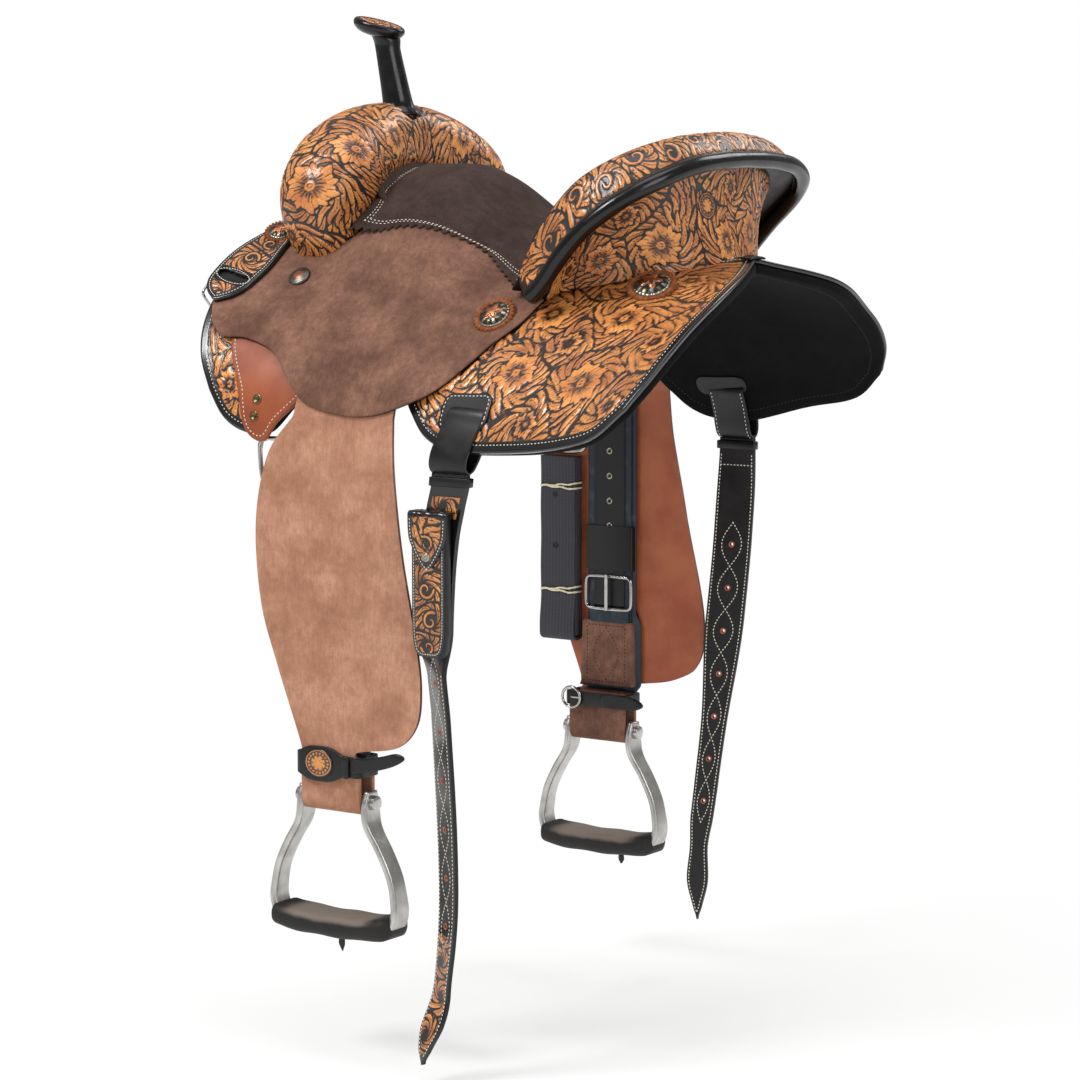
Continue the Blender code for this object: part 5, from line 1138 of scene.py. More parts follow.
def stud(name, point, out, rows, skins, count=24, zones=None):
    """A turned stud on the saddle: rings of (height, radius) about a point, along its outward direction."""
    across = unit(np.cross(out, UP))
    rise = np.cross(across, out)
    turn = round_angles(count)[:, None]
    rings = [point + out * h + (across * np.cos(turn) + rise * np.sin(turn)) * r for h, r in rows]
    tube(name, rings, skins, ROOT, zones=zones)


def rigging_plates():
    """The russet rigging plates with their stitching and two rivets each."""
    for label, side in SIDES:
        grid = patch(((-0.240, 0.190), (-0.100, 0.190)),
                     ((-0.206, 0.302), (-0.196, 0.332), (-0.182, 0.343), (-0.166, 0.341),
                      (-0.152, 0.322), (-0.130, 0.300), (-0.112, 0.276)),
                     ((-0.240, 0.190), (-0.233, 0.255), (-0.206, 0.302)),
                     ((-0.100, 0.190), (-0.112, 0.276)), lines(140, 3), lines(120, 3)) * 1000
        border = border_of(grid)
        rim, y, s = edge_and_place(grid, border)
        flip = np.array([side, 1, 1])
        sheet(f"{label}_russet_rigging", back_form(y, s, RIGGING_IN) * flip,
              back_form(y, s, RIGGING_OUT - worked_edge(rim, 1.5)) * flip, [RIG_RUSSET], ROOT,
              [f"{label}_rigging_plate"])
        seam = inset(border, 5.0)
        seam = seam[seam[:, 1] > 236]
        stitches(f"{label}_rigging_stitching", [on_form(back_form, side, seam, RIGGING_OUT)], ROOT, THREAD)
        for k, (a, b) in enumerate(((-180, 306), (-181, 322))):
            point, out = on_form(back_form, side, np.array([a, b], float), RIGGING_OUT)
            stud(f"{label}_rigging_rivet_{k}", point, out,
                 ((-0.0008, 0.0056), (0.0005, 0.0056), (0.0009, 0.0050), (0.0010, 0.0032), (0.0004, 0.0028),
                  (0.0004, 0.0006)), [BRASS])


# ---------------------------------------------------------------- seat
def superellipse(angle, plan):
    """Places on a rounded outline at angles from straight back; plan is its half sizes, centre and power."""
    half_x, half_y, centre, power = plan
    sine = np.sin(np.radians(angle))
    cosine = np.cos(np.radians(angle))
    x = half_x * np.sign(sine) * np.abs(sine) ** (2 / power)
    y = centre + half_y * np.sign(cosine) * np.abs(cosine) ** (2 / power)
    return x, y


def cantle_line(share, column, plan, lift=0.0):
    """A line round the cantle; share runs from -1 off to 1 near."""
    rows = np.array(CANTLE_ROWS)
    place = np.abs(share) * (len(rows) - 1)
    angle = np.sign(share) * smooth(place, np.arange(len(rows)), rows[:, column])
    height = smooth(place, np.arange(len(rows)), rows[:, column + 1])
    x, y = superellipse(angle, plan)
    return np.stack([x, y, height + lift], -1)


def seat_grid(flat, dish, share, scallop):
    """The underside of the seat: level rows on the seat form, then the dish up to the crest.

    flat and dish are the rows' shares, share runs across, and scallop is the depth in mm of the waves
    along its edges. In front the rows start where the seat comes out from behind the fork.
    """
    wave_mm = 9.0
    half_width_mm = 130
    side = np.abs(share)
    front_y = smooth(side, (0, 0.3, 0.7, 1), (-0.1575, -0.1580, -0.1580, -0.1580))
    front_s = 0.130 * side
    edge = curve_at(((-0.1580, 0.130), (-0.120, 0.114), (-0.085, 0.103), (-0.030, 0.093), (0.002, 0.091),
                     (0.035, 0.110), (0.074, 0.135)), flat)
    foot_y = smooth(side, (0, 0.5, 0.8, 1), (0.130, 0.118, 0.098, 0.074))
    foot_s = 0.135 * side
    run = run_of(edge) * 1000
    rows = []
    for i, t in enumerate(flat):
        edge_t = (edge[i, 0] - edge[0, 0]) / (edge[-1, 0] - edge[0, 0])
        along = t * (1 - side ** 4) + edge_t * side ** 4
        y = front_y * (1 - along) + foot_y * along
        straight = front_s * (1 - along) + foot_s * along
        s = straight * (1 - side ** 2) + edge[i, 1] * side * side ** 2
        wave = np.abs(np.sin(math.pi * run[i] / wave_mm))
        s = s + scallop * (wave - 0.4) * ease(side, 0.955, 1.0) * ease(1 - t, 0.0, 0.04) / 1000
        rows.append(seat_form(y, np.sign(share) * s, JOCKEY_LEATHER + SEAT_GAP))
    foot = rows[-1]
    crest = cantle_line(share, 0, CREST_PLAN)
    middle = crest * np.array([0.94, 1.0, 0.0]) + foot * np.array([0.06, 0.0, 0.0])
    middle[:, 1] = crest[:, 1] * 0.86 + foot[:, 1] * 0.14
    middle[:, 2] = foot[:, 2] * 0.86 + crest[:, 2] * 0.14
    for t in dish:
        rows.append((1 - t) ** 2 * foot + 2 * t * (1 - t) * middle + t * t * crest)
    grid = np.array(rows)
    grid[..., 2] += 0.013 * ease(side, 0.45, 1.0) * (1 - ease(grid[..., 1], -0.152, -0.110))
    turn = np.arctan2(grid[..., 0] / 0.128, (grid[..., 2] - 0.125) / 0.070)
    centre, deep, tall = fork_sizes(np.degrees(turn))
    off = grid - centre
    high = np.abs(off[..., 0] * np.sin(0.92 * turn) + off[..., 2] * np.cos(0.92 * turn)) / tall
    back = centre[..., 1] + deep * np.clip(1 - high ** 2.3, 0, 1) ** 0.43 + 0.0012
    hidden = (grid[..., 1] < -0.12) & (high < 1) & (grid[..., 1] < back)
    grid[..., 1] = np.where(hidden, back, grid[..., 1])
    last = len(flat) - 1
    first = np.clip(soften(hidden[:last + 1].sum(0).astype(float), 40) - 0.5, 0, last)
    level = np.arange(last + 1)[:, None]
    row = first + (last - first) * level / last
    notch = scallop * (1 - np.abs(np.sin(math.pi * half_width_mm * share / wave_mm))) / 1.45
    row = np.minimum(row + notch * (1 - ease(level, 0, 4.5)), last)
    low = np.minimum(row.astype(int), last - 1)
    part = (row - low)[..., None]
    each = np.arange(len(share))
    grid[:last + 1] = grid[low, each] * (1 - part) + grid[low + 1, each] * part
    return grid


def normals_of(grid):
    """Unit normals of a grid of points, turned upwards."""
    out = unit(np.cross(np.gradient(grid, axis=0), np.gradient(grid, axis=1)))
    return -out if out[..., 2].mean() < 0 else out


def seat():
    """The padded suede seat with two rows of stitching inside its scalloped edge."""
    length_mm, half_mm, dish_mm = 235, 105, 90
    seams_mm = (9.3, 12.8)
    flat = lines(length_mm, 1.45)
    dish = np.linspace(0, 1, 46)[1:]
    share = lines(216, 1.5) * 2 - 1
    grid = seat_grid(flat, dish, share, 4.6)
    out = normals_of(seat_grid(flat, dish, share, 0.01))
    front_mm = np.concatenate([flat * length_mm, length_mm + dish * dish_mm])[:, None]
    rim = np.minimum((1 - np.abs(share))[None, :] * half_mm, front_mm)
    puff = 0.0019 + 0.0030 * ease(rim, 13.5, 26.0) + 0.0004 * ease(rim, 0.0, 1.5)
    for line in seams_mm:
        puff = puff - 0.0005 * np.exp(-((rim - line) / 0.8) ** 2)
    rise = puff * (1 - 0.35 * np.abs(share)[None, :] ** 6)
    over = grid + rise[..., None] * out
    sheet("suede_seat", grid, over, [SUEDE], ROOT, ["seat"])
    runs = []
    for line in seams_mm:
        for hand in (-1, 1):
            column = np.interp(hand * (1 - line / half_mm), share, np.arange(len(share)))
            i0 = int(column)
            f = column - i0
            start = int(np.searchsorted(flat * length_mm, line))
            p = over[start:, i0] * (1 - f) + over[start:, i0 + 1] * f
            runs.append((p, out[start:, i0]))
        row = np.interp(line, flat * length_mm, np.arange(len(flat)))
        i0 = int(row)
        f = row - i0
        p = over[i0] * (1 - f) + over[i0 + 1] * f
        inside = np.abs(share) < 1 - line / half_mm
        runs.append((p[inside], out[i0][inside]))
    stitches("seat_stitching", runs, ROOT, THREAD)


# ---------------------------------------------------------------- swell, horn, cantle
def floor_table():
    """Height of what the fork and the cantle stand on, over a grid of x and y."""
    y = np.linspace(-0.26, 0.30, 141)
    s = np.linspace(0.0, 0.275, 90)
    top = back_form(y[:, None], s[None, :], stand_level(y[:, None], s[None, :]))
    x = np.linspace(0, 0.235, 120)
    z = np.array([np.interp(x, row[:, 0], row[:, 2]) for row in top])
    return y, x, z


FLOOR = floor_table()


def lift_to_floor(points, sink):
    """Points that would go under the floor are raised to a little under it."""
    ys, xs, z = FLOOR
    level = between(z, (points[..., 1] - ys[0]) / (ys[1] - ys[0]), np.abs(points[..., 0]) / (xs[1] - xs[0]))
    lifted = points.copy()
    lifted[..., 2] = np.maximum(points[..., 2], level - sink)
    return lifted


def fork_sizes(angle):
    """Centre, half depth and half height of the fork's section at angles over the arch, from straight up."""
    a = np.abs(angle)
    sine, cosine = np.sin(np.radians(angle)), np.cos(np.radians(angle))
    centre = np.stack([0.128 * sine, smooth(a, (0, 30, 65, 125), (-0.198, -0.194, -0.188, -0.190)),
                       0.125 + 0.070 * cosine], -1)
    return (centre, smooth(a, (0, 30, 65, 125), (0.040, 0.046, 0.050, 0.040)),
            smooth(a, (0, 30, 65, 125), (0.043, 0.044, 0.047, 0.044)))


def fork_section(angle, inset_by, count):
    """Closed sections of the fork at angles over the arch, from straight up."""
    centre, deep, tall = fork_sizes(angle)
    deep = deep - inset_by
    tall = tall - inset_by
    lean = np.radians(angle) * 0.92
    out = np.stack([np.sin(lean), np.zeros_like(lean), np.cos(lean)], -1)
    turn = round_angles(count)
    c = np.sign(np.cos(turn)) * np.abs(np.cos(turn)) ** 0.86
    s = np.sign(np.sin(turn)) * np.abs(np.sin(turn)) ** 0.86
    along_y = np.array([0.0, 1.0, 0.0])
    return (centre[:, None] + out[:, None] * (tall[:, None] * c)[..., None]
            + along_y * (deep[:, None] * s)[..., None])


SWELL_FLOWERS = ((207, 10, 26), (146, 38, 23), (64, 56, 23), (-86, 50, 23), (-150, 36, 23), (-210, 8, 26),
                 (0, -32, 20), (70, -45, 20), (-70, -45, 20), (142, -34, 20), (-142, -34, 20), (14, 92, 14),
                 (262, -18, 15), (-262, -18, 15), (212, -50, 15), (-212, -50, 15), (110, 84, 12), (-115, 84, 12))


def swell():
    """The carved cover of the fork: a run over the arch, b round its section."""
    sections = fork_section(np.linspace(-125, 125, 372), 0.0, 168)
    ridge = sections[:, 0]
    a = run_of(ridge) * 1000
    a -= a[-1] / 2
    middle = np.vstack([sections[186], sections[186][:1]])
    b = run_of(middle) * 1000
    whole = b[-1]
    b = b[:-1]
    b = np.where(b > whole / 2, b - whole, b)
    carving = Carving((-300, -135), (300, 135), lambda p, q: np.minimum(300 - np.abs(p), 130 - np.abs(q)), 21)
    carving.draw(SWELL_FLOWERS)
    fields, relief = unbanded(carving, *np.broadcast_arrays(a[:, None], b[None, :]))
    out = sections - sections.mean(1, keepdims=True)
    ahead = np.gradient(sections, axis=0)
    round_it = np.roll(sections, -1, 1) - np.roll(sections, 1, 1)
    out = unit(np.cross(ahead, round_it)) * np.sign((np.cross(ahead, round_it) * out).sum(-1, keepdims=True))
    rings = lift_to_floor(sections + out * (relief[..., None] - 0.0006), 0.0025)
    tube("carved_swell", rings, [CARVED], ROOT, ["swell_cover"], fields=fields)


def gullet():
    """The suede apron that closes the back of the fork's arch down to the front of the seat."""
    share = np.linspace(-1, 1, 61)
    low = seat_grid(np.array([0.06, 0.09]), np.array([1.0]), share, 0.0)[0]
    high = fork_section(66 * share, 0.004, 36)[:, 12]
    t = np.linspace(0, 1, 16)[:, None, None]
    mid = (low + high) / 2 + np.array([0.0, 0.006, -0.010])
    under = (1 - t) ** 2 * low + 2 * t * (1 - t) * mid + t * t * high
    sheet("gullet_leather", under, under + np.array([0.0, 0.0022, 0.0010]), [SUEDE], ROOT)


def horn():
    """The wrapped neck with its collar and rear seam, and the cap with a rolled black rim."""
    foot = np.array((0.0, -0.184, 0.224))
    top = np.array((0.0, -0.2005, 0.3070))
    t = np.linspace(0, 1, 40)
    radius = smooth(t, (0, 0.05, 0.10, 0.18, 0.5, 0.85, 1),
                    (0.0240, 0.0232, 0.0190, 0.0172, 0.0158, 0.0150, 0.0172))
    centre = foot * (1 - t[:, None]) + (top + (0.0, -0.0035, 0.0050)) * t[:, None]
    tilt = HORN_TILT * t
    turn = round_angles(64)
    seam = 1 + 0.05 * np.exp(-((turn - math.pi / 2) / 0.10) ** 2)[None, :]
    r = radius[:, None] * seam
    rings = np.stack([centre[:, None, 0] + r * np.cos(turn) * 0.92,
                      centre[:, None, 1] + r * np.sin(turn) * np.cos(tilt)[:, None],
                      centre[:, None, 2] + r * np.sin(turn) * np.sin(tilt)[:, None]], -1)
    tube("horn_wrap", rings, [SHINY], ROOT, ["horn_neck"])

    lean = HORN_TILT
    wide, long, tall = HORN_SIZE
    rows = np.array(((0.0, 0.52), (0.05, 0.66), (0.16, 0.80), (0.32, 0.905), (0.50, 0.97), (0.68, 1.0), (0.84, 0.985),
                     (0.95, 0.945), (1.0, 0.88), (0.985, 0.84), (0.93, 0.81)))
    rows = np.vstack([rows, np.column_stack([np.linspace(0.93, 1.10, 18), np.linspace(0.80, 0.02, 18)])])
    around = round_angles(96)
    ca, sa = np.cos(around), np.sin(around)
    x = ca * rows[:, 1:] * (1.0 - 0.13 * sa) * wide / 2
    y = sa * rows[:, 1:] * long / 2 - 0.0145
    z = rows[:, :1] * tall * np.ones_like(x)
    disc = np.arange(len(rows)) >= 11
    carving = Carving((-30, -36), (30, 36), lambda a, b: 24.5 - np.hypot(a * 1.12, b * 0.86), 5)
    carving.swirls(((0, 0, 9),), 12, 6.2, 4)
    carving.flower(0, 0, 13, 0.4)
    fields, relief = unbanded(carving, x * 1000, y * 1000 + 14.5)
    z = z + relief * 0.7 * disc[:, None]
    place = np.stack([x, y * np.cos(lean) - z * np.sin(lean), y * np.sin(lean) + z * np.cos(lean)], -1)
    place = place + top + GAP * np.array([0.0, -np.sin(lean), np.cos(lean)])
    zones = np.repeat(np.where(np.arange(len(rows) - 1) >= 10, 1, 0), 96)
    tube("horn_top", place, [SHINY, CARVED], ROOT, ["horn_cap"], fields=fields, zones=zones)


def soften(line, times=120):
    """A line with its small kinks averaged out, its ends kept."""
    line = line.copy()
    for _ in range(times):
        line[1:-1] = 0.25 * line[:-2] + 0.5 * line[1:-1] + 0.25 * line[2:]
    return line


def cantle_levels(share):
    """The lines that bound the cantle: crest, binding, and the back's top and foot."""
    crest = soften(cantle_line(share, 0, CREST_PLAN))
    binding = soften(cantle_line(share, 2, BINDING_PLAN))
    back_top = soften(cantle_line(share, 2, CANTLE_TOP_PLAN, -0.002))
    back_foot = soften(cantle_line(share, 2, CANTLE_FOOT_PLAN))
    back_foot[:, 2] = back_top[:, 2] * 0.30 + 0.010
    return crest, binding, back_top, back_foot


CANTLE_FLOWERS = ((192, 66, 21), (124, 72, 23), (24, 82, 22), (-55, 72, 22), (-125, 72, 22), (-192, 66, 21),
                  (156, 24, 13), (0, 26, 14), (-92, 22, 14), (240, 40, 14), (-156, 24, 13), (-240, 40, 14))


def even_shares(count):
    """Shares round the cantle that space its lines evenly along the binding."""
    fine = np.linspace(-1, 1, 2001)
    line = cantle_line(fine, 2, BINDING_PLAN)
    run = run_of(line)
    return np.interp(np.linspace(0, run[-1], count), run, fine), run[-1] * 1000


def cantle():
    """The carved roll, its black underside and rope binding, and the carved back."""
    share, length = even_shares(340)
    crest, binding, back_top, back_foot = cantle_levels(share)
    ends = np.clip(1 - (0.5 - np.abs(np.linspace(-0.5, 0.5, len(share)))) * length / 26, 0, 1)
    crest = binding + (crest - binding) * np.sqrt(1 - 0.93 * ends ** 2)[:, None]
    outward = unit((binding - crest) * (1, 1, 0))

    # the roll, from the seat's crest to the binding
    t = np.concatenate([[0, 0.01], np.linspace(0.03, 0.97, 30), [0.99, 1.0]])
    end = binding - outward * (BINDING_RADIUS - 0.0006) + UP * 0.0035
    line = crest[None] * (1 - t[:, None, None]) + end[None] * t[:, None, None]
    under = line + UP * (ROLL_CROWN * 4 * t * (1 - t) + 0.0006)[:, None, None]
    wide = np.linalg.norm(end - crest, axis=1) * 1000
    a = (np.linspace(0, 1, len(share)) - 0.5) * length
    carving = Carving((-length / 2, 0), (length / 2, 60),
                      lambda p, q: np.minimum(np.minimum(q - 2.0, np.interp(p, a, wide) - 1.0 - q),
                                              length / 2 - np.abs(p)), 31)
    carving.scrolls([(p, 24 + 6 * (-1) ** k, 9) for k, p in enumerate(np.arange(-290, 291, 41))], 17, 7.0, 3)
    fields, relief = unbanded(carving, *np.broadcast_arrays(a[None, :], t[:, None] * wide[None, :]))
    rise = normals_of(under)
    over = under + UP * (COVER_LEATHER - 0.0008) + outward * 0.0006 + rise * relief[..., None]
    sheet("carved_cantle_roll", lift_to_floor(under, 0.002), lift_to_floor(over, 0.0015), [CARVED, BLACK], ROOT,
          ["cantle_roll"], fields, zones=(0, 1, 1))

    # the black underside, from the carved back to the binding
    t = np.linspace(0, 1, 9)[:, None, None]
    soffit = back_top - outward * 0.003 + (binding - back_top + UP * 0.003) * t
    sheet("roll_underside", lift_to_floor(soffit, 0.001), lift_to_floor(soffit + UP * 0.0025, 0.0), [BLACK], ROOT)

    # the binding, a glossy black rope of leather
    rows = np.arange(len(share))
    ahead = unit(np.gradient(binding, axis=0))
    side = unit(outward - ahead * (outward * ahead).sum(-1, keepdims=True))
    top = np.cross(side, ahead)
    turn = round_angles(28)
    swell_by = 1 + 0.02 * np.sin(rows * 0.21)[:, None]
    rings = (binding[:, None] + side[:, None] * (BINDING_RADIUS * swell_by * np.cos(turn))[..., None]
             + top[:, None] * (BINDING_RADIUS * swell_by * np.sin(turn))[..., None])
    tube("cantle_rope", lift_to_floor(rings, 0.001), [SHINY], ROOT, ["cantle_binding"])

    # the carved back
    t = np.concatenate([[0, 0.005], np.linspace(0.015, 1.0, 84)])
    height = 112.0
    face = back_top[None] * (1 - t[:, None, None]) + back_foot[None] * t[:, None, None]
    face = face - outward[None] * (CANTLE_HOLLOW * 4 * t * (1 - t))[:, None, None]
    run = run_of(back_top) * 1000
    a = run - run[-1] / 2
    carving = Carving((a[0], 0), (a[-1], height), lambda p, q: np.minimum(q - 2.5, height - q), 41)
    carving.draw(CANTLE_FLOWERS)
    medallion(carving, 52.0, 42.0, 13.5)
    fields, relief = unbanded(carving, *np.broadcast_arrays(a[None, :], t[:, None] * height))
    out = unit(np.cross(np.gradient(face, axis=1), np.gradient(face, axis=0)))
    out = out * np.sign((out * outward[None]).sum())
    over = face + out * (relief - 0.0007)[..., None]
    under = face - outward[None] * COVER_LEATHER
    sheet("carved_cantle_back", lift_to_floor(under, 0.002), lift_to_floor(over, 0.002), [CARVED], ROOT,
          ["cantle_back"], fields)


def medallion(carving, a, b, radius, squash=1.0):
    """A plain round stamp: a bead ring, a ring of small petals and an eight-pointed centre."""
    win = carving.window((a - radius - 2, b - radius - 2), (a + radius + 2, b + radius + 2))
    da = carving.a[win[0]][:, None] - a
    db = (carving.b[win[1]][None, :] - b) * squash
    r = np.hypot(da, db)
    angle = np.arctan2(db, da)
    rings = np.minimum(np.abs(r - radius * 0.86), np.abs(r - radius * 0.60))
    beads = np.where((r > radius * 0.62) & (r < radius * 0.85),
                     np.abs((angle * 9 / math.pi) % 1.0 - 0.5) * r * math.pi / 9, 9.0)
    star = np.abs(r - radius * (0.33 + 0.16 * np.cos(8 * angle)))
    carving.stamp(win, radius - r, np.minimum(np.minimum(rings, beads), star) * 0.55, 0.75,
                  0.4 + 0.2 * np.cos(8 * angle))


# ---------------------------------------------------------------- rosettes and keeper
def rosette(name, y, s, floor_d, form, side, radius, node_name):
    """A scalloped leather rosette laced round its rim, and a domed concho with an overlaid flower."""
    flip = np.array([side, 1, 1])
    point = form(y, s, floor_d) * flip
    back = unit((form(y + 0.006, s, floor_d) - form(y - 0.006, s, floor_d)) * flip)
    fall = (form(y, s + 0.006, floor_d) - form(y, s - 0.006, floor_d)) * flip
    out = np.cross(back, fall)
    out = unit(out * np.sign(out[2]))
    out = unit(out + np.array([0.24 * side, 0.06, 0.0]))
    across = unit(np.cross(out, back))
    back = np.cross(across, out)
    turn = round_angles(240)
    lay = across * np.cos(turn)[:, None] + back * np.sin(turn)[:, None]
    scallops = np.abs(np.cos(13 * turn)) ** 0.7
    rings = []
    for h, r, wave in ((-0.0050, 0.84, 0.11), (0.0012, 0.87, 0.12), (0.0024, 0.86, 0.12), (0.0030, 0.83, 0.10),
                       (0.0030, 0.78, 0.06), (0.0024, 0.74, 0.0), (0.0023, 0.60, 0.0), (0.0023, 0.02, 0.0)):
        height = h + 0.0013 * scallops * (h > 0.002) * (r > 0.76) - 0.0005 * (r > 0.76)
        rings.append(point + out * height[:, None] + lay * (radius * (r + wave * scallops))[:, None])
    tube(name + "_leather", rings, [LACE], ROOT, [node_name])

    size = radius * 0.72
    shape = []
    marks = []
    for k, share in enumerate(np.linspace(1.0, 0.02, 26)):
        dome = 0.0035 + 0.0050 * (1 - share ** 2) * (radius / 0.0225)
        petals = np.abs(np.cos(6 * turn))
        rim_wave = 1 + 0.035 * np.cos(24 * turn) * (share > 0.93)
        groove = 0.0006 * petals ** 0.5 * math.exp(-((share - 0.74) / 0.16) ** 2)
        bloom = 0.0009 * np.clip(0.46 + 0.16 * np.cos(5 * turn) - share, 0, 0.12) / 0.12
        shape.append(point + out * (dome + groove + bloom)[:, None] + lay * (size * share * rim_wave)[:, None])
        if k:
            flower = share < 0.50 + 0.14 * np.cos(5 * turn)
            leafy = (np.cos(12 * turn) > 0.25) & (share > 0.62) & (share < 0.86)
            dark = ~flower & ~leafy & (share < 0.92)
            leaf_skin = np.where(np.cos(6 * turn) > 0, 3, 0)
            marks.append(np.where(flower, 1, np.where(leafy, leaf_skin, np.where(dark, 2, 0))))
    foot = point + out * 0.0020 + lay * size
    tube(name + "_concho", [foot] + shape, [SILVER, COPPER, BLACK, BRASS], ROOT,
         zones=np.concatenate([np.zeros(240, int)] + marks))


def rosettes():
    """The rosettes on the jockeys and skirts, and the plain conchos in front."""
    for label, side in SIDES:
        rosette(f"{label}_seat_rosette", 0.0680, 0.1770, JOCKEY_LEATHER + 0.0022, seat_form, side, 0.0235,
                f"{label}_jockey_rosette")
        rosette(f"{label}_rear_rosette", 0.2260, 0.1240, SKIRT_OUT + 0.0030, back_form, side, 0.0262,
                f"{label}_skirt_rosette")
        point, out = on_form(seat_form, side, np.array([-190.6, 169.0]), JOCKEY_LEATHER)
        out = unit(out + np.array([0.25 * side, 0.0, 0.0]))
        stud(f"{label}_front_concho", point, out,
             ((-0.0014, 0.0124), (0.0014, 0.0124), (0.0024, 0.0114), (0.0024, 0.0100), (0.0030, 0.0086),
              (0.0035, 0.0056), (0.0039, 0.0044), (0.0041, 0.0004)), [PEWTER, COPPER], 40,
             np.repeat((0, 0, 0, 0, 0, 1, 1), 40))


def keeper():
    """The latigo keeper: a carved strip with a black bound edge and a long bound slot."""
    start = JOCKEY_LEATHER + 0.0006
    grid = patch(((-0.272, 0.112), (-0.248, 0.106), (-0.236, 0.118)),
                 ((-0.289, 0.222), (-0.268, 0.2300), (-0.240, 0.214)),
                 ((-0.272, 0.112), (-0.284, 0.165), (-0.289, 0.222)),
                 ((-0.236, 0.118), (-0.230, 0.165), (-0.240, 0.214)), lines(42, 0.8), lines(112, 0.8)) * 1000
    down = lines(112, 0.8)
    middle = grid.mean(0, keepdims=True)
    narrow = np.sqrt(1 - 0.72 * np.clip((down - 0.80) / 0.20, 0, 1) ** 2.4) * np.sqrt(
        1 - 0.5 * np.clip((0.10 - down) / 0.10, 0, 1) ** 2)
    grid = middle + (grid - middle) * narrow[None, :, None]
    border = border_of(grid)
    rim, y, s = edge_and_place(grid, border[::2])
    slot_low, slot_high = np.array([-279.0, 195.5]), np.array([-243.0, 195.5])
    along = np.clip((grid[..., 0] - slot_low[0]) / (slot_high[0] - slot_low[0]), 0.08, 0.92)
    middle = slot_low + (slot_high - slot_low) * along[..., None]
    from_slot = np.linalg.norm(grid - middle, axis=-1) - 5.2
    keep = (from_slot[:-1, :-1] > 0) & (from_slot[1:, 1:] > 0)
    carving = Carving((-292, 100), (-226, 235), lambda a, b: border_room(a, b, border[::8]), 51)
    carving.scrolls(((-258, 166, 7), (-252, 138, 6), (-264, 222, 5)), 13, 6.0, 3)
    fields = carving.read(grid[..., 0], grid[..., 1])
    edge = np.minimum(rim, from_slot)
    relief = fields.pop("relief") * ease(edge, 5.4, 6.4) * 0.7
    fields["rim"] = edge + 4.6
    drop = worked_edge(np.maximum(edge, 0), 1.6)
    over = seat_form(y, s, start + 0.0052 + relief - drop)
    sheet("carved_keeper", seat_form(y, s, start + 0.0010), over, [CARVED], ROOT, ["latigo_keeper"], fields, keep)
    sheet("keeper_backing", seat_form(y, s, start - 0.0004), seat_form(y, s, start + 0.0006), [BLACK], ROOT)
    seam = inset(border, 3.8)
    turn = np.linspace(0, 2 * math.pi, 60)
    slot_seam = np.stack([-261.0 + 21.5 * np.cos(turn), 195.5 + 8.6 * np.sin(turn)], -1)
    stitches("keeper_stitching", [on_form(seat_form, 1, seam, start + 0.0053),
                                  on_form(seat_form, 1, slot_seam, start + 0.0053)], ROOT, THREAD,
             *SMALL_STITCH)
    rosette("front_rosette", -0.2540, 0.1165, start + 0.0066, seat_form, 1, 0.0185, "keeper_rosette")


# ---------------------------------------------------------------- legs
def fender(label, side):
    """The fender in one piece: it leaves the tree under the jockey, hangs flat and narrows to its neck."""
    depth = np.linspace(0.29, 0.33, 60)
    lift = LIFT_Z + FENDER_LEATHER / 2
    bottom = []
    for y in np.linspace(-0.127, 0.002, 6):
        height = back_form(y, depth, (FENDER_IN + FENDER_OUT) / 2)[:, 2]
        bottom.append((y, float(np.interp(-lift, -height, depth))))
    across = lines(130, 3.2)
    upper = patch(((-0.112, 0.140), (-0.014, 0.140)), bottom, ((-0.112, 0.140), bottom[0]),
                  ((-0.014, 0.140), bottom[-1]), across, np.linspace(0, 1, 40))
    up_in = back_form(upper[..., 0], upper[..., 1], FENDER_IN)
    up_out = back_form(upper[..., 0], upper[..., 1], FENDER_OUT)
    left = curve_at(((-0.127, lift), (-0.160, -0.130), (-0.176, -0.200), (-0.170, -0.284),
                     (-0.148, -0.351), (-0.1185, -0.428), (-0.1185, NECK_Z)), np.linspace(0, 1, 130))
    right = curve_at(((0.002, lift), (0.004, -0.145), (0.014, -0.225), (0.032, -0.315), (0.037, -0.362),
                      (0.031, -0.398), (0.006, -0.422), (-0.0435, -0.4315), (-0.0435, NECK_Z)),
                     np.linspace(0, 1, 130))
    if side < 0:
        wider = 1 + 0.13 * ease(-right[:, 1], 0.088, 0.22) * ease(0.428 + right[:, 1], 0.0, 0.02)
        right[:, 0] = (right[:, 0] + 0.06) * wider - 0.06
    flat = left[None] * (1 - across[:, None, None]) + right[None] * across[:, None, None]
    flat = flat[:, 1:]
    plane_in = np.stack([np.full(flat.shape[:2], FENDER_PLANE), flat[..., 0], flat[..., 1]], -1)
    plane_out = plane_in + np.array([FENDER_LEATHER, 0, 0])
    settle = np.exp(-np.arange(flat.shape[1]) / 7.0)[None, :]
    plane_in[..., 0] += (up_in[:, -1:, 0] - FENDER_PLANE) * settle
    plane_out[..., 0] += (up_out[:, -1:, 0] - (FENDER_PLANE + FENDER_LEATHER)) * settle
    flip = np.array([side, 1, 1])
    inner = np.concatenate([up_in, plane_in], 1) * flip
    outer = np.concatenate([up_out, plane_out], 1) * flip
    piece = sheet(f"{label}_fender_leather", inner, outer, [FENDER, RUSSET, JOCKEY], None,
                  [f"{label}_fender", f"{label}_fender_top"], zones=(0, 1, 2), sharp=60)
    round_edges(piece, 0.0008, 2, 50)
    bend_x = side * 0.262
    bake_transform(piece, ROOT, f"{label}_leg", (bend_x, LEG_Y, LIFT_Z + 0.012), (bend_x, LEG_Y, LIFT_Z - 0.020))


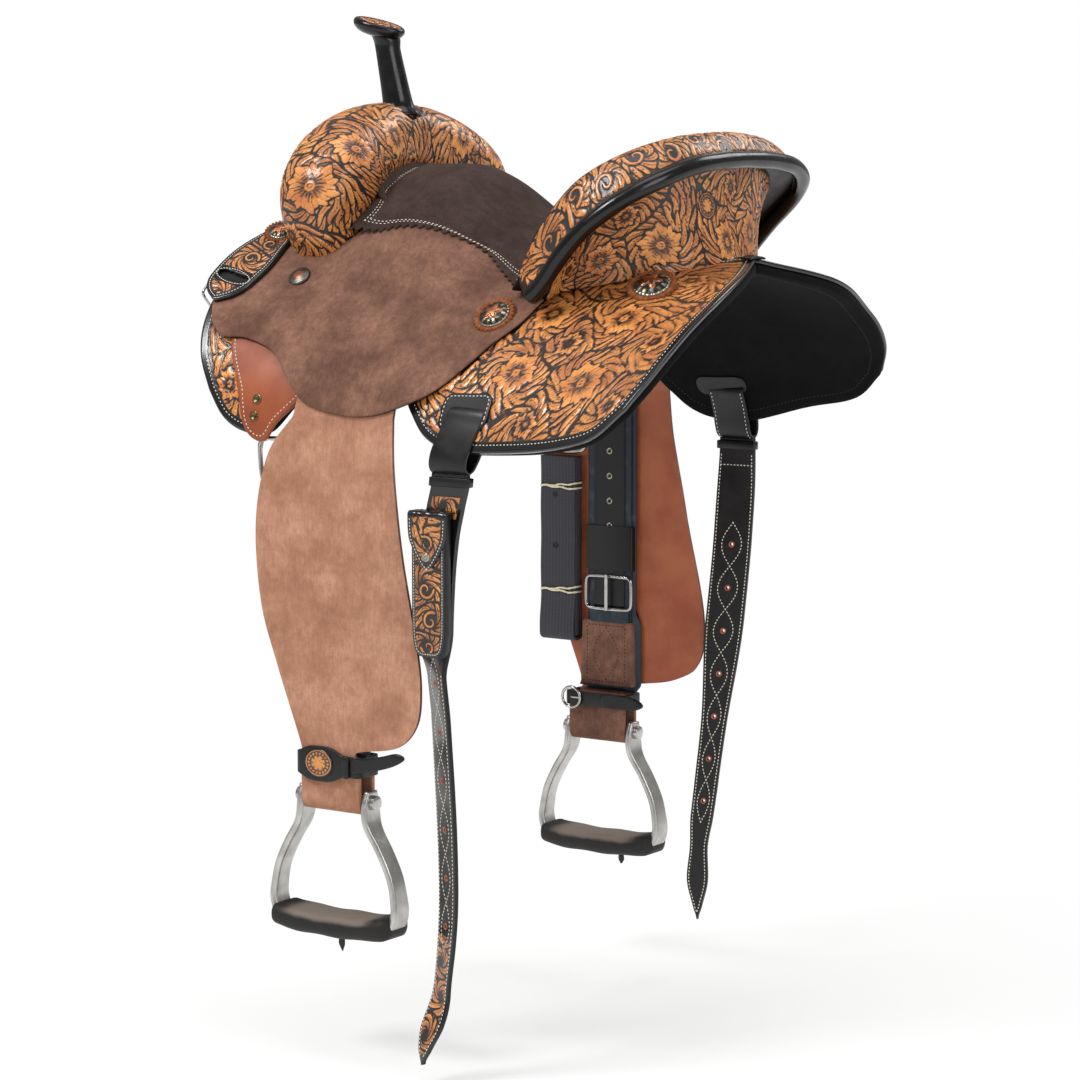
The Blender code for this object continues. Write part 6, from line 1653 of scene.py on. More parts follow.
def stirrup(label, side):
    """The wavy cast stirrup and its leather-wrapped tread."""
    ear = 0.0380 + 0.0015 + 0.0062 / 2
    half = curve_at(((ear, BOLT_Z + 0.012), (ear, BOLT_Z - 0.012), (ear + 0.004, BOLT_Z - 0.028),
                     (ear + 0.018, BOLT_Z - 0.050), (ear + 0.031, BOLT_Z - 0.076), (ARM_BEND, BOLT_Z - 0.100),
                     (ARM_BEND + 0.0005, TREAD_Z + 0.018), (ARM_BEND - 0.004, TREAD_Z + 0.0055),
                     (ARM_BEND - 0.014, TREAD_Z), (0.040, TREAD_Z)), np.linspace(0, 1, 90))
    flat = np.vstack([half * np.array([-1, 1]), half[::-1]])
    path = np.column_stack([np.full(len(flat), BOLT_X), flat[:, 0] + LEG_Y, flat[:, 1]])
    run = np.concatenate([np.linspace(0, 1, 90), np.linspace(1, 0, 90)])
    wide = 0.0138 * smooth(run, (0, 0.06, 0.14, 0.30, 0.55, 0.80, 1.0), (0.62, 0.90, 0.98, 0.84, 0.84, 0.98, 0.98))
    base = rounded_box(1.0, 0.0042, 0.0038, 5)
    profile = np.repeat(base[None], len(path), 0)
    profile[..., 0] = np.sign(base[:, 0]) * (wide[:, None] - 1.0 + np.abs(base[:, 0]))
    profile[..., 1] -= 0.0012 * np.cos(np.clip(profile[..., 0] / wide[:, None], -1, 1) * math.pi / 2)
    rings = sweep(path, (1.0, 0.0, 0.0), profile) * np.array([side, 1, 1])
    tube(f"{label}_cast_stirrup", rings, [SATIN], f"{label}_stirrup", [f"{label}_stirrup_frame"])

    share = np.linspace(-1, 1, 60)
    swell_by = 1 - 0.10 * share ** 4
    body = rounded_box(0.0262, 0.0112, 0.0098, 8)
    pinch = 1 - 0.45 * np.clip((np.abs(share) - 0.90) / 0.10, 0, 1) ** 2
    sag = 0.0055 * np.abs(share) ** 3 - 0.0012
    rings = np.stack([np.stack([BOLT_X + body[:, 0] * w * p,
                                np.full(len(body), LEG_Y + 0.0775 * k),
                                TREAD_Z + up + body[:, 1] * p * (1 + 0.05 * math.sin(9 * k))], -1)
                      for k, w, p, up in zip(share, swell_by, pinch, sag)]) * np.array([side, 1, 1])
    worn = ease(body[None, :, 1] / 0.0112, 0.1, 0.9) * (1 - ease(np.abs(share), 0.50, 0.95))[:, None]
    tube(f"{label}_wrapped_tread", rings, [TREAD], f"{label}_stirrup", [f"{label}_stirrup_tread"],
         fields={"worn": worn})


def pad(name, outline, lift, thick, skins, body, carving=None, band=0.0):
    """A flat piece of leather of any outline in mm: rings shrink from its edge to its middle.

    lift puts places and heights in space. A carved piece gets a black band of that width.
    """
    edge = resample(outline, 1.3 if carving else 2.5, closed=True)[:-1]
    centre = (edge.min(0) + edge.max(0)) / 2
    size = np.linalg.norm(edge - centre, axis=1)
    inner = np.linspace(1 - 1.4 / size.min(), 0.02, int(size.max() / 1.3) if carving else 8)
    shares = np.concatenate([[1.0, 1.0, 1 - 0.5 / size.min()], inner])
    heights = np.concatenate([[0.0, thick * 0.7, thick * 0.95], np.full(len(inner), thick)])
    places = centre + (edge - centre) * shares[:, None, None]
    rise = np.broadcast_to(heights[:, None], places.shape[:2])
    fields = None
    if carving:
        rim = np.maximum(border_distance(places, edge), 0)
        fields = carving.read(places[..., 0], places[..., 1])
        rise = rise + fields.pop("relief") * 0.6 * ease(rim, band, band + 1.0)
        fields["rim"] = rim + 10.0 - band
    return tube(name, lift(places, rise), skins, body, fields=fields)


def flat_stud(name, face, middle, rows, skins, body, count=24, zones=None):
    """A turned stud on a flat face: rings of (radius in mm, height) round a place."""
    spot = ring(1.0, count)
    tube(name, [face(middle + spot * r, h) for r, h in rows], skins, body, zones=zones)


def oblong(middle, half, low, high):
    """The corners of an upright oblong."""
    return np.array([(middle - half, low), (middle - half, high), (middle + half, high), (middle + half, low)])


def on_plane(side, x, way):
    """Puts (y, z) places in mm on a plane across X, with heights counted outward or inward."""
    def lift(places, rise=0.0):
        """The points for places in mm at a height."""
        rise = np.broadcast_to(rise, places.shape[:-1])
        return np.stack([side * (x + way * rise), places[..., 0] / 1000, places[..., 1] / 1000], -1)
    return lift


def run_on(lift, line, way):
    """A stitch run on such a plane."""
    return lift(np.asarray(line, float)), np.broadcast_to(np.array([way, 0.0, 0.0]), (len(line), 3))


def vesica(low, high, count, wide, middle=0.0):
    """Two waves that cross between the holes and part round each one."""
    run = np.linspace(low, high, 40 * count)
    wave = wide * np.sin(math.pi * count * (run - low) / (high - low))
    return [np.stack([run, middle + hand * wave], -1) for hand in (1, -1)]


def ring_wire(name, path, radius, skin, body, sides=12):
    """A round wire along a closed path."""
    path = np.asarray(path, float)
    spread_out = path.max(0) - path.min(0)
    across = np.zeros(3)
    across[int(spread_out.argmin())] = 1.0
    return tube(name, sweep(path, across, ring(radius, sides), True), [skin], body, closed=True)


def band_round(name, side, middle_z, half_height, body, skin, stands_for=()):
    """A strap round the fender's neck and the stirrup's loop; half_height takes the places along it."""
    front = FENDER_PLANE + FENDER_LEATHER + 0.0006 + 0.0018
    rear = BOLT_X - 0.0085 - GAP - 0.0050 - 0.0006 - 0.0018
    loop = resample(rounded_box((front - rear) / 2, 0.0408, 0.0058, 6) * 1000, 1.6, closed=True)[:-1] / 1000
    path = np.stack([side * ((front + rear) / 2 + loop[:, 0]), LEG_Y + loop[:, 1],
                     np.full(len(loop), middle_z)], -1)
    tall = half_height(path[:, 1], loop[:, 0] > 0)
    base = rounded_box(1.0, 0.0018, 0.0012, 4)
    profile = np.repeat(base[None], len(path), 0)
    profile[..., 0] = np.sign(base[:, 0]) * (tall[:, None] - 1.0 + np.abs(base[:, 0]))
    tube(name, sweep(path, UP, profile, True), [skin], body, stands_for, closed=True)
    return front + 0.0018, rear - 0.0018


def hobble(label, side):
    """The near strap is broad under a round stamp, with a keeper and a tail; the off one is narrow, with a ring."""
    body = f"{label}_leg"
    if side > 0:
        front, rear = band_round("near_hobble_band", side, -0.4475,
                                 lambda y, outer: 0.0110 + 0.0075 * np.exp(-((y + 0.091) / 0.024) ** 4) * outer,
                                 body, BLACK, ["near_hobble_strap"])
        face = on_plane(side, front, 1)
        middle = np.array([-91, -446.5])
        outline = middle + ring(1.0, 90) * (18.0, 14.8)
        carving = Carving((-112, -466), (-70, -426), lambda a, b: 19 - np.hypot(a + 91, (b + 446.5) * 1.2), 61)
        medallion(carving, -91, -446.5, 17.0, 1.22)
        pad("near_hobble_stamp", outline, face, 0.0012, [CARVED], body, carving, 0.8)
        tail = curve_at(((-58, -454), (-40, -452), (-12, -446), (8, -439), (19, -431), (8, -427), (-12, -432),
                         (-40, -438), (-58, -440), (-58, -454)), np.linspace(0, 1, 60)[:-1])
        pad("near_hobble_tail", tail, on_plane(side, front - 0.0022, 1), 0.0026, [BLACK], body)
        box = rounded_box(4.0, 12.0, 3.4) + np.array([-55, -447.5])
        pad("near_hobble_keeper", box, face, 0.0032, [BLACK], body)
        seam = (outline[::2] - middle) * 1.12 + middle
        stitches("near_hobble_stitching", [run_on(face, seam, 1)], body, DARK_THREAD)
        return
    front, rear = band_round("off_hobble_band", side, -0.4490, lambda y, outer: np.full(len(y), 0.0080), body, BLACK,
                             ["off_hobble_strap"])
    face = on_plane(side, rear, -1)
    hoop = (-112, -448) + ring(1.0, 48) * (12.5, 12.0)
    ring_wire("off_hobble_ring", face(hoop, 0.0022), 0.0017, STEEL, body)
    box = rounded_box(8.0, 1.2, 1.0) + np.array([-106, -448])
    pad("off_hobble_pin", box, face, 0.0026, [STEEL], body)
    tail = curve_at(((-70, -457), (-44, -457), (-24, -456), (-13, -450), (-24, -443), (-44, -441), (-70, -441),
                     (-70, -457)), np.linspace(0, 1, 50)[:-1])
    pad("off_hobble_tail", tail, face, 0.0026, [BLACK], body)


def stirrup_straps(label, side):
    """The stirrup leather with its blue-edged backing, the suede wrap at its foot, and its steel."""
    body = f"{label}_leg"
    refined(f"{label}_stirrup_leather", [BLUE_EDGE], 0.0008)
    mid = LEATHER_Y * 1000
    face = on_plane(side, LEATHER_INNER_X, -1)
    pad(f"{label}_eyelet_strap", oblong(mid, 21, -341, -100), face, 0.0011, [BLACK], body)
    seam = [np.stack([np.full(60, mid + hand * 18.5), np.linspace(-104, -338, 60)], -1) for hand in (1, -1)]
    stitches(f"{label}_eyelet_strap_seam", [run_on(on_plane(side, LEATHER_INNER_X - 0.0011, -1), line, -side)
                                            for line in seam], body, DARK_THREAD)
    for k in range(EYELETS):
        flat_stud(f"{label}_eyelet_{k}", face, (mid, EYELET_TOP_MM - k * EYELET_PITCH_MM),
                  ((3.9, 0.0006), (3.9, 0.0014), (3.2, 0.0019), (2.4, 0.0016), (2.1, 0.0010), (0.3, 0.0010)),
                  [SILVER, BLACK], body, zones=np.repeat((0, 0, 0, 0, 1), 24))
    pad(f"{label}_buckle_fold", oblong(mid, 27, -364, -343), face, 0.0030, [BLUE_EDGE], body)
    refined(f"{label}_leather_keeper", [BLACK], 0.0008)
    refined(f"{label}_leather_buckle", [STEEL], 0, 1, 60)
    refined(f"{label}_buckle_tongue", [STEEL], 0.0004)
    suede = FENDER if side > 0 else JOCKEY
    refined(f"{label}_stirrup_loop", [suede], 0.0010, 0, 50)
    refined(f"{label}_stirrup_bolt", [STEEL], 0.0004)
    backing = np.array([(mid - 33, -440), (mid - 33, -92), (mid + 33, -92), (mid + 33, -350), (mid + 40, -362),
                        (mid + 40, -432), (mid + 33, -440)])
    pad(f"{label}_leather_backing", backing, on_plane(side, LEATHER_INNER_X + 0.0047, 1), 0.0022, [BLUE_EDGE],
        body)
    z = np.array([-0.4335, -0.4330, -0.4250, -0.3950, -0.3630, -0.3585, -0.3580])
    wide = np.array([0.0345, 0.0360, 0.0362, 0.0350, 0.0340, 0.0338, 0.0322])
    thick = np.array([0.0040, 0.0052, 0.0055, 0.0055, 0.0055, 0.0052, 0.0040])
    middle = LEATHER_INNER_X + 0.00225
    boxes = [rounded_box(t, w, 0.0030) + (middle, LEATHER_Y - 0.003) for w, t in zip(wide, thick)]
    rings = np.stack([np.insert(box, 2, h, axis=1) for h, box in zip(z, boxes)])
    tube(f"{label}_suede_wrap", rings * np.array([side, 1, 1]), [suede], body)
    face = on_plane(side, middle - 0.0055, -1)
    box = rounded_box(26, 33, 3) + np.array([mid - 3, -396])
    crossed = [line[:, ::-1] for line in vesica(-426, -366, 1, 17, mid - 3)]
    stitches(f"{label}_wrap_stitching", [run_on(face, np.vstack([line, line[:1]]) if k == 0 else line, -side)
                                         for k, line in enumerate([box] + crossed)], body, DARK_THREAD)
    if side > 0:
        lace = np.array([(-80, -626), (-74, -626), (-73, -640), (-76, -648), (-81, -640)])
    else:
        lace = np.array([(-58, -626), (-53, -626), (-51, -638), (-55, -644), (-59, -638)])
    pad(f"{label}_tread_lace", lace, on_plane(side, BOLT_X, 1), 0.0016, [BLACK], f"{label}_stirrup")


# ---------------------------------------------------------------- billets
NEAR_BILLET = (0.602, ((0.0, 0.0765), (0.03, 0.0700), (0.06, 0.0630), (0.11, 0.0570), (0.19, 0.0530),
                       (0.25, 0.0565), (0.44, 0.0620), (0.602, 0.0560)),
               ((0.0, 0.0), (0.155, 0.0), (0.205, -34.0), (0.48, -27.0), (0.602, -22.0)),
               ((0.0, 0.0), (0.12, -0.001), (0.25, -0.006), (0.42, -0.009), (0.53, -0.004), (0.602, 0.016)),
               ((0, 1.0), (0.46, 1.0), (0.70, 0.84), (0.80, 0.72), (0.86, 0.64), (0.93, 0.80), (0.975, 0.42),
                (1.0, 0.06)))
OFF_BILLET = (0.560, ((0.0, BILLET_Y), (0.10, 0.0860), (0.22, 0.0740), (0.31, 0.0640), (0.40, 0.052),
                      (0.48, 0.042), (0.56, 0.039)),
              ((0.0, 0.0), (0.07, -12.0), (0.25, -15.0), (0.56, -10.0)),
              ((0.0, 0.0), (0.25, -0.0005), (0.40, -0.001), (0.50, 0.0005), (0.56, 0.005)),
              ((0, 1.0), (0.36, 1.0), (0.60, 0.66), (0.78, 0.60), (0.845, 0.47), (0.91, 0.57), (0.975, 0.22),
               (1.0, 0.04)))


def billet_hinge():
    """Where the hanging billet turns: just under the end of its loop."""
    end = back_form(BILLET_Y, LOOP_END_S, LOOP_END_DEPTH)
    return float(end[0]), float(end[2]) - STRAP_LEATHER / 2 - 0.0008


def billet_frame(shape, side, run):
    """Centre, width direction and outward direction of a hanging billet at runs down it."""
    x, z = billet_hinge()
    y, twist, curl = (smooth(run, *np.array(table).T) for table in shape[1:4])
    angle = np.radians(twist)
    level = np.zeros_like(angle)
    out = np.stack([side * np.cos(angle), np.sin(angle), level], -1)
    wide = np.stack([-side * np.sin(angle), np.cos(angle), level], -1)
    return np.stack([np.full_like(y, side * x), y, z - run], -1) + out * curl[..., None], wide, out


def billet_half_width(shape, share):
    """Half the billet's width: full, then a taper, a waist and a spade-shaped point."""
    return BILLET_WIDTH / 2 * smooth(share, *np.array(shape[4]).T)


def billet(label, side, shape, holes):
    """A hanging billet with punched holes, edge stitching and two crossing waves of thread."""
    length = shape[0]
    body = f"{label}_billet"
    run = np.linspace(-0.0020, length, int(length * 1000 / 1.25))
    across = np.concatenate([[-1, -0.985, -0.95], np.linspace(-0.90, 0.90, 29), [0.95, 0.985, 1]])
    half = billet_half_width(shape, run / length)
    a = np.repeat(run[:, None] * 1000, len(across), 1)
    b = half[:, None] * across[None] * 1000
    keep = np.ones((len(run) - 1, len(across) - 1), bool)
    for hole in holes:
        away = np.hypot(a - hole, b)
        near = (away < 4.4) & (away > 1e-6)
        push = np.where(near, np.maximum(away, 2.8 + 1.6 * (away / 4.4) ** 3), away) / np.maximum(away, 1e-6)
        a, b = np.where(near, hole + (a - hole) * push, a), np.where(near, b * push, b)
        gone = away < 2.2
        middle = (away[:-1, :-1] + away[1:, 1:] + away[1:, :-1] + away[:-1, 1:]) / 4
        keep &= ~(middle < 2.2) & ~gone[:-1, :-1]
    rim = (half * 1000)[:, None] - np.abs(b)
    drop = worked_edge(np.maximum(rim, 0), 1.3)
    centre, wide, out = billet_frame(shape, side, a / 1000)
    flat = centre + wide * (b / 1000)[..., None]
    thick = STRAP_LEATHER / 2 * np.where(a < 0, 0.6, 1.0)
    fields = None
    if side > 0:
        carving = Carving((0, -24), (605, 24), lambda p, q: 20 - np.abs(q), 71)
        carving.swirls(((30, 0, 4), (45, -8, 4), (470, 6, 4), (500, -6, 4), (535, 4, 4), (575, -3, 4)), 14, 6.0, 3)
        fields = carving.read(a, b)
        top = np.minimum(np.minimum(a - 19, 41 - a), 17 - np.abs(b))
        tip = np.minimum(np.minimum(a - 470, 590 - a), (half * 1000)[:, None] - 3.4 - np.abs(b))
        inside = np.maximum(top, tip)
        fields["rim"] = 10 + np.clip(inside, -6, 6)
        flat = flat + out * (fields.pop("relief") * 0.4 * ease(inside, 0, 1))[..., None]
    skin = CARVED if side > 0 else BLACK
    sheet(f"{label}_billet_strap", flat - out * (thick - drop)[..., None], flat + out * (thick - drop)[..., None],
          [skin, BLACK, BLACK], body, [f"{label}_flank_billet"], fields, keep, (0, 1, 2))

    def runs(line):
        """A stitch run for a line of (run, place across) in mm."""
        p, w, o = billet_frame(shape, side, line[:, 0] / 1000)
        return p + w * (line[:, 1:] / 1000) + o * side * STRAP_LEATHER / 2, o * side

    rows = []
    along = np.arange(16 if side < 0 else 200, length * 1000 - 9, 2.0)
    seam = billet_half_width(shape, along / length / 1000) * 1000 - 2.9
    for hand in (1, -1):
        rows.append(runs(np.stack([along, hand * seam], -1)))
    for hole in holes:
        swing = billet_half_width(shape, hole / length / 1000) * 1000 * 0.52
        for line in vesica(hole - 25, hole + 25, 1, swing):
            rows.append(runs(line))
    if side < 0:
        rows.append(runs(np.stack([np.full(20, 27.0), np.linspace(-19, 19, 20)], -1)))
    stitches(f"{label}_billet_stitching", rows, body, THREAD, 0.0040, 0.0027, 0.0013)
    for k, hole in enumerate(holes):
        line = ring(2.75, 24) + (hole, 0)
        for hand in (1, -1):
            p, w, o = billet_frame(shape, side, line[:, 0] / 1000)
            path = p + w * (line[:, 1:] / 1000) + o * hand * (STRAP_LEATHER / 2 - 0.0004)
            ring_wire(f"{label}_billet_hole_{k}_{hand + 1}", path, 0.0010, RUSSET, body, 8)
    tie = np.array([-0.0008, 0.0]) + rounded_box(STRAP_LEATHER / 2 + 0.0022, BILLET_WIDTH / 2 + 0.0026, 0.0026)
    rings = []
    for at in (-0.0006, 0.0, 0.0082, 0.0088):
        p, w, o = billet_frame(shape, side, np.array([at]))
        grow = 1.0 if -0.0005 < at < 0.0085 else 0.94
        rings.append(p + o * tie[:, :1] * grow + w * tie[:, 1:] * grow)
    tube(f"{label}_billet_lace", rings, [BLACK], body)
    p, w, o = billet_frame(shape, side, np.array([-0.0022]))
    roll = ring(0.0034, 16)
    rings = p + w * np.linspace(-0.0215, 0.0215, 12)[:, None, None] + (o * roll[:, :1] + UP * roll[:, 1:])
    tube(f"{label}_billet_roll", rings, [BLACK], body)


def billet_loop(label, side):
    """The strap's end: out of its slot, down over the skirt, round the edge and up behind it."""
    t = LOOP_THICKNESS / 2
    over = SKIRT_OUT + LAYER_GAP + t
    under = -LAYER_GAP - t
    line = np.array([(SLOT_S - 0.0004, over - 0.0030), (SLOT_S + 0.0040, over + 0.0004), (0.3000, over),
                     (0.3180, over), (0.3320, over - 0.0002), (0.3420, over - 0.0030),
                     (LOOP_END_S - t, LOOP_END_DEPTH), (0.3420, under + 0.0030), (0.3320, under + 0.0002),
                     (0.3180, under), (0.3000, under), (SLOT_S + 0.0040, under - 0.0002),
                     (SLOT_S - 0.0004, under + 0.0030)])
    line = curve_at(line, np.linspace(0, 1, 60))
    lean = (0.0145 if side > 0 else 0.0) * ease(line[:, 0], SLOT_S, LOOP_END_S)
    path = back_form(BILLET_Y, line[:, 0], line[:, 1]) * np.array([side, 1, 1]) - lean[:, None] * (0, 1, 0)
    profile = rounded_box(BILLET_WIDTH / 2, t, 0.0014, 4)
    tube(f"{label}_billet_fold", sweep(path, (0.0, 1.0, 0.0), profile), [BLACK], ROOT, [f"{label}_billet_loop"])
    ahead = unit(np.gradient(path, axis=0))
    out = np.cross(ahead, (0.0, 1.0, 0.0))
    out = out * np.sign((out * (path - path.mean(0))).sum())
    if side < 0:
        rows = [(path[3:-3] + out[3:-3] * t + np.array([0, hand * 0.0190, 0]), out[3:-3]) for hand in (1, -1)]
        stitches(f"{label}_fold_stitching", rows, ROOT, THREAD)
    for where, way in ((SKIRT_OUT, 1), (0.0, -1)):
        half_high = 19 if way > 0 else 12
        outline = rounded_box(31, half_high, 11, 10) + np.array([BILLET_Y * 1000 - 5, 270.0 + half_high])
        place = f"{label}_slot_patch_{'out' if way > 0 else 'in'}"
        pad(place, outline, lambda p, h: on_form(back_form, side, p, where + way * (0.0002 + h))[0], 0.0016,
            [BLACK], ROOT)
        seam = inset(outline, 3.2)
        if way * side > 0:
            point, normal = on_form(back_form, side, seam, where + 0.0019)
            stitches(place + "_stitching", [(point, normal)], ROOT, THREAD)


def pouch():
    """The pouch on the near billet: black sides, a carved front bound in black, and a flap with a snap."""
    refined("hoof_pick_pouch", [BLACK], 0.0012)
    x, z = billet_hinge()
    front = x + STRAP_LEATHER / 2 + GAP + POUCH_DEPTH
    top = (z - POUCH_DROP) * 1000
    mid = POUCH_Y * 1000
    drop = np.array([5, 100, 120, 130, 138, 144])
    wide = np.array([20.0, 19.9, 19.6, 18.4, 16.4, 11.0])
    outline = np.concatenate([np.stack([mid + wide, top - drop], -1), np.stack([mid - wide, top - drop], -1)[::-1]])
    carving = Carving((mid - 24, top - 150), (mid + 24, top + 6), lambda a, b: 21 - np.abs(a - mid), 81)
    carving.scrolls(((mid - 3, top - 76, 7), (mid + 3, top - 108, 7), (mid, top - 30, 6), (mid, top - 134, 6)),
                    13, 6.2, 3)
    face = on_plane(1, front, 1)
    pad("pouch_front", outline, face, 0.0006, [CARVED], "near_billet", carving, 4.2)
    stitches("pouch_stitching", [run_on(on_plane(1, front + 0.0007, 1), inset(outline, 2.4), 1)], "near_billet",
             THREAD, 0.0030, 0.0023, 0.0008)
    back = front - POUCH_DEPTH
    over = top / 1000 + GAP
    skin = FLAP_LEATHER
    bend = np.linspace(0, math.pi / 2, 7)
    drops = np.concatenate([np.linspace(0.004, 0.050, 26), [0.0520, 0.0535, 0.0545, 0.0550]])
    inner, outer = (np.concatenate([[(back + 0.0004, over + rise), (back + 0.0070, over + rise)],
                                    np.stack([front - 0.0010 + (0.0015 + rise) * np.sin(bend),
                                              over - 0.0015 + (0.0015 + rise) * np.cos(bend)], -1),
                                    np.stack([np.full(30, front + 0.0005 + rise), top / 1000 - drops], -1)])
                    for rise in (0.0, skin))
    fall = np.concatenate([np.zeros(9), drops * 1000])
    wide = smooth(fall, (0, 8, 22, 36, 48, 53, 55), (24.0, 24.0, 23.0, 17.5, 10.0, 6.0, 1.5)) / 1000
    across = np.concatenate([[-1, -0.975], np.linspace(-0.93, 0.93, 25), [0.975, 1]])
    y = POUCH_Y + wide[:, None] * across
    a, b = y * 1000, np.broadcast_to((top - fall)[:, None], y.shape)
    rim = np.minimum(wide[:, None] * 1000 - np.abs(a - mid), (55 - fall)[:, None] * 0.7)
    fields = carving.read(a, b)
    rise = fields.pop("relief") * 0.6 * ease(rim, 5.8, 6.8) - worked_edge(np.maximum(rim, 0), 1.0)
    fields["rim"] = np.where((fall < 4)[:, None], 0, rim + 4.0)
    way = unit(outer - inner)[:, None]
    flap_in = np.stack([np.broadcast_to(inner[:, :1], y.shape), y, np.broadcast_to(inner[:, 1:], y.shape)], -1)
    flap_out = np.stack([outer[:, :1] + way[..., 0] * rise, y, outer[:, 1:] + way[..., 1] * rise], -1)
    sheet("flap_leather", flap_in, flap_out, [CARVED, BLACK], "flap", ["pouch_flap"], fields, zones=(0, 1, 1))
    face = on_plane(1, front + 0.0005 + skin, 1)
    rows = fall > 5
    seam = [np.stack([mid + hand * (wide[rows] * 1000 - 3.2).clip(0), top - fall[rows]], -1) for hand in (1, -1)]
    stitches("flap_stitching", [run_on(face, line, 1) for line in seam], "flap", THREAD, *SMALL_STITCH)
    flat_stud("flap_snap", face, (mid, top - 43),
              ((4.6, 0.0), (4.6, 0.0010), (4.0, 0.0018), (3.0, 0.0021), (2.6, 0.0017), (1.4, 0.0020), (0.2, 0.0021)),
              [SILVER], "flap", 32)


def latigo():
    """The folded nylon latigo and the two strings that tie it up."""
    turn = np.linspace(0, math.pi, 17)
    for name, u, low in (("folded_latigo", 0.0060, LATIGO_BOTTOM),
                         ("folded_latigo_inside", 0.0020, LATIGO_BOTTOM + 0.0055)):
        fall = np.linspace(LATIGO_TOP, low + u + 0.0018, 70)
        out = np.concatenate([np.full(70, u), u * np.cos(turn[1:-1]), np.full(70, -u)])
        level = np.concatenate([fall, fall[-1] - u * np.sin(turn[1:-1]), fall[::-1]])
        out = out * (1 + 0.35 * ease(-level, 0.33, 0.37) * (u > 0.004)) + 0.0005 * np.sin(level * 90)
        path = np.column_stack([-(DEE_X + out), np.full(len(out), DEE_Y), level])
        tube(name, sweep(path, (0.0, 1.0, 0.0), rounded_box(0.0240, 0.0018, 0.0012, 4)), [WEBBING], "latigo",
             ["latigo_strap"] if u > 0.004 else ())
    face = on_plane(-1, DEE_X - 0.0080, -1)
    for k, level in enumerate(LATIGO_EYELETS_MM):
        flat_stud(f"latigo_eyelet_{k}", face, (-145.0, level),
                  ((3.4, -0.0004), (3.4, 0.0004), (2.9, 0.0007), (2.0, 0.0005), (1.6, 0.0001), (0.2, 0.0001)),
                  [BLACK], "latigo")
    for k, level in enumerate(LATIGO_TIES):
        loop = resample(rounded_box(0.0089, 0.0248, 0.0050, 6) * 1000, 1.2, closed=True)[:-1] / 1000
        for turn_of, shift, slant in ((0, 0.0, -0.06), (1, 0.0024, 0.09)):
            path = np.stack([-(DEE_X + loop[:, 0]), DEE_Y + loop[:, 1],
                             level + shift + slant * loop[:, 1] + 0.0006 * np.sin(loop[:, 1] * 300)], -1)
            twist = np.arange(len(path)) * 0.9
            section = ring(0.0011, 8)
            wave = 1 + 0.16 * np.cos(twist[:, None] - 2 * round_angles(8))
            tube(f"latigo_string_{k}_{turn_of}", sweep(path, UP, section * wave[..., None], True), [STRING],
                 "latigo", closed=True)


def legs():
    """Both legs, rigging rings and billets, then the pouch, the latigo and the tie behind the cantle."""
    for label, side in SIDES:
        fender(label, side)
        stirrup(label, side)
        stirrup_straps(label, side)
        hobble(label, side)
        billet_loop(label, side)
        refined(f"{label}_rigging_dee", [STEEL], 0, 1, 70)
        refined(f"{label}_breast_dee", [STEEL], 0, 1, 70)
    for (label, side), shape, holes in zip(SIDES, (NEAR_BILLET, OFF_BILLET), BILLET_HOLES):
        last = (shape[0] - LAST_HOLE_TO_TIP) * 1000
        billet(label, side, shape, [last - BILLET_HOLE_PITCH * 1000 * k for k in range(holes - 1, -1, -1)])
    pouch()
    latigo()
    refined("skirt_tie", [BLACK], 0.0008)


# ---------------------------------------------------------------- room, light and camera
def framed(thing, right, rise, back, place):
    """Puts a lamp or the camera at a place, looking against its back direction."""
    bpy.context.scene.collection.objects.link(thing)
    turn = np.stack([right, rise, back], -1)
    thing.matrix_world = Matrix([(*row, at) for row, at in zip(turn, place)] + [(0, 0, 0, 1)])


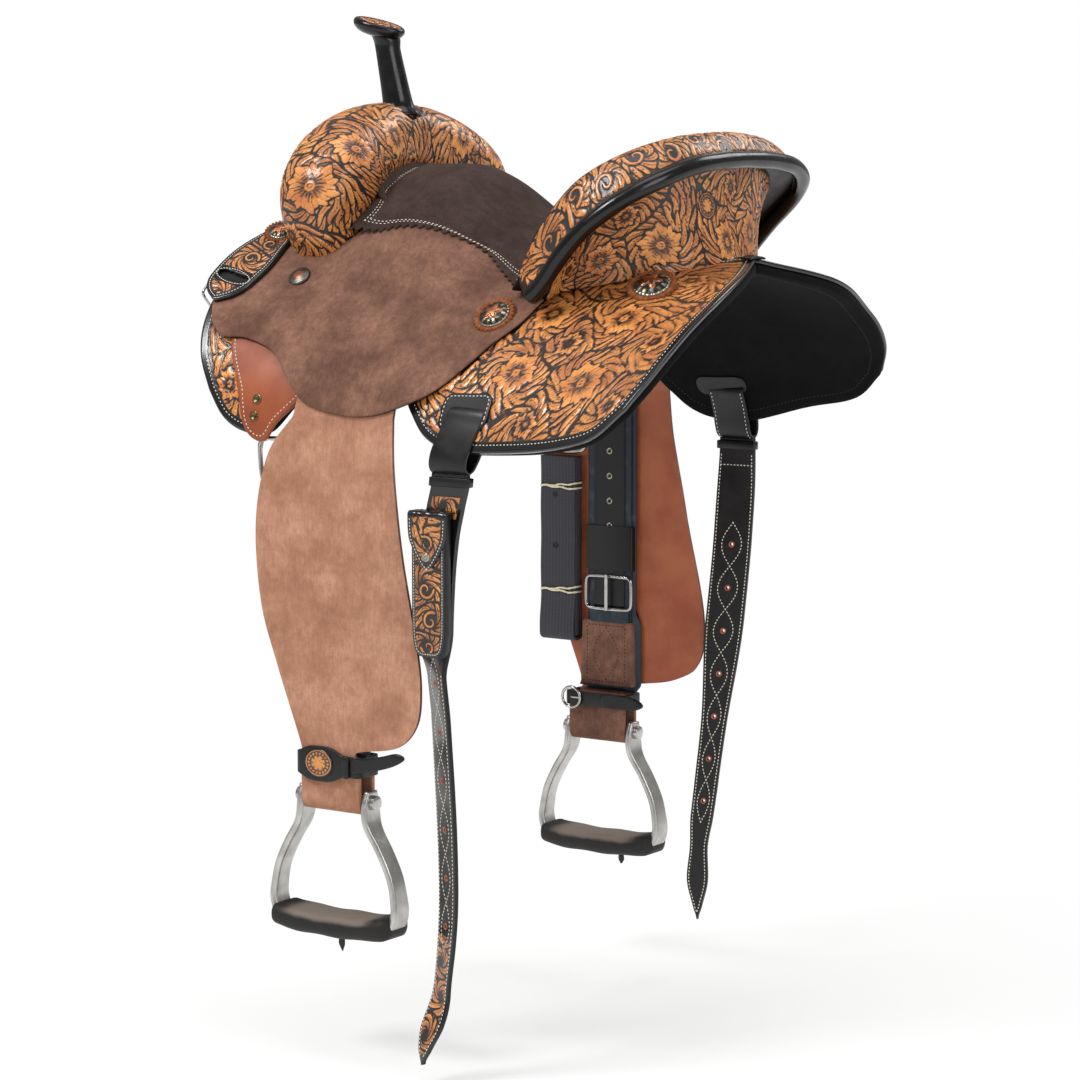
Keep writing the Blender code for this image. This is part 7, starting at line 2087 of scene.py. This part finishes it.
def stage():
    """A pale floor under the lowest strap, white beyond it, soft lamps at a plain level."""
    scene = bpy.context.scene
    low = min(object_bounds()[0][2], CAD_BOX[0][2])
    mesh = bpy.data.meshes.new("floor")
    corners = [(x * FLOOR_REACH, y * FLOOR_REACH, 0) for x, y in ((-1, -1), (1, -1), (1, 1), (-1, 1))]
    mesh.from_pydata(corners, [], [(0, 1, 2, 3)])
    mesh.transform(Matrix.Translation((0, 0, low - FLOOR_GAP)))
    floor = bpy.data.objects.new("floor", mesh)
    scene.collection.objects.link(floor)
    made, tree, shader = material("white_paper", roughness=0.9)
    where = place_of(tree)
    tree.links.new(mixed(tree, noise(tree, where, 400.0), "#f7f7f6", "#fcfcfb"), shader.inputs["Base Color"])
    far = node(tree, "ShaderNodeVectorMath", {0: where}, operation="LENGTH").outputs["Value"]
    glow = node(tree, "ShaderNodeEmission", {"Color": (1, 1, 1, 1), "Strength": 1.0})
    both = node(tree, "ShaderNodeMixShader", {0: spread(tree, far, 0.15, 1.5), 1: shader.outputs[0],
                                              2: glow.outputs[0]})
    tree.links.new(both.outputs[0], tree.nodes["Material Output"].inputs["Surface"])
    mesh.materials.append(made)
    floor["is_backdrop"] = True

    world = bpy.data.worlds.new("studio")
    scene.world = world
    world.use_nodes = True
    tree = world.node_tree
    tree.nodes.clear()
    path = node(tree, "ShaderNodeLightPath").outputs
    soft = mixed_value(tree, path["Is Glossy Ray"], 0.62, 0.30)
    strength = mixed_value(tree, path["Is Camera Ray"], soft, 1.0)
    glow = node(tree, "ShaderNodeBackground", {"Color": (1, 1, 1, 1), "Strength": strength})
    node(tree, "ShaderNodeOutputWorld", {"Surface": glow.outputs[0]})

    for name, place, size, power in (("key", (2.2, -1.2, 2.4), 1.0, 62.0), ("fill", (1.2, 2.9, 1.3), 1.8, 34.0),
                                     ("rim", (-2.4, 0.8, 2.2), 1.4, 26.0), ("top", (0.3, 0.2, 3.0), 2.0, 26.0)):
        lamp = bpy.data.lights.new(name, "AREA")
        lamp.size = size
        lamp.energy = power
        aim = unit(np.array(place) - np.array((0.0, 0.0, -0.15)))
        across = unit(np.cross(UP, aim))
        framed(bpy.data.objects.new(name, lamp), across, np.cross(aim, across), aim, place)

    th, ph = PHOTO_TURN, PHOTO_LIFT
    back = np.array([math.cos(th) * math.cos(ph), math.sin(th) * math.cos(ph), math.sin(ph)])
    right = np.array([-math.sin(th), math.cos(th), 0.0])
    lens = bpy.data.cameras.new("camera")
    lens.sensor_width = 36.0
    lens.lens = PHOTO_LENS_MM
    camera = bpy.data.objects.new("camera", lens)
    framed(camera, right, np.cross(back, right), back, PHOTO_AIM + back * PHOTO_AWAY)
    scene.camera = camera
    scene.view_settings.view_transform = "Standard"


def plain_nodes():
    """The tree and the ground seat keep their CAD solids, in pine and russet."""
    skins = dict.fromkeys(("tree_fork", "tree_near_bar", "tree_off_bar", "tree_cantle"), PINE)
    for name, skin in (skins | {"ground_seat": RUSSET}).items():
        frame["nodes"][name].data.materials.clear()
        frame["nodes"][name].data.materials.append(skin)


plain_nodes()
skirts()
rigging_plates()
jockeys()
seat()
swell()
gullet()
horn()
cantle()
rosettes()
keeper()
legs()
stage()
